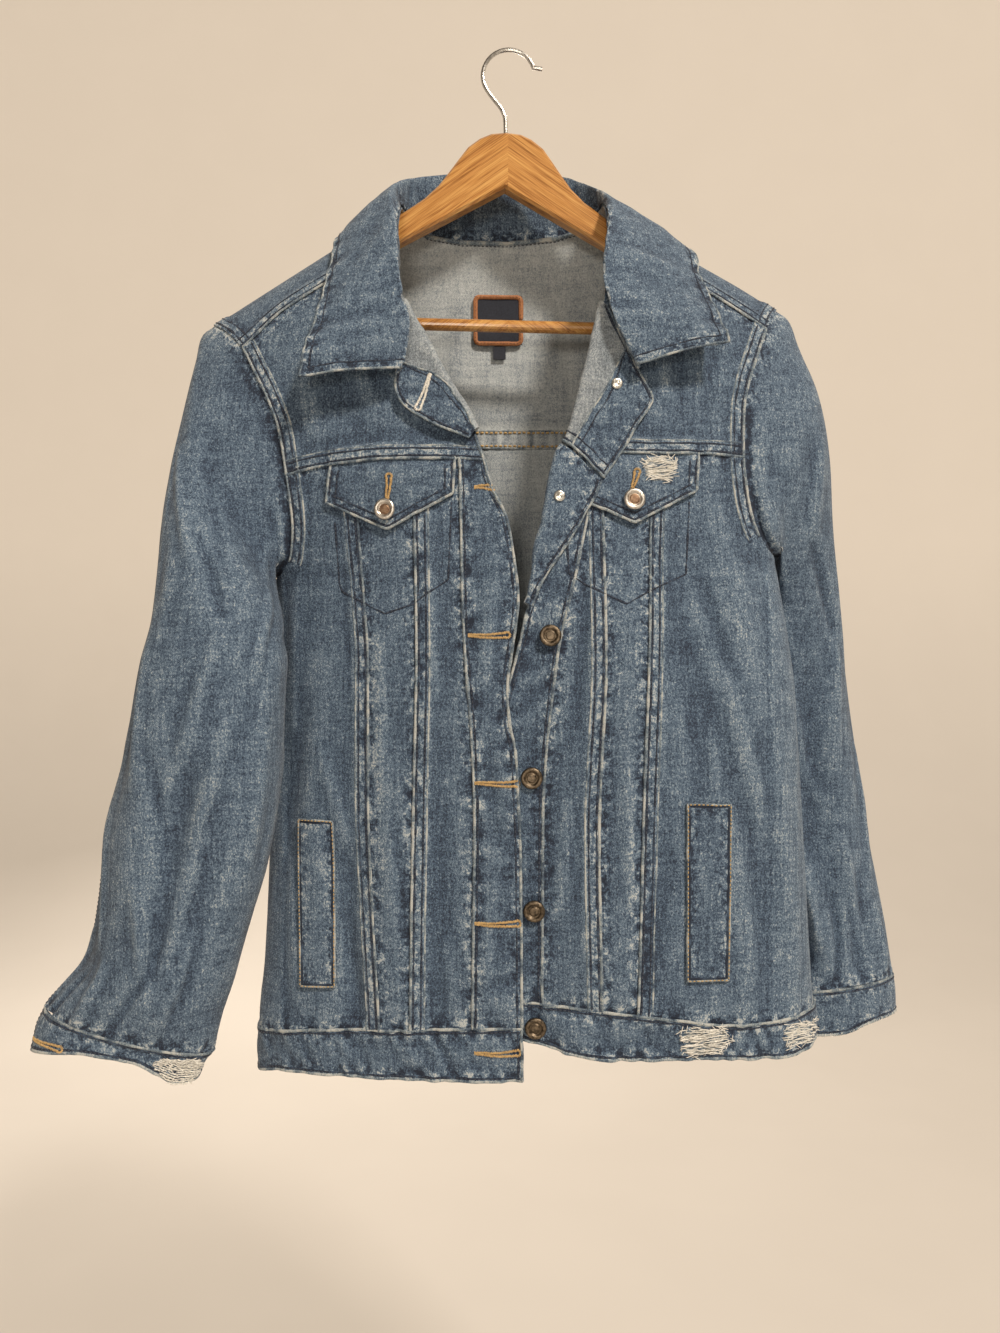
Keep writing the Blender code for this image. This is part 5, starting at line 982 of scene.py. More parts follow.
class Patch:
    """A grid on a piece's outer face. sewn names its borders that are seams or edges, of t, b, l and r."""

    def __init__(self, points, outward, sewn="tblr"):
        self.points = points
        self.normals = grid_normals(points, np.broadcast_to(outward, points.shape))
        self.sewn = sewn

    def turned(self, values, border):
        """Values of the grid with a border as their first row."""
        if border in "lr":
            values = values.swapaxes(0, 1)
        return values[::-1] if border in "br" else values

    def depth(self, border):
        """How far each point lies from a border, in the border's own order of rows."""
        steps = np.linalg.norm(np.diff(self.turned(self.points, border), axis=0), axis=-1)
        return np.concatenate([np.zeros((1, steps.shape[1])), np.cumsum(steps, axis=0)])

    def turned_back(self, values, border):
        """Values that have a border as their first row, in the grid's own order again."""
        if border in "br":
            values = values[::-1]
        return values.swapaxes(0, 1) if border in "lr" else values

    def near(self, reach):
        """From 1 at the sewn borders to 0 this far from them."""
        near = np.zeros(self.points.shape[:2])
        for border in self.sewn:
            share = np.clip(1 - self.depth(border) / reach, 0, 1)
            near = np.maximum(near, self.turned_back(share, border))
        return near

    def tone(self):
        """Above 0 on ridges and below 0 in hollows, from -1 to 1. The denim paints light on the ridges and
        shade in the hollows from it.
        """
        blurred, reach = self.points, RELIEF_SHADING_REACH
        for axis in (0, 1):
            pad = [(reach, reach) if axis == 0 else (0, 0), (reach, reach) if axis == 1 else (0, 0), (0, 0)]
            wide = np.pad(blurred, pad, mode="reflect", reflect_type="odd")
            count = blurred.shape[axis]
            blurred = sum(np.take(wide, np.arange(k, k + count), axis) for k in range(2 * reach + 1))
            blurred = blurred / (2 * reach + 1)
        rise = np.sum((self.points - blurred) * self.normals, axis=-1)
        return np.tanh(rise / RELIEF_SHADING_RISE)

    def track(self, border, inset=0.0, trim=(0.0, 0.0), lift=0.0):
        """Points and normals of a line along a border, this far inside it, shortened at its two ends."""
        points, normals = self.turned(self.points, border), self.turned(self.normals, border)
        depth = self.depth(border)
        row = np.clip((depth < inset).sum(axis=0), 1, len(depth) - 1)
        column = np.arange(depth.shape[1])
        low, high = depth[row - 1, column], depth[row, column]
        share = np.clip((inset - low) / np.maximum(high - low, 1e-9), 0, 1)[:, None]
        line = points[row - 1, column] * (1 - share) + points[row, column] * share
        normal = normals[row - 1, column] * (1 - share) + normals[row, column] * share
        return pace(line + normal * lift, normal, trim=trim)


def pace(points, normals, trim=(0.0, 0.0)):
    """A line's points and normals at even steps, shortened at its two ends."""
    places = run(points)
    start, end = trim[0], places[-1] - trim[1]
    at = np.linspace(start, end, max(2, int((end - start) / LINE_STEP) + 1))
    points, normals = (at_places(at, places, values) for values in (points, normals))
    return points, unit(normals)


def at_places(at, places, values):
    """Points or normals of a line at some places along it."""
    return np.stack([np.interp(at, places, values[:, k]) for k in range(3)], axis=1)


def linked(name, data):
    """A new object with its data, in the scene."""
    made = bpy.data.objects.new(name, data)
    bpy.context.scene.collection.objects.link(made)
    return made


def new_mesh(name, points, faces, finishes, attributes=(), smooth_under=50):
    """An object from arrays of points and faces, smooth except over sharp edges."""
    data = bpy.data.meshes.new(name)
    data.from_pydata(np.asarray(points).tolist(), [], [list(face) for face in faces])
    for finish in finishes:
        data.materials.append(finish)
    for title, values in attributes:
        data.attributes.new(title, "FLOAT", "POINT").data.foreach_set("value", np.asarray(values, np.float32))
    data.polygons.foreach_set("use_smooth", np.ones(len(data.polygons), bool))
    data.set_sharp_from_angle(angle=math.radians(smooth_under))
    data.update()
    return linked(name, data)


def place(made, slot, *nodes):
    """Carries a piece on the part's one body, and lets it stand for CAD nodes."""
    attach(made, "root")
    if nodes:
        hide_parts(*nodes)
    return made


def joined(patches):
    """The points, normals, tone, sewn share and faces of patches, each shared point once."""
    points = np.concatenate([patch.points.reshape(-1, 3) for patch in patches])
    normals = np.concatenate([patch.normals.reshape(-1, 3) for patch in patches])
    tone = np.concatenate([patch.tone().ravel() for patch in patches])
    sewn = np.concatenate([patch.near(SEWN_REACH).ravel() for patch in patches])
    quads, borders, start = [], [], 0
    for patch in patches:
        rows, columns = patch.points.shape[:2]
        numbers = np.arange(rows * columns).reshape(rows, columns) + start
        quads.append(grid_faces(numbers))
        borders.append(np.concatenate([numbers[0], numbers[-1], numbers[:, 0], numbers[:, -1]]))
        start += rows * columns
    same = np.arange(len(points))
    if len(patches) > 1:
        border = np.unique(np.concatenate(borders))
        tree = KDTree(len(border))
        for i in border:
            tree.insert(points[i], int(i))
        tree.balance()
        for i in border:
            same[i] = min(found[1] for found in tree.find_range(points[i], 0.02 * MM))
        for i in np.nonzero(same != np.arange(len(points)))[0]:
            normals[same[i]] += normals[i]
            tone[same[i]] = 0
    kept, numbers = np.unique(same, return_inverse=True)
    quads = numbers[np.concatenate(quads)]
    points, normals = points[kept], unit(normals[kept])
    a, b, c, d = (points[quads[:, k]] for k in range(4))
    if np.sum(np.cross(c - a, d - b) * normals[quads[:, 0]]) < 0:
        quads = quads[:, ::-1]
    return points, normals, tone[kept], sewn[kept], quads


made_patches = {}       # the outer faces of each piece of cloth, under its node's name


def shell(node, patches, thickness, grey=0, middle=False, reverse=None):
    """A closed piece of cloth, which stands for the solid of its name where there is one.

    Its outer face is denim. Its inside, and its first grey columns, are the denim's reverse.
    """
    points, normals, tone, sewn, quads = joined(patches)
    edges = np.concatenate([quads[:, [k, (k + 1) % 4]] for k in range(4)])
    _, first, count = np.unique(np.sort(edges, axis=1), axis=0, return_index=True, return_counts=True)
    rim = edges[first[count == 1]]
    size = len(points)
    inner = points - normals * thickness * (0.5 if middle else 1)
    outer = points + normals * thickness * 0.5 if middle else points
    walls = np.stack([rim[:, 1], rim[:, 0], rim[:, 0] + size, rim[:, 1] + size], axis=1)
    faces = np.concatenate([quads, quads[:, ::-1] + size, walls])
    # The tone attribute carries the painted light on ridges and the painted shade in hollows.
    made = new_mesh("cloth_" + node, np.concatenate([outer, inner]), faces,
                    [DENIM_FACE, reverse or DENIM_REVERSE],
                    [("tone", np.tile(tone, 2)), ("sewn", np.tile(sewn, 2))])
    marks = np.zeros(len(faces), np.int32)
    marks[len(quads):2 * len(quads)] = 1
    if grey:
        columns = patches[0].points.shape[1] - 1
        marks[:len(quads)] = np.arange(len(quads)) % columns < grey
    made.data.polygons.foreach_set("material_index", marks)
    place(made, "denim", *([node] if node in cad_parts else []))
    made_patches[node] = patches
    return made


def sewing(name, tracks, thread, length=2.5 * MM, gap=0.9 * MM, radius=0.36 * MM, slot="denim"):
    """Rows of separate stitches, each a small spindle that lies on the cloth."""
    centres, alongs, ups = [], [], []
    for points, normals in tracks:
        places = run(points)
        count = int(places[-1] // (length + gap))
        if count < 1:
            continue
        at = (np.arange(count) + 0.5) * places[-1] / count
        ahead, behind = (at_places(at + step, places, points) for step in (0.4 * MM, -0.4 * MM))
        centres.append(at_places(at, places, points))
        alongs.append(unit(ahead - behind, TINY))
        ups.append(unit(at_places(at, places, normals)))
    return spindles(name, np.concatenate(centres), np.concatenate(alongs), np.concatenate(ups), thread,
                    length, radius, slot)


def spindles(name, centre, along, up, thread, length, radius, slot="denim"):
    """Short threads with their middles, directions and the cloth's normals given."""
    across_it = unit(np.cross(along, up))
    count = len(centre)
    half = length * rng.uniform(0.46, 0.54, (count, 1))
    centre = centre + across_it * rng.uniform(-0.1, 0.1, (count, 1)) * MM
    rows = [centre - along * half - up * radius * 0.6]
    for share in (-0.6, 0.6):
        middle = centre + along * half * share + up * radius * 0.5
        rows += [middle + across_it * radius, middle + up * radius * 0.9, middle - across_it * radius,
                 middle - up * radius]
    rows.append(centre + along * half - up * radius * 0.6)
    points = np.stack(rows, axis=1).reshape(-1, 3)
    faces = [(0, 2, 1), (0, 3, 2), (0, 4, 3), (0, 1, 4)]
    for k in range(4):
        n = (k + 1) % 4
        faces.append((1 + k, 1 + n, 5 + n, 5 + k))
    ends = [(9, 5, 6), (9, 6, 7), (9, 7, 8), (9, 8, 5)]
    start = (np.arange(count) * 10)[:, None, None]
    quads = (np.array(faces[4:])[None] + start).reshape(-1, 4)
    triangles = (np.array(faces[:4] + ends)[None] + start).reshape(-1, 3)
    made = new_mesh(name, points, list(map(tuple, quads)) + list(map(tuple, triangles)), [thread],
                    smooth_under=180)
    return place(made, slot)


# Sections of a ridge: across and up, in shares of its half width and its height.
BEAD = ((-1, -0.5), (-0.8, 0.45), (-0.3, 0.95), (0.3, 0.95), (0.8, 0.45), (1, -0.5))
LOW_BEAD = ((-1, -0.5), (-0.6, 0.9), (0.6, 0.9), (1, -0.5))
LOW = 0.4 * MM              # ridges no higher than this have fewer points


def bead(name, tracks, half_width, height, finish, slot="denim", rough=0.25):
    """A low rounded ridge along each line, as a worn folded edge or a cord makes."""
    outline = BEAD if height > LOW else LOW_BEAD
    everything, faces, tones, start = [], [], [], 0
    for number, (points, normals) in enumerate(tracks):
        aside = unit(np.cross(np.gradient(points, axis=0), normals), TINY)
        places = run(points)
        size = 1 + rough * waves(places, places * 0, 5 * MM, MM, number * 1.7)
        ends = np.minimum(np.minimum(places, places[-1] - places) / (1.5 * MM), 1)[:, None]
        size = size[:, None] * (0.35 + 0.65 * ends)
        rows = [points + aside * across_it * half_width * size + normals * up * height * size
                for across_it, up in outline]
        count, width = len(points), len(outline)
        everything.append(np.stack(rows, axis=1).reshape(-1, 3))
        index = np.arange(count * width).reshape(count, width) + start
        after = np.roll(index, -1, axis=1)
        faces += [tuple(face) for face in np.stack([index[:-1], index[1:], after[1:], after[:-1]], axis=-1)
                  .reshape(-1, 4)]
        faces += [tuple(index[0]), tuple(index[-1][::-1])]
        tones.append(np.repeat(waves(places, places * 0, 7 * MM, MM, 30 + number * 2.3), width))
        start += count * width
    made = new_mesh(name, np.concatenate(everything), faces, [finish],
                    [("tone", np.concatenate(tones)), ("sewn", np.ones(start))], smooth_under=80)
    return place(made, slot)


# ---------------------------------------------------------------- the body's pieces

BAND = 11 * MM                 # width of the raised strip beside a felled seam
BAND_HEIGHT = 1.3 * MM
OVERLAP = 1.5 * MM             # how far a raised piece covers the next one
ROWS = 13 * DETAIL
ARM_SPLIT = 3 * DETAIL
NARROW = 14                    # columns of a narrow panel
YOKE_COLUMNS = 50
NECK_COLUMNS = 60
PANEL_COLUMNS = 80
BAND_GRID = (170, 22)          # columns and rows
BACK_BAND_GRID = (150, 15)
BACK_HEM_CROWD = 0.45          # crowds the back panel's lower edge towards the side seams
NEAR_ROW, FAR_ROW = 2.6 * MM, 8.6 * MM
ACROSS, ALONG = "across", "along"
BAND_LIFT = 1.4 * MM
PLACKET_LIFT = 1.2 * MM
FLAP_BUMP = 2.1 * MM           # how far the yoke rises over a flap


def moved(line, amount):
    """A line shifted by an amount."""
    return lambda at: line(at) + amount


def raised(distance, height=BAND_HEIGHT):
    """The lift of a felled strip at a distance from its seam."""
    share = np.clip((BAND + 3 * MM - np.abs(distance)) / (4 * MM), 0, 1)
    return height * soft(share)


def lifted(bands, side="", whole=0.0, bumps=()):
    """A function of lifts: up beside seams and over what lies below, down for the covered right front."""
    def lift(points):
        spot = torso_surface(points[..., 0], points[..., 1])
        x, z = spot[..., 0], spot[..., 2]
        height = np.full(x.shape, float(whole))
        for line, way in bands:
            distance = z - line(x) if way == ACROSS else x - line(z)
            height = np.maximum(height, raised(distance))
        for x0, x1, line, amount in bumps:
            inside = np.clip(np.minimum(x - x0, x1 - x) / (5 * MM), 0, 1)
            height = height + inside * raised(z - line(x), amount)
        return height + (under(points) if side == "r" else 0.0)
    return lift


def crumpled(lift, form):
    """A height with a form's slanting ripples added all over."""
    def higher(points):
        x, _, z = torso(points).transpose(2, 0, 1)
        return lift(points) + ripples(form, x + 0.5 * z, z - 0.4 * x)
    return higher


def body_patch(edges, lift=None, sewn="tblr"):
    """A four sided grid on the body."""
    points = fill(*edges)
    grid = torso(points, lift(points) if lift else 0.0)
    return Patch(grid, torso_normal(points), sewn)


def split_patches(top, bottom, arms, sides, side, lift):
    """A panel below one or two armholes: a grid beside them and a grid below them."""
    ends = np.array([edge[ARM_SPLIT] for edge in arms])
    places = torso(ends)
    order = np.argsort(places[:, 0])
    waist = across(lambda x: np.interp(x, places[order, 0], places[order, 2]),
                   places[0, 0], places[1, 0], len(top) - 1, side)
    waist[[0, -1]] = ends
    level_line = [waist]
    if sides[0] is not None:
        level_line.insert(0, arms[0][ARM_SPLIT + 1:][::-1])
    if sides[1] is not None:
        level_line.append(arms[1][ARM_SPLIT + 1:])
    edges = [arm[ARM_SPLIT:] if edge is None else edge for arm, edge in zip(arms, sides)]
    return [body_patch((top, waist, *(edge[:ARM_SPLIT + 1] for edge in arms)), lift, "tlr"),
            body_patch((np.concatenate(level_line), bottom, *edges), lift, "blr")]


def yoke_edge(side, steps):
    """Cloth coordinates of a front yoke's inner edge: down the neckline, then down the fold."""
    neck = neckline()
    corner = neck[NECK_SHOULDER[side]]
    roll = neck[0] if side == "l" else neck[-1]
    edge = FRONT_EDGE[side]
    low = meet(edge, moved(YOKE_SEAM[side], -OVERLAP), NEAR_YOKE)[1]
    fold = down(edge, np.linspace(edge.places[-1], low, 40))
    return resample(np.concatenate([[corner, (corner + roll) / 2], fold]), steps)


def inner_line(side, line):
    """Cloth coordinates down one of the front's lines, from the yoke seam to the band."""
    top = meet(line, YOKE_SEAM[side], NEAR_YOKE)[1]
    low = meet(line, HEM_SEAM[side], NEAR_HEM)[1]
    return down(line, np.linspace(top, low, ROWS + 1))


def make_front(side):
    """One front: its yoke, its four panels and its band."""
    out = SIDES[side]
    seam, arm_line = YOKE_SEAM[side], ARM_FRONT[side]
    flap_x = sorted(np.array(FLAP[side]["side_x"]) * MM)

    outer = arm_part(side, "front_yoke", DETAIL)
    inner = yoke_edge(side, len(outer) - 1)
    arm_x, low_arm_x = torso(outer)[[0, -1], 0]
    top = across(SHOULDER_SEAM[side], arm_x, NECKLINE[NECK_SHOULDER[side]][0] * MM, YOKE_COLUMNS)
    top[0], top[-1] = outer[0], inner[0]
    lower = moved(seam, -OVERLAP)
    bottom = across(lower, low_arm_x, meet(FRONT_EDGE[side], lower, NEAR_YOKE)[0], YOKE_COLUMNS)
    lift = lifted([(seam, ACROSS), (arm_line, ALONG)], bumps=[(*flap_x, seam, FLAP_BUMP)])
    yoke = body_patch((top, bottom, outer, inner), lift)
    shell("front_yoke_" + side, [yoke], DENIM)

    arm = arm_part(side, "front_pit", DETAIL)
    edge = side_edge(side)
    line = moved(OUTER_V[side], -out * OVERLAP)
    low_x, low_z = meet(edge, HEM_SEAM[side], NEAR_CORNER)
    side_seam = down(edge, np.linspace(arm_line.places[0], low_z, ROWS - ARM_SPLIT + 1))
    top = across(seam, torso(arm)[0, 0], meet(line, seam, NEAR_YOKE)[0], 3 * DETAIL)
    bottom = across(HEM_SEAM[side], low_x, meet(line, HEM_SEAM[side], NEAR_HEM)[0],
                    3 * DETAIL + len(arm) - 1 - ARM_SPLIT)
    patches = split_patches(top, bottom, (arm, inner_line(side, line)), (side_seam, None), FRONT,
                            lifted([(OUTER_V[side], ALONG), (arm_line, ALONG)], side))
    shell("front_side_" + side, patches, DENIM)

    lines = ((OUTER_V[side], INNER_V[side], "front_middle_", 0, [], 0),
             (INNER_V[side], PLACKET_SEAM[side], "front_centre_", OVERLAP, [(INNER_V[side], ALONG)], 0),
             (PLACKET_SEAM[side], FRONT_EDGE[side], "placket_", OVERLAP, [], PLACKET_LIFT))
    for first, last, name, beyond, bands, whole in lines:
        first = moved(first, out * beyond)
        first_x, last_x = (meet(edge, seam, NEAR_YOKE)[0] for edge in (first, last))
        first_low, last_low = (meet(edge, HEM_SEAM[side], NEAR_HEM)[0] for edge in (first, last))
        edges = (across(seam, first_x, last_x, NARROW), across(HEM_SEAM[side], first_low, last_low, NARROW),
                 inner_line(side, first), inner_line(side, last))
        lift = lifted(bands, side, whole)
        if whole:
            lift = crumpled(lift, "placket")
        patch = body_patch(edges, lift)
        shell(name + side, [patch], DOUBLE if whole else DENIM)

    edge = side_edge(side)
    top_line = moved(HEM_SEAM[side], OVERLAP)
    corners = [meet(down_line, line, NEAR_EDGE) for line in (top_line, HEM_EDGE[side])
               for down_line in (edge, FRONT_EDGE[side])]
    high, high_in, low, low_in = corners
    columns, rows = BAND_GRID
    edges = (across(top_line, high[0], high_in[0], columns),
             across(HEM_EDGE[side], low[0], low_in[0], columns),
             down(edge, np.linspace(high[1], low[1], rows)),
             down(FRONT_EDGE[side], np.linspace(high_in[1], low_in[1], rows)))
    band = body_patch(edges, crumpled(lifted([], side, BAND_LIFT), "hem_band"))
    shell("hem_band_" + side, [band], DOUBLE)


def neckline():
    """Cloth coordinates of the neckline's rows."""
    table = np.array(NECKLINE, float)
    return cloth(table[:, 0] * MM, table[:, 1] * MM, table[:, 2])


def make_back():
    """The back yoke, which runs over the shoulders to the front, the back panel and its band."""
    neck = neckline()
    lower_line = moved(BACK_YOKE_SEAM, -OVERLAP)
    lift = lifted([(BACK_YOKE_SEAM, ACROSS), (ARM_BACK["l"], ALONG), (ARM_BACK["r"], ALONG)])
    patches, falls = [], {}
    for side in SIDES:
        outer = [arm_part(side, "tip", DETAIL)[::-1], arm_part(side, "back_tip", DETAIL)[1:]]
        outer = np.concatenate(outer)
        shoulder, top, back = NECK_SHOULDER[side], NECK_TOP[side], NECK_BACK[side]
        tips = ARM_STEPS["tip"] * DETAIL
        front_part = resample(neck[[top, (shoulder + top) // 2, shoulder]], tips, RIDGE_CROWD)[::-1]
        back_x = NECKLINE[back][0] * MM
        low = cloth(np.array(back_x), lower_line(np.array(back_x)), BACK)
        count = ARM_STEPS["back_tip"] * DETAIL
        way = np.concatenate([neck[[top, (top + back) // 2, back]], [low]])
        fall = resample(way, count)
        joint = np.argmin(np.linalg.norm((fall - neck[back]) * [0.2, 1], axis=1))
        fall[joint] = neck[back]
        inner = np.concatenate([front_part, fall[1:]])
        arm_x, low_arm_x = torso(outer)[[0, -1], 0]
        upper = across(SHOULDER_SEAM[side], arm_x, NECKLINE[shoulder][0] * MM, YOKE_COLUMNS)
        upper[0], upper[-1] = outer[0], inner[0]
        points = fill(upper, across(lower_line, low_arm_x, back_x, YOKE_COLUMNS, BACK), outer, inner)
        place_here = torso_surface(points[..., 0], points[..., 1])
        front = points[..., 1] < 0
        seam = raised(place_here[..., 2] - SHOULDER_SEAM[side](place_here[..., 0])) * front
        arm = raised(place_here[..., 0] - ARM_FRONT[side](place_here[..., 2])) * front
        height = np.where(front, np.maximum(seam, arm), lift(points))
        patches.append(Patch(torso(points, height), torso_normal(points), "tbl"))
        falls[side] = fall[joint:]
    first, last = NECK_BACK["l"], NECK_BACK["r"]
    count = min(len(fall) for fall in falls.values()) - 1
    upper = resample(neck[first:last + 1], NECK_COLUMNS)
    lower = across(lower_line, NECKLINE[first][0] * MM, NECKLINE[last][0] * MM,
                   NECK_COLUMNS, BACK)
    sides = [falls[side] if len(falls[side]) == count + 1 else resample(falls[side], count) for side in "lr"]
    points = fill(upper, lower, *sides)
    patches.append(Patch(torso(points, lift(points)), torso_normal(points), "tb"))
    shell("back_yoke", patches, DENIM)

    arms = {side: arm_part(side, "back_pit", DETAIL) for side in SIDES}
    upper = across(BACK_YOKE_SEAM, torso(arms["l"])[0, 0], torso(arms["r"])[0, 0], PANEL_COLUMNS, BACK)
    count = PANEL_COLUMNS + 2 * (len(arms["l"]) - 1 - ARM_SPLIT)
    highs = {side: meet(side_edge(side), BACK_HEM_SEAM, NEAR_CORNER) for side in SIDES}
    lower = across(BACK_HEM_SEAM, highs["l"][0], highs["r"][0], count, BACK, BACK_HEM_CROWD)
    edges = [down(side_edge(side), np.linspace(ARM_BACK[side].places[0], highs[side][1],
                                               ROWS - ARM_SPLIT + 1), BACK) for side in SIDES]
    patches = split_patches(upper, lower, (arms["l"], arms["r"]), edges, BACK,
                            lifted([(ARM_BACK["l"], ALONG), (ARM_BACK["r"], ALONG)]))
    shell("back_panel", patches, DENIM)

    top_line = moved(BACK_HEM_SEAM, OVERLAP)
    highs = {side: meet(side_edge(side), top_line, NEAR_CORNER) for side in SIDES}
    lows = {side: meet(side_edge(side), BACK_HEM_EDGE, NEAR_BACK_EDGE) for side in SIDES}
    columns, rows = BACK_BAND_GRID
    edges = [down(side_edge(side), np.linspace(highs[side][1], lows[side][1], rows), BACK) for side in SIDES]
    band = body_patch((across(top_line, highs["l"][0], highs["r"][0], columns, BACK),
                       across(BACK_HEM_EDGE, lows["l"][0], lows["r"][0], columns, BACK), *edges),
                      lifted([], whole=BAND_LIFT))
    shell("hem_band_back", [band], DOUBLE)


# ---------------------------------------------------------------- sleeves and cuffs

UNDER_CREASES = (
    # angle0, z0, angle1, z1, width, depth, on both under sleeves
    (200, -560, 230, -660, 6, 2.0), (260, -640, 250, -760, 5, -2.0), (300, -420, 320, -560, 6, 1.8))
SLEEVE_CREASES = {
    # the same, for each side's whole sleeve
    "l": ((40, -330, 70, -430, 6, 2.4), (70, -400, 100, -470, 5, -2.2), (30, -450, 55, -600, 6, 2.0),
          (100, -470, 80, -600, 5, 1.8), (60, -560, 90, -660, 5, -1.6), (115, -540, 100, -640, 5, 2.0),
          (20, -600, 40, -720, 5, 1.6), (70, -660, 96, -760, 5, 2.6), (96, -690, 82, -778, 4, -2.4),
          (50, -720, 62, -778, 4, 2.0), (32, -730, 24, -778, 4, -1.8), (120, -690, 112, -778, 4, 2.2),
          (10, -700, 4, -778, 4, 1.8), *UNDER_CREASES, (150, -400, 130, -520, 5, 2.2),
          (182, -385, 178, -480, 15, 2.2)),
    "r": ((30, -320, 60, -410, 6, 2.4), (60, -400, 40, -500, 5, -2.0), (40, -470, 70, -600, 6, 2.0),
          (100, -500, 84, -620, 5, 1.8), (20, -560, 44, -700, 5, 1.6), (110, -620, 104, -740, 4, 2.6),
          (70, -640, 60, -760, 5, 2.0), (84, -690, 92, -768, 4, -2.4), (40, -700, 36, -768, 4, 1.8),
          (134, -640, 138, -768, 5, 2.4), *UNDER_CREASES)}
ARMHOLE_BLEND = 25 * MM        # over which the refined sleeve meets the armhole's own line
SLEEVE_ROUND = 55 * MM         # cloth to the radian round a sleeve
CUFF_PUCKER = 2.2              # how much stronger the puckers are where the cuff gathers the sleeve


def fine_sleeve(side):
    """The sleeve's rows and columns, refined, on the armhole's own line, with its smaller creases."""
    coarse = sleeve_grid(side)
    closed = np.concatenate([coarse[:, -2:], coarse, coarse[:, :3]], axis=1).swapaxes(0, 1)
    count = coarse.shape[1]
    column = np.arange(count * SLEEVE_DETAIL) / SLEEVE_DETAIL
    around = smooth(np.arange(-2, count + 3), closed.reshape(len(closed), -1), column, True)
    around = around.reshape(len(column), len(coarse), 3).swapaxes(0, 1)
    places = mean_run(around)
    rows = 20 * SLEEVE_DETAIL
    at = np.concatenate([np.linspace(0, places[2], 4), np.linspace(places[2], places[-1], rows)[1:]])
    grid = smooth(places, around.reshape(len(around), -1), at, True).reshape(len(at), -1, 3)
    fade = np.clip(1 - at / ARMHOLE_BLEND, 0, 1)[:, None, None]
    grid = grid + (torso(arm_loop(side, SLEEVE_DETAIL)) - grid[0]) * fade
    turns = np.radians(np.interp(at / places[-1], np.linspace(0, 1, len(SLEEVE[side])),
                                 [row[-1] for row in SLEEVE[side]]))
    angles = np.interp(column, np.arange(count + 1), np.append(sleeve_angles(), 2 * math.pi)) + turns[:, None]
    round_it = angles * SLEEVE_ROUND
    relief = CREASED * sleeve_relief(SLEEVE_CREASES[side], angles, grid[..., 2])
    relief = relief + ripples("sleeve", round_it, grid[..., 2])
    from_arm, to_cuff = at[:, None], (places[-1] - at)[:, None]
    relief = relief + CUFF_PUCKER * pucker(to_cuff, round_it, 61) * np.clip(to_cuff / (2 * MM), 0, 1)
    relief = relief * np.clip(from_arm / (20 * MM), 0, 1)
    relief = relief + pucker(from_arm, round_it, 67) * np.clip(from_arm / (3 * MM), 0, 1)
    return grid + unit(grid - grid.mean(axis=1)[:, None]) * relief[..., None]


def columns_between(grid, start, end):
    """Columns start to end of a closed grid, counted past its first column again where end is smaller."""
    count = grid.shape[1]
    last = end if end > start else end + count
    return grid[:, np.arange(start, last + 1) % count]


def make_sleeve(side):
    """The top sleeve and the under sleeve."""
    grid = fine_sleeve(side)
    outward = grid - grid.mean(axis=1)[:, None]
    front, back = FRONT_SEAM_COLUMN * SLEEVE_DETAIL, BACK_SEAM_COLUMN * SLEEVE_DETAIL
    for name, start, end in (("top_sleeve_", back, front), ("under_sleeve_", front, back)):
        patch = Patch(columns_between(grid, start, end), columns_between(outward, start, end))
        shell(name + side, [patch], DENIM)


def make_cuff(side):
    """An open cuff."""
    grid = cuff_grid(side)
    outward = grid - grid.mean(axis=(0, 1))
    along = np.linspace(0, CUFF_ROUND, grid.shape[1])[None, :]
    down_it = np.linspace(0, CUFF_WIDE, len(grid))[:, None]
    relief = ripples("cuff", along, down_it) + CUFF_RISE
    grid = grid + unit(outward) * relief[..., None]
    shell("cuff_" + side, [Patch(grid, outward)], DOUBLE)


# ---------------------------------------------------------------- collar and turned edges

def collar_grid():
    """Rows from the collar's seam over its roll to its edge, along the neck from left to right."""
    table = np.array(COLLAR, float)
    seam = torso(cloth(table[:, 0] * MM, table[:, 1] * MM, table[:, 2]), table[:, 3] * MM)
    roll = table[:, 4:7] * MM
    edge = table[:, 7:10] * MM
    out = unit(edge - seam)
    roll_in, roll_out = roll - out * COLLAR_ROLL, roll + out * COLLAR_ROLL
    middle = (roll_out + edge) / 2
    away = middle - np.array([0, 0, NECK_HEIGHT])
    away[:, 2] = np.abs(away[:, 2]) + 20 * MM
    middle = middle + unit(away) * COLLAR_BULGE
    layers = np.array([seam, (seam + roll_in) / 2, roll_in, roll_out, middle, edge])
    places = mean_run(layers)
    stops = (0, places[2], places[3], places[-1])
    at = np.concatenate([np.linspace(stops[k], stops[k + 1], COLLAR_ROWS[k] + 1)[min(k, 1):]
                         for k in range(3)])
    rows = smooth_grid(places, layers, at)
    along = run(roll)
    columns_at = np.linspace(0, along[-1], COLLAR_COLUMNS + 1)
    grid = smooth(along, rows.transpose(1, 0, 2).reshape(len(along), -1), columns_at, True)
    return grid.reshape(COLLAR_COLUMNS + 1, -1, 3), columns_at[:, None], at[None, :] - places[2]


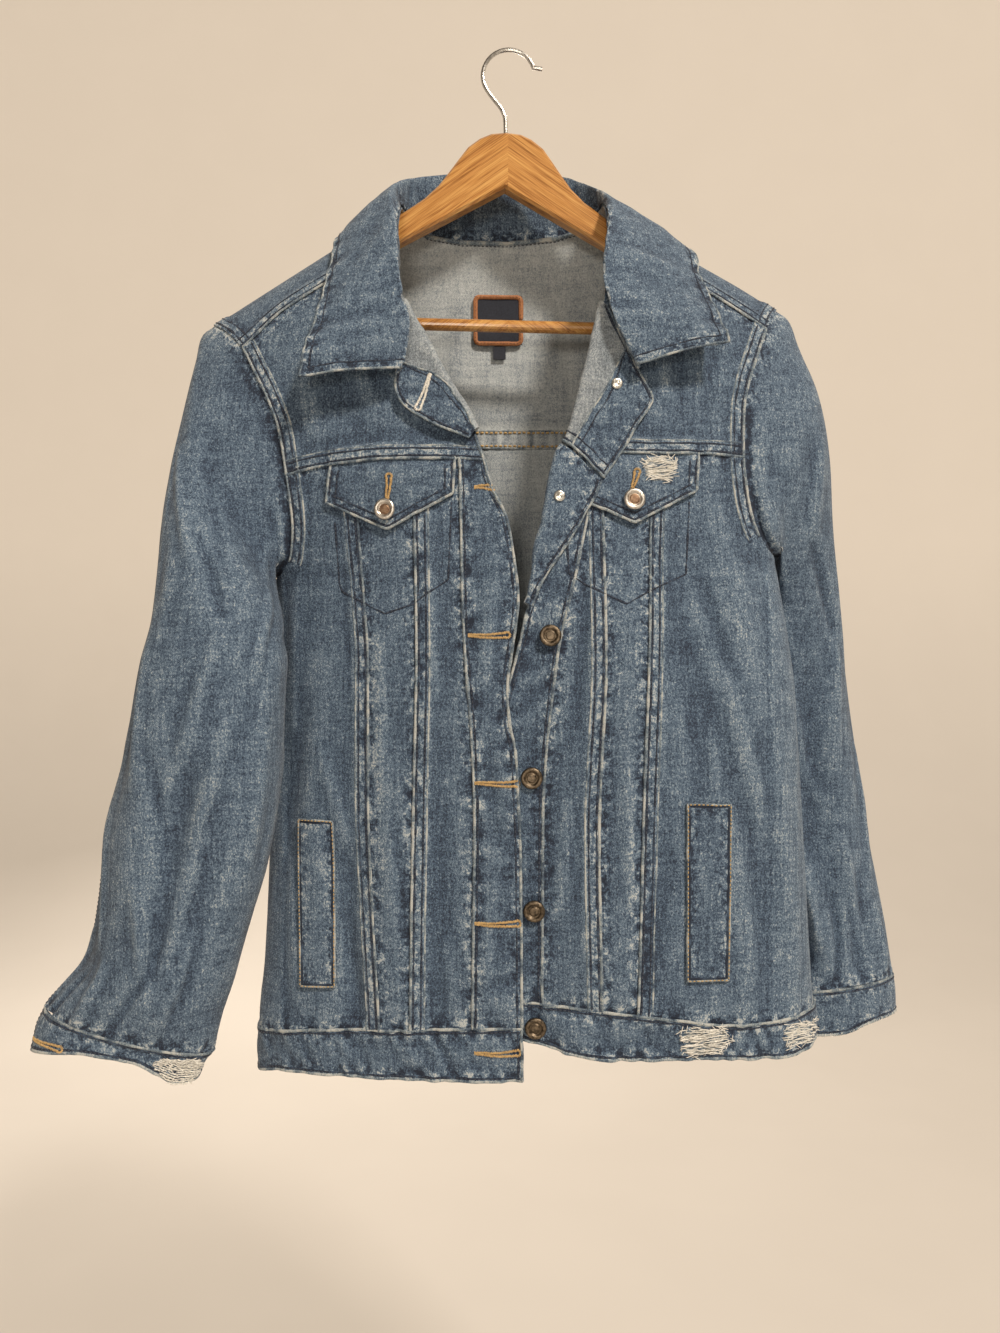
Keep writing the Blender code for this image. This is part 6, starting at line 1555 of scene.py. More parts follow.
def make_collar():
    """The collar, with the crumpling of its fall and the upright puckers of its stand."""
    grid, along, down_it = collar_grid()
    outward = grid_normals(grid, np.broadcast_to(np.array([0, 0, 1.0]), grid.shape))
    stand = np.clip(-down_it / COLLAR_STAND, 0, 1)
    fall = np.clip(down_it / COLLAR_FALL, 0, 1)
    to_edge = down_it.max() - down_it
    to_end = np.minimum(along - along.min(), along.max() - along)
    rim = np.exp(-(np.minimum(to_edge, to_end) / COLLAR_RIM) ** 2)
    relief = ripples("collar_fall", along, down_it) * fall + ripples("collar", along, down_it)
    relief = relief + ripples("collar_stand", along, down_it) * stand
    relief = relief + ripples("collar_rim", along, down_it) * rim
    place_in, half_width, depth = COLLAR_GROOVE
    relief = relief - depth * np.exp(-((to_edge - place_in) / half_width) ** 2)
    spring = np.where(along < along.mean(), COLLAR_SPRING["l"], COLLAR_SPRING["r"])
    spring = spring * fall * (down_it / down_it.max()) ** 2 * np.clip(-outward[..., 1], 0, 1)
    grid = grid + outward * relief[..., None] + np.array([0, -1.0, 0]) * spring[..., None]
    shell("collar", [Patch(grid, outward)], DOUBLE, middle=True)


FOLD_COLUMNS = 9               # round the fold
FOLD_TURN = 150                # degrees that the cloth turns there
FACING_COLUMNS = 22            # over the flat rest of the turned edge,
STRIP_COLUMNS = 8              # of which the first are the grey strip's
FACING_EDGE = {
    # where the grey reverse along the fold ends and the facing begins: x, z
    "l": ((-96, -262), (-80.1, -272.6), (-57.6, -281), (-46.4, -289), (-37, -295), (-10, -298), (0, -306)),
    "r": ((104, -236), (84.9, -268.9), (68.4, -300.4), (48.2, -334.1), (42, -345))}


def fold_line(side):
    """Points down a front's edge, as its yoke and its placket have them."""
    edge = FRONT_EDGE[side]
    low = meet(edge, YOKE_SEAM[side], NEAR_YOKE)[1]
    yoke = down(edge, np.linspace(edge.places[-1], low, 40))
    placket = inner_line(side, edge)
    points = np.concatenate([yoke, placket[1:]])
    sunk = under(placket) if side == "r" else np.zeros(len(placket))
    return points, np.concatenate([np.zeros(len(yoke)), sunk[1:]])


def turn_grid(name, rows):
    """A turned back edge: from the fold, round it, and flat over the front to the cut edge."""
    table = np.array(TURN[name], float)
    line = smooth(table[:, 0], table[:, 1:] * MM, np.linspace(0, 1, rows + 1), True)
    points, lifts = fold_line(name[0])
    places = torso(points, lifts)
    at = np.interp(-line[:, 1], -places[:, 2], np.arange(len(places)))
    whole = np.minimum(at.astype(int), len(places) - 2)
    share = (at - whole)[:, None]
    base = places[whole] * (1 - share) + places[whole + 1] * share
    fold = points[whole] * (1 - share) + points[whole + 1] * share
    edge = cloth(line[:, 2], line[:, 3], FRONT)
    radius = LAPEL_LIFT / 2
    normal = torso_normal(fold)
    onward = torso(edge) - base
    onward = unit(onward - normal * np.sum(onward * normal, axis=1)[:, None])
    base = base - onward * FOLD_GAP
    layers = []
    for turn in np.radians(np.linspace(0, FOLD_TURN, FOLD_COLUMNS)):
        layers.append(base - onward * radius * math.sin(turn) + normal * radius * (1 - math.cos(turn)))
    shift = base - torso(fold)
    split = np.full(len(line), 0.02)
    if name in FACING_EDGE:
        strip = np.array(FACING_EDGE[name]) * MM
        shares = np.linspace(0, 1, 200)[:, None]
        x = line[:, 0] + (line[:, 2] - line[:, 0]) * shares
        z = line[:, 1] + (line[:, 3] - line[:, 1]) * shares
        inside = (x - np.interp(-z, -strip[:, 1], strip[:, 0])) * SIDES[name[0]] < 0
        split = np.clip(inside.mean(axis=0), 0.02, 0.97)
    wide = FACING_COLUMNS - STRIP_COLUMNS
    parts = [split * k / STRIP_COLUMNS for k in range(STRIP_COLUMNS)]
    parts += [split + (1 - split) * k / wide for k in range(wide + 1)]
    for part in parts:
        part = part[:, None]
        layers.append(torso(fold + (edge - fold) * part, np.full(len(fold), LAPEL_LIFT)) + shift * (1 - part))
    return np.array(layers).transpose(1, 0, 2)


def make_facings():
    """The fronts' edges that are turned back below the collar."""
    outward = np.array([0, -1.0, 0])
    for name, node, rows in (("l", "facing_l", 70), ("r", "facing_upper_r", 80),
                             ("r_lower", "facing_lower_r", 60)):
        grid = turn_grid(name, rows)
        normals = Patch(grid, outward).normals
        relief = ripples("facing", grid[..., 2], grid[..., 0]) + DENIM
        patch = Patch(grid + normals * relief[..., None], outward, "tbr")
        grey = FOLD_COLUMNS + STRIP_COLUMNS if name in FACING_EDGE else 0
        # Their grey reverse and inside are the darker copy of the reverse: painted shade.
        shell(node, [patch], DENIM, grey, reverse=DENIM_REVERSE_PAINTED_SHADE)
        if grey:
            line = pace(patch.points[:, grey], patch.normals[:, grey])
            beside = pace(patch.points[:, grey + 2], patch.normals[:, grey + 2], trim=(2 * MM, 2 * MM))
            bead("facing_edge_" + name, [line], 0.8 * MM, 0.7 * MM, DENIM_EDGE)
            seam_row("facing_row_" + name, [beside])


# ---------------------------------------------------------------- what lies on the fronts

def between(first, last, share):
    """Cloth coordinates on the front, at shares of the way from one place to another."""
    (x0, z0), (x1, z1) = first, last
    return cloth(x0 + (x1 - x0) * share, z0 + (z1 - z0) * share, FRONT)


def flap_lift(points):
    """The lift of a flap: less where the yoke covers it."""
    x, _, z = torso_surface(points[..., 0], points[..., 1]).transpose(2, 0, 1)
    seam = np.where(x < 0, YOKE_SEAM["l"](x), YOKE_SEAM["r"](x))
    below = np.clip((seam - z) / FLAP_TUCK, 0, 1)
    return FLAP_LIFT[0] + FLAP_LIFT[1] * below + ripples("flap", x, z) * below


def make_flap(side):
    """A pointed pocket flap, tucked under the yoke's edge."""
    shape = FLAP[side]
    x0, x1 = (point[0] * MM for point in shape["top"])
    side_x, side_z = np.array(shape["side_x"]) * MM, np.array(shape["side_z"]) * MM
    point = np.array(shape["point"]) * MM
    share, part = (np.linspace(0, 1, count) for count in FLAP_GRID)
    seam = YOKE_SEAM[side](x0 + (x1 - x0) * share) + 1 * MM
    top = cloth(x0 + (x1 - x0) * share, seam, FRONT)
    middle = (point[0] - side_x[0]) / (side_x[1] - side_x[0])
    low_x = side_x[0] + (side_x[1] - side_x[0]) * share
    low_z = np.interp(share, (0, middle, 1), (side_z[0], point[1], side_z[1]))
    outer = between((x0, seam[0]), (side_x[0], side_z[0]), part)
    inner = between((x1, seam[-1]), (side_x[1], side_z[1]), part)
    patch = body_patch((top, cloth(low_x, low_z, FRONT), outer, inner), flap_lift, "blr")
    shell("flap_" + side, [patch], DOUBLE)


def make_welt(side):
    """The welt of a side pocket."""
    top, bottom = (np.array(WELT[side][part]) * MM for part in ("top", "bottom"))
    short, long = (np.linspace(0, 1, count) for count in WELT_GRID)
    edges = (between(*top, short), between(*bottom, short),
             between(top[0], bottom[0], long), between(top[1], bottom[1], long))
    shell("welt_" + side, [body_patch(edges, lifted([], side, WELT_LIFT))], DENIM)


# Sections of turned pieces, from the middle of the face outwards and down, in shares of radius and height.
BUTTON_PROFILE = ((0, 0.74), (0.2, 0.74), (0.36, 0.72), (0.4, 0.56), (0.5, 0.5), (0.56, 0.56), (0.62, 0.86),
                  (0.7, 0.98), (0.8, 1), (0.9, 0.94), (0.97, 0.76), (1, 0.5), (0.96, 0.24), (0.8, 0.08),
                  (0.4, 0.04))
RIVET_PROFILE = ((0, 0.75), (0.25, 0.75), (0.4, 1), (0.75, 1), (0.93, 0.8), (1, 0.5), (1, 0), (0, 0))
LATHE_STEPS = 40


def lathe(name, profile, spot, normal, finish, slot, node):
    """A turned piece whose axis stands on a surface. Its points are in the frame's own coordinates."""
    turn = normal.to_track_quat("Z", "Y").to_matrix()
    steps = LATHE_STEPS
    angles = np.linspace(0, 2 * math.pi, steps, endpoint=False)
    points, faces = [], []
    for radius, height in profile[1:-1]:
        for angle in angles:
            points.append(spot + turn @ Vector((radius * math.cos(angle), radius * math.sin(angle), height)))
    for row in range(len(profile) - 3):
        for k in range(steps):
            n = (k + 1) % steps
            faces.append((row * steps + k, row * steps + n, (row + 1) * steps + n, (row + 1) * steps + k))
    last = (len(profile) - 3) * steps
    points += [spot + turn @ Vector((0, 0, profile[0][1])), spot + turn @ Vector((0, 0, profile[-1][1]))]
    top, bottom = len(points) - 2, len(points) - 1
    for k in range(steps):
        n = (k + 1) % steps
        faces += [(top, n, k), (bottom, last + k, last + n)]
    faces = [face[::-1] for face in faces]
    return place(new_mesh(name, points, faces, [finish], smooth_under=45), slot, node)


def jeans_button(name, spot, normal, finish, slot, node, rim=None):
    """A jeans button: a rolled rim, a ring round a raised flat middle, all bare."""
    r, h = BUTTON_RADIUS, BUTTON_HEIGHT
    profile = [(across_it * r, up * h) for across_it, up in BUTTON_PROFILE]
    profile += [(0.3 * r, -BUTTON_CLEAR), (0, -BUTTON_CLEAR)]
    made = lathe(name, profile, spot + normal * BUTTON_CLEAR, normal, finish, slot, node)
    if rim:
        made.data.materials.append(rim)
        for face in made.data.polygons:
            out = Vector(face.center) - spot
            face.material_index = int((out - normal * out.dot(normal)).length > 0.52 * r)
    return made


def on_front(x, z, lift):
    """The place and the normal of a point on the front."""
    point = cloth(np.array([x * MM]), np.array([z * MM]), FRONT)
    sink = float(under(point)[0]) if x > 0 else 0.0
    return Vector(torso(point, np.array([lift + sink]))[0]), Vector(torso_normal(point)[0])


def make_buttons():
    """The buttons of the fronts, the flaps and the cuffs, and the rivets of the two on the turned edge."""
    for number, (x, z) in enumerate(FRONT_BUTTONS, 3):
        spot, normal = on_front(x, z, 1.0 * MM)
        jeans_button("button_front_%d" % number, spot, normal, BRONZE, "bronze", "button_%d" % number)
    for side in SIDES:
        spot, normal = on_front(*FLAP_BUTTON[side], 3.6 * MM)
        jeans_button("button_flap_" + side, spot, normal, COPPER, "copper", "flap_button_" + side, SILVER)
        low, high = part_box("cuff_button_" + side)
        spot = (Vector(low) + Vector(high)) / 2
        outer = surface.find_nearest(spot)
        normal = outer[1] if (spot - outer[0]).dot(outer[1]) > 0 else -outer[1]
        jeans_button("button_cuff_" + side, outer[0], normal, BRONZE, "bronze", "cuff_button_" + side)
    r, h = RIVET_RADIUS, RIVET_HEIGHT
    rivet = [(across_it * r, up * h) for across_it, up in RIVET_PROFILE]
    for number, (x, z) in enumerate(LAPEL_BUTTONS, 1):
        spot, normal = on_front(x, z, LAPEL_LIFT + DENIM + RIVET_CLEAR)
        lathe("rivet_back_%d" % number, rivet, spot, normal, NICKEL, "nickel", "rivet_%d" % number)


def inside(points, depth):
    """Places and normals inside the back, this far below the cloth's outer face."""
    return torso(points, np.full(points.shape[:-1], -depth)), -torso_normal(points)


def inside_patch(x0, x1, z0, z1, depth, columns=24, rows=24):
    """A grid on the inside of the back."""
    x, z = np.meshgrid(np.linspace(x0, x1, columns) * MM, np.linspace(z0, z1, rows) * MM)
    return inside(cloth(x, z, BACK), depth)


def make_label():
    """The bare label inside the neck, with its stitched border, and the bare tab below it."""
    for name, shape, trim in (("neck_label", LABEL, LABEL_TRIM), ("size_tab", SIZE_TAB, 0)):
        (x0, x1), (z0, z1) = shape["x"], shape["z"]
        grid, normal = inside_patch(x0 + trim, x1 - trim, max(z0, z1) - trim, min(z0, z1) + trim,
                                    LABEL_CLEAR + LABEL_WALL * 0.5)
        made = shell(name, [Patch(grid, normal)], LABEL_WALL * 0.8)
        made.data.materials[0] = made.data.materials[1] = NAVY
    (x0, x1), (z0, z1) = LABEL["x"], LABEL["z"]
    turns = np.radians(np.arange(0, 361, 4))
    straight = LABEL_INSET + LABEL_CORNER
    across_it, up = (np.clip(way * 99, -1, 1) * (size / 2 - straight) + way * LABEL_CORNER
                     for way, size in ((np.cos(turns), x1 - x0), (np.sin(turns), abs(z1 - z0))))
    flat = cloth(((x0 + x1) / 2 + across_it) * MM, ((z0 + z1) / 2 + up) * MM, BACK)
    points, normals = inside(flat, LABEL_CLEAR + LABEL_WALL * 0.9)
    bead("label_border", [pace(points, normals)], 1.9 * MM, 0.8 * MM, TAN_THREAD, "label", 0.1)
    stitches = [pace(points + normals * 0.85 * MM, normals)]
    sewing("label_stitches", stitches, DARK_TAN, 1.5 * MM, 1.3 * MM, 0.32 * MM, "label")


# ---------------------------------------------------------------- sewing

# The sewn outline of each chest pocket.
POCKETS = {
    "l": ((-134.5, -392), (-131.5, -440), (-129, -446), (-95, -463.5), (-72, -456), (-58.5, -446),
          (-46, -438), (-43.5, -378)),
    "r": ((44, -410), (45.5, -434), (58, -442.5), (71.5, -449), (88.5, -457), (107.5, -446.5), (134.5, -434),
          (138, -378))}
BUTTONHOLES = (
    # x, z, length, angle
    (-18.5, -368, 15, 0), (-16.5, -480.5, 28, 2), (-10.5, -592, 30, 2), (-10, -697.5, 31, 2),
    (-10, -795.5, 31, 3), (-92.5, -370, 20, 88), (95.5, -364, 14, 80), (-347, -786.5, 25, -10))
WORN_HOLE = (-64, -293.6, 26, -112)
THREAD_STEP = 0.8              # between a buttonhole's threads
EYE_RADIUS = 2.3

OPEN_EDGE_END = -385           # the left front's edge has its ridge from the lapel's foot down to here
YOKE_BAND = (-70, 70, -300.5, -316.5)      # x from and to, z from and to

# Worn places, with loose threads.
THREADS_TO_AREA = 0.22         # loose threads to a square millimetre of a worn place
WEFT_STEP = 1.7                # between the rows that they lie in
WORN_STEPS = 60
RIPS = (
    # x, z, width, height, tilt
    (115.5, -353, 25, 23, 8), (147, -785, 40, 24, 4), (222, -784, 30, 20, 8))


def laid(points, lift=0.15 * MM):
    """A line given by places across and heights on the front, laid on whatever is outermost there."""
    points = np.array(points, float) * MM
    places = run(points)
    at = np.linspace(0, places[-1], max(3, int(places[-1] / LINE_STEP)))
    x, z = (np.interp(at, places, points[:, k]) for k in (0, 1))
    flat = cloth(x, z, FRONT)
    base, normal = torso(flat), torso_normal(flat)
    spots = []
    for point, up in zip(base, normal):
        hit = surface.ray_cast(Vector(point + up * 16 * MM), Vector(-up), 0.03)
        spots.append(np.array(hit[0]) if hit[0] else point)
    return [np.array(spots) + normal * lift, normal]


def seen(x, z):
    """The outermost place of the cloth in front, and its normal, at a place across and a height."""
    spot, up, _, _ = surface.ray_cast(Vector((x * MM, -0.6, z * MM)), Vector((0, 1, 0)))
    return np.array(spot), np.array(up if up.y < 0 else -up)


def tilted(x, z, a, b, turn):
    """Places a along and b across a line that is turned round a point."""
    return x + a * math.cos(turn) - b * math.sin(turn), z + a * math.sin(turn) + b * math.cos(turn)


def buttonhole(x, z, length, angle):
    """Threads round a slit with a round eye at its right or lower end, as middles, directions and normals."""
    turn = math.radians(angle)
    places = []
    count = int(length / THREAD_STEP)
    for k in range(count):
        share = k / (count - 1)
        bow = 0.7 * math.sin(3.5 * share + x)
        for sign in (-1, 1):
            aside = bow + sign * (0.5 + 1.3 * share) + rng.normal(0, 0.12)
            places.append((length * (share - 0.5), aside, math.pi / 2 + rng.normal(0, 0.15)))
    for k in range(13):
        round_it = -math.pi * 0.8 + 1.6 * math.pi * k / 12
        eye = length / 2 + 1.2 + EYE_RADIUS * math.cos(round_it)
        places.append((eye, bow + EYE_RADIUS * math.sin(round_it), round_it))
    hits = [seen(*tilted(x, z, a, b, turn)) for a, b, _ in places]
    spots = np.array([spot + up * 0.35 * MM for spot, up in hits])
    ways = np.array([(math.cos(turn + way), 0, math.sin(turn + way)) for _, _, way in places])
    return spots, ways, np.array([up for _, up in hits])


def rows_on(name, borders, insets=(NEAR_ROW, FAR_ROW), trim=(1.5 * MM, 1.5 * MM), lift=0.12 * MM, patch=0):
    """Tracks for rows of stitches beside some borders of a piece."""
    patch = made_patches[name][patch]
    return [patch.track(border, inset, trim, lift) for border in borders for inset in insets]


def edges_on(name, borders, patch=0, inset=0.6 * MM):
    """Tracks for worn ridges on some borders of a piece."""
    return [made_patches[name][patch].track(border, inset) for border in borders]


def seam_row(name, rows):
    """Rows of navy stitches, each on a thin dark strip of painted shade that stands for the groove it pulls
    into the cloth.
    """
    bead(name + "_groove", rows, 0.8 * MM, 0.13 * MM, DENIM_GROOVE_PAINTED_SHADE, rough=0.5)
    sewing(name, rows, NAVY_THREAD, radius=0.4 * MM)


# The seams of a side's pieces that have two rows of stitches and a worn edge: piece, border, patch.
FELLED = (("front_yoke_", "b", 0), ("front_yoke_", "l", 0), ("front_side_", "r", 0), ("front_side_", "r", 1),
          ("front_side_", "l", 0), ("front_centre_", "l", 0))
# A side's other rows: piece, borders with stitches, insets, trim at both ends, borders with a worn edge.
TOPSTITCHED = (("placket_", "l", (3.2,), 1.5, ""), ("placket_", "r", (4,), 1.5, "lr"),
               ("hem_band_", "tb", (3,), 1.5, ""), ("hem_band_", "r", (3.5,), 1.5, "tbr"),
               ("flap_", "blr", (2.6, 7.8), 6, "blr"), ("cuff_", "tblr", (3,), 1.5, "tblr"),
               ("top_sleeve_", "l", (2.6, 8.6), 1.5, "l"))
FAR_EDGE = 11.2 * MM           # the inner end of a felled seam's raised strip


def sew_side(side):
    """The stitches and worn edges of one front, its sleeve and its pockets."""
    rows, ridges, far = [], [], []
    for name, borders, patch in FELLED:
        rows += rows_on(name + side, borders, patch=patch)
        ridges += edges_on(name + side, borders, patch)
        far += edges_on(name + side, borders, patch, FAR_EDGE)
    for name, borders, insets, trim, worn in TOPSTITCHED:
        rows += rows_on(name + side, borders, [inset * MM for inset in insets], (trim * MM, trim * MM))
        ridges += edges_on(name + side, worn)
    seam_row("stitches_" + side, rows)
    bead("far_edges_" + side, far, 0.75 * MM, 0.35 * MM, DENIM_EDGE)
    bead("edges_" + side, ridges, 1.1 * MM, 0.6 * MM, DENIM_EDGE)
    seam_row("pocket_stitches_" + side, [laid(POCKETS[side])])
    # A dark strip just inside each welt's edge: painted shade.
    groove_shade_tracks = rows_on("welt_" + side, "tblr", (2.2 * MM,), (2 * MM, 2 * MM))
    bead("welt_groove_shades_" + side, groove_shade_tracks, 0.9 * MM, 0.2 * MM, DENIM_GROOVE_PAINTED_SHADE, rough=0.4)
    welt = rows_on("welt_" + side, "tblr", (0.9 * MM,), (1 * MM, 1 * MM), 0.7 * MM)
    sewing("welt_stitches_" + side, welt, GOLD_THREAD, 2.2 * MM, 0.8 * MM, 0.4 * MM)
    bead("welt_edges_" + side, edges_on("welt_" + side, "tblr"), 0.9 * MM, 0.7 * MM, DENIM_EDGE)
    for node in ("facing_l",) if side == "l" else ("facing_upper_r", "facing_lower_r"):
        rows = rows_on(node, "r", (3 * MM,))
        if node == "facing_upper_r":
            rows += rows_on(node, "b")
            bead("edges_seam_" + node, edges_on(node, "b"), 1.1 * MM, 0.9 * MM, DENIM_EDGE)
        seam_row("stitches_" + node, rows)
        bead("edges_" + node, edges_on(node, "r"), 0.9 * MM, 0.5 * MM, DENIM_EDGE)


def sew_back_and_collar():
    """The left front's open edge, and the stitches and worn edges of the back and the collar."""
    line = torso(*fold_line("l")) / MM
    open_edge = [(x - 1.0, z) for x, _, z in line if OPEN_EDGE_END < z < TURN["l"][-1][2]]
    bead("open_edge_l", [laid(open_edge)], 1.2 * MM, 0.9 * MM, DENIM_EDGE)

    rows, ridges = [], []
    for border, patch in (("b", 0), ("b", 1), ("b", 2), ("t", 0), ("t", 1), ("l", 0), ("l", 1)):
        rows += rows_on("back_yoke", border, patch=patch, trim=(0.2 * MM, 0.2 * MM))
        if border != "l":
            ridges += edges_on("back_yoke", border, patch)
    rows += rows_on("back_panel", "lr") + rows_on("hem_band_back", "tb", (3 * MM,))
    seam_row("stitches_back", rows)
    bead("edges_back", ridges + edges_on("hem_band_back", "tb"), 1.1 * MM, 0.6 * MM, DENIM_EDGE)
    seam_row("stitches_collar", rows_on("collar", "rtb", (6.5 * MM,), (5 * MM, 5 * MM), DOUBLE / 2))
    ridges = [pace(points + normals * DOUBLE / 2, normals) for points, normals in edges_on("collar", "rtb")]
    bead("edges_collar", ridges, 0.9 * MM, 0.5 * MM, DENIM_EDGE)


def make_buttonholes():
    """The buttonholes' threads, and those of the worn one on the turned edge."""
    for name, holes, thread_of in (("buttonholes", BUTTONHOLES, GOLD_THREAD),
                                   ("worn_buttonhole", (WORN_HOLE,), CREAM_THREAD)):
        made = [buttonhole(*hole) for hole in holes]
        spots, ways, ups = (np.concatenate([hole[k] for hole in made]) for k in range(3))
        spindles(name, spots, ways, ups, thread_of, 2.3 * MM, 0.42 * MM)


def sew_inside():
    """The grey band with gold stitches inside the back yoke, and the piping and its row inside the neck."""
    grid, normal = inside_patch(*YOKE_BAND, DENIM + 1.0 * MM, 110, 12)
    grid = grid + normal * ripples("yoke_band", grid[..., 0], grid[..., 2])[..., None]
    shell("yoke_band_inside", [Patch(grid, normal)], 0.7 * MM, grid.shape[1])
    inside_rows = rows_on("yoke_band_inside", "tb", (2.2 * MM,), lift=0.25 * MM)
    sewing("inside_yoke_stitches", inside_rows, GOLD_THREAD, 3.4 * MM, 0.6 * MM, 0.95 * MM)
    bead("inside_yoke_edges", edges_on("yoke_band_inside", "tb"), 0.9 * MM, 0.7 * MM, DENIM_EDGE)
    line = neckline()
    line = line[line[:, 1] > 0.5 * MM]
    bead("neck_piping", [pace(*inside(line, DENIM + 0.6 * MM))], 1.8 * MM, 1.2 * MM, DENIM_EDGE, rough=0.15)
    below = pace(*inside(line + np.array([0, 3.2 * MM]), DENIM + 0.2 * MM))
    sewing("neck_stitches", [below], NAVY_THREAD, radius=0.4 * MM)


def frayed(name, spots, normals, width, height, tilt, middle):
    """Loose cream weft threads across a worn place, and short fibres round it."""
    count = len(spots)
    level_way = np.array([math.cos(math.radians(tilt)), 0, math.sin(math.radians(tilt))])
    way = level_way + rng.normal(0, 0.16, (count, 3)) * [0.3, 0.5, 1]
    away = np.linalg.norm((spots - middle) / [width / 2, 1, height / 2] * [1, 0, 1], axis=1)
    way = unit(way + (away > 0.85)[:, None] * rng.normal(0, 0.6, (count, 3)))
    lifts = rng.uniform(0.2, 1.3, (count, 1)) * MM
    spindles(name, spots + normals * lifts, way, normals, CREAM_THREAD, 7.5 * MM, 0.3 * MM)


def scattered(count):
    """Random places in a round field: shares of its radius, and angles."""
    return np.sqrt(rng.uniform(0, 1, count)), rng.uniform(0, 2 * math.pi, count)


def make_worn_place(number, x, z, width, height, tilt):
    """One worn place on the front: its bared cloth, darkened with painted shade between the threads, and the
    weft threads over it.
    """
    turn = math.radians(tilt)
    radius, angle = scattered(int(width * height * THREADS_TO_AREA))
    lobes = 0.1 * np.sin(3 * angle + number) + 0.1 * np.sin(7 * angle + 2 * number) - 0.12 * np.cos(4 * angle)
    radius = radius * (1 + lobes)
    rows = np.round(radius * np.sin(angle) * height / 2 / WEFT_STEP) * WEFT_STEP
    a, b = radius * np.cos(angle) * width / 2, rows + rng.normal(0, 0.25, len(radius))
    flat = np.stack(tilted(x, z, a, b, turn), 1)
    spots = np.concatenate([laid([point, point], 0.1 * MM)[0][:1] for point in flat])
    normals = torso_normal(cloth(*(flat * MM).T, FRONT))
    frayed("rip_threads_%d" % number, spots, normals, width * MM, height * MM, tilt, np.array([x, 0, z]) * MM)
    points = []
    for share in (0, 0.35, 0.7, 1.0):
        for way in np.radians(np.arange(0, 360, 360 / WORN_STEPS)):
            out = share * (0.88 - 0.1 * math.cos(4 * way) + 0.07 * math.sin(3 * way + number))
            a, b = out * math.cos(way) * width / 2, out * math.sin(way) * height / 2
            spot, up = seen(*tilted(x, z, a, b, turn))
            points.append(spot + up * (0.35 - 0.3 * share) * MM)
    faces = []
    for start in range(0, 3 * WORN_STEPS, WORN_STEPS):
        for k in range(WORN_STEPS):
            n = (k + 1) % WORN_STEPS
            faces.append((start + k, start + n, start + WORN_STEPS + n, start + WORN_STEPS + k))
    place(new_mesh("worn_place_%d" % number, points, faces, [DENIM_WORN_PAINTED_SHADE]), "denim")


def fray_left_cuff():
    """The loose threads over the left cuff's rip."""
    patch = made_patches["cuff_l"][0]
    rows = len(patch.points)
    radius, angle = scattered(420)
    row = np.clip(rows * 0.62 + radius * np.sin(angle) * rows * 0.4, 0, rows - 1).astype(int)
    column = (68 + radius * np.cos(angle) * 10).astype(int)
    spots, normals = patch.points[row, column], patch.normals[row, column]
    along = unit(patch.points[row, column + 1] - patch.points[row, column - 1])
    along = unit(along + rng.normal(0, 0.22, (len(row), 3)))
    lifts = rng.uniform(0.2, 1.4, (len(row), 1)) * MM
    spindles("rip_threads_cuff", spots + normals * lifts, along, normals, CREAM_THREAD, 6 * MM, 0.26 * MM)


def fray_right_cuff():
    """The short fibres along the right cuff's edge."""
    count = 260
    spots, normals = made_patches["cuff_r"][0].track("b", 0.4 * MM)
    picked = rng.integers(0, len(spots), count)
    spots, normals = spots[picked] + rng.normal(0, 0.5 * MM, (count, 3)), normals[picked]
    ways = unit(np.array([0, 0, -1.0]) + rng.normal(0, 0.7, (count, 3)))
    spindles("frayed_cuff", spots, ways, normals, CREAM_THREAD, 3 * MM, 0.2 * MM)


def carried(name, finish):
    """Gives a CAD node that stays its finish."""
    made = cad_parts[name]
    made.data.materials.clear()
    made.data.materials.append(finish)


# ---------------------------------------------------------------- the stage

WALL = 4.0                     # how far behind the jacket the backdrop stands, and the radius of its foot
FOOT = 1.5
GROUND = -1.6
WIDE = 30                      # half the floor's width
LIGHT = (1.0, 0.88, 0.74)
LIGHTS = (
    # name, place, what it's aimed at, size, power
    ("key", (2.7, -4.2, 4.3), (0, 0, -0.45), 0.9, 470),
    ("fill", (-0.6, -5.2, -0.2), (0, 0, -0.45), 1.0, 52),
    ("back", (-1.0, 3.2, 0.4), (0, 0, -0.5), 1.2, 110))
SKY = (0.74, 0.60, 0.455, 1)
SKY_STRENGTH = 0.26
CAMERA_PLACE = (-0.0066, -0.82, -0.504)
CAMERA_LENS = 27               # on a sensor 36 wide
SENSOR = 36


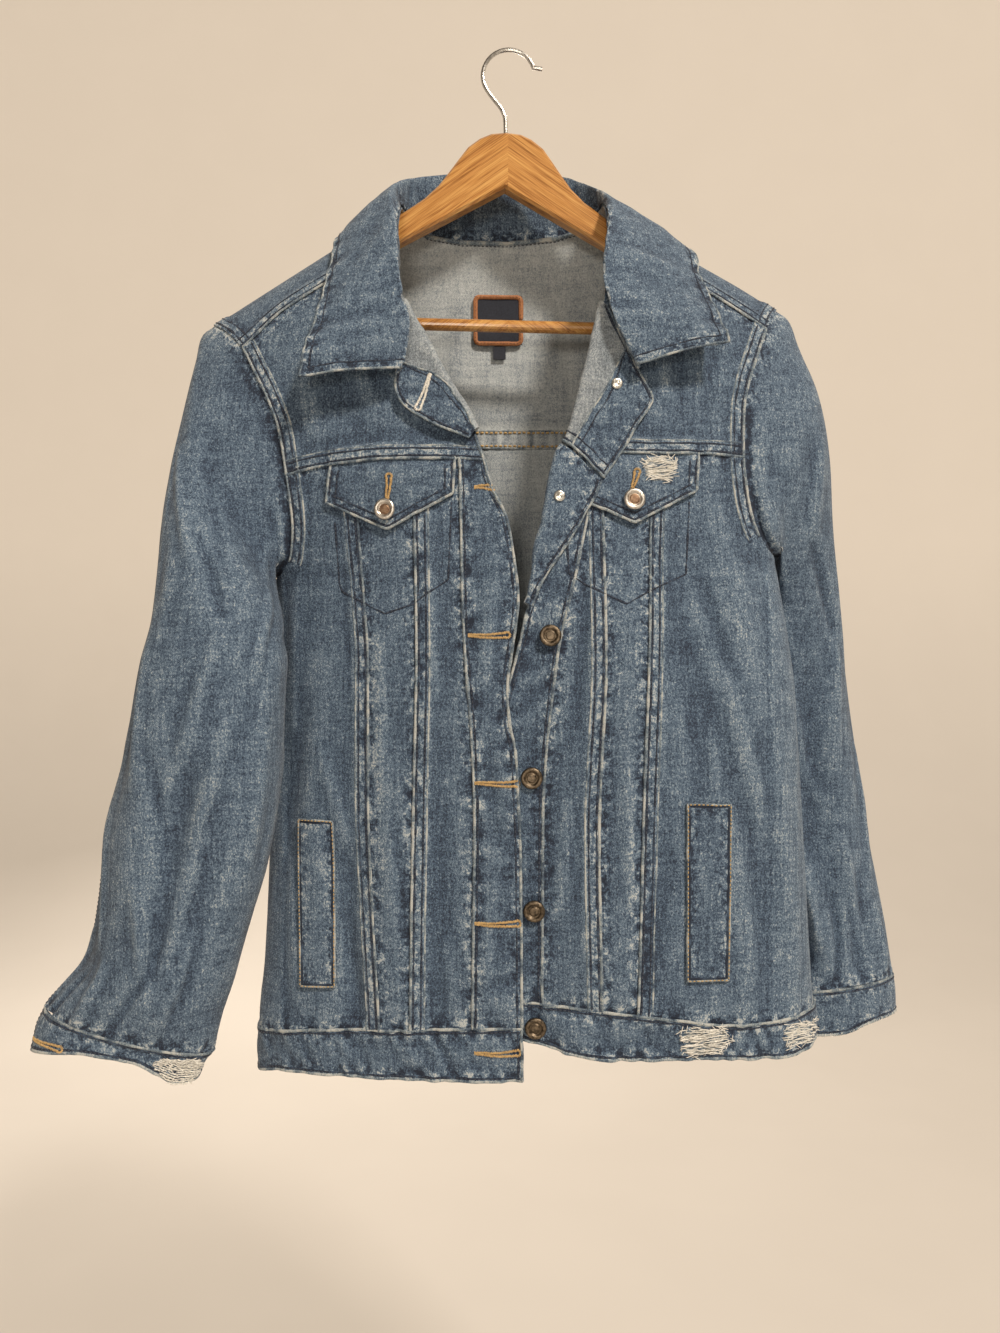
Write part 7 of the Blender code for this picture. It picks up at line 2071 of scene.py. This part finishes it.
def make_stage():
    """A plain pale floor that glows with painted light, soft light and the photograph's camera."""
    start = WALL - FOOT
    profile = [(-WIDE, GROUND), (start, GROUND)]
    profile += [(start + FOOT * math.sin(turn), GROUND + FOOT * (1 - math.cos(turn)))
                for turn in np.radians(range(5, 91, 5))]
    profile.append((WALL, 20))
    points = [(x, y, z) for y, z in profile for x in (-WIDE, WIDE)]
    faces = [(2 * k, 2 * k + 1, 2 * k + 3, 2 * k + 2) for k in range(len(profile) - 1)]
    new_mesh("floor", points, faces, [FLOOR])
    scene = bpy.context.scene
    scene.world = scene.world or bpy.data.worlds.new("world")
    scene.world.use_nodes = True
    back = scene.world.node_tree.nodes["Background"]
    back.inputs["Color"].default_value = SKY
    back.inputs["Strength"].default_value = SKY_STRENGTH
    for name, spot, aim, size, power in LIGHTS:
        light = bpy.data.lights.new(name, "AREA")
        light.size = size
        light.energy = power
        light.color = LIGHT
        made = linked(name, light)
        made.location = spot
        made.rotation_euler = (Vector(aim) - Vector(spot)).to_track_quat("-Z", "Y").to_euler()
        made.visible_camera = False
    scene.view_settings.view_transform = "Standard"
    camera = bpy.data.cameras.new("camera")
    camera.lens = CAMERA_LENS
    camera.sensor_width = SENSOR
    scene.camera = linked("camera", camera)
    scene.camera.location = CAMERA_PLACE
    scene.camera.rotation_euler = (math.radians(90), 0, 0)


make_back()
for side in SIDES:
    make_front(side)
    make_sleeve(side)
    make_cuff(side)
    make_flap(side)
    make_welt(side)
make_collar()
make_facings()

# The outer faces of all cloth, to lay sewing on.
corners, faces = [], []
for patches in made_patches.values():
    for patch in patches:
        rows, columns = patch.points.shape[:2]
        numbers = np.arange(rows * columns).reshape(rows, columns) + len(corners)
        corners += patch.points.reshape(-1, 3).tolist()
        faces += grid_faces(numbers).tolist()
surface = BVHTree.FromPolygons(corners, faces)

make_label()
make_buttons()
for side in SIDES:
    sew_side(side)
sew_back_and_collar()
make_buttonholes()
sew_inside()
for number, rip in enumerate(RIPS):
    make_worn_place(number, *rip)
fray_left_cuff()
fray_right_cuff()
for name, finish in (("hanger_wood", WOOD), ("hanger_bar", WOOD), ("hanger_hook_wire", STEEL)):
    carried(name, finish)
make_stage()
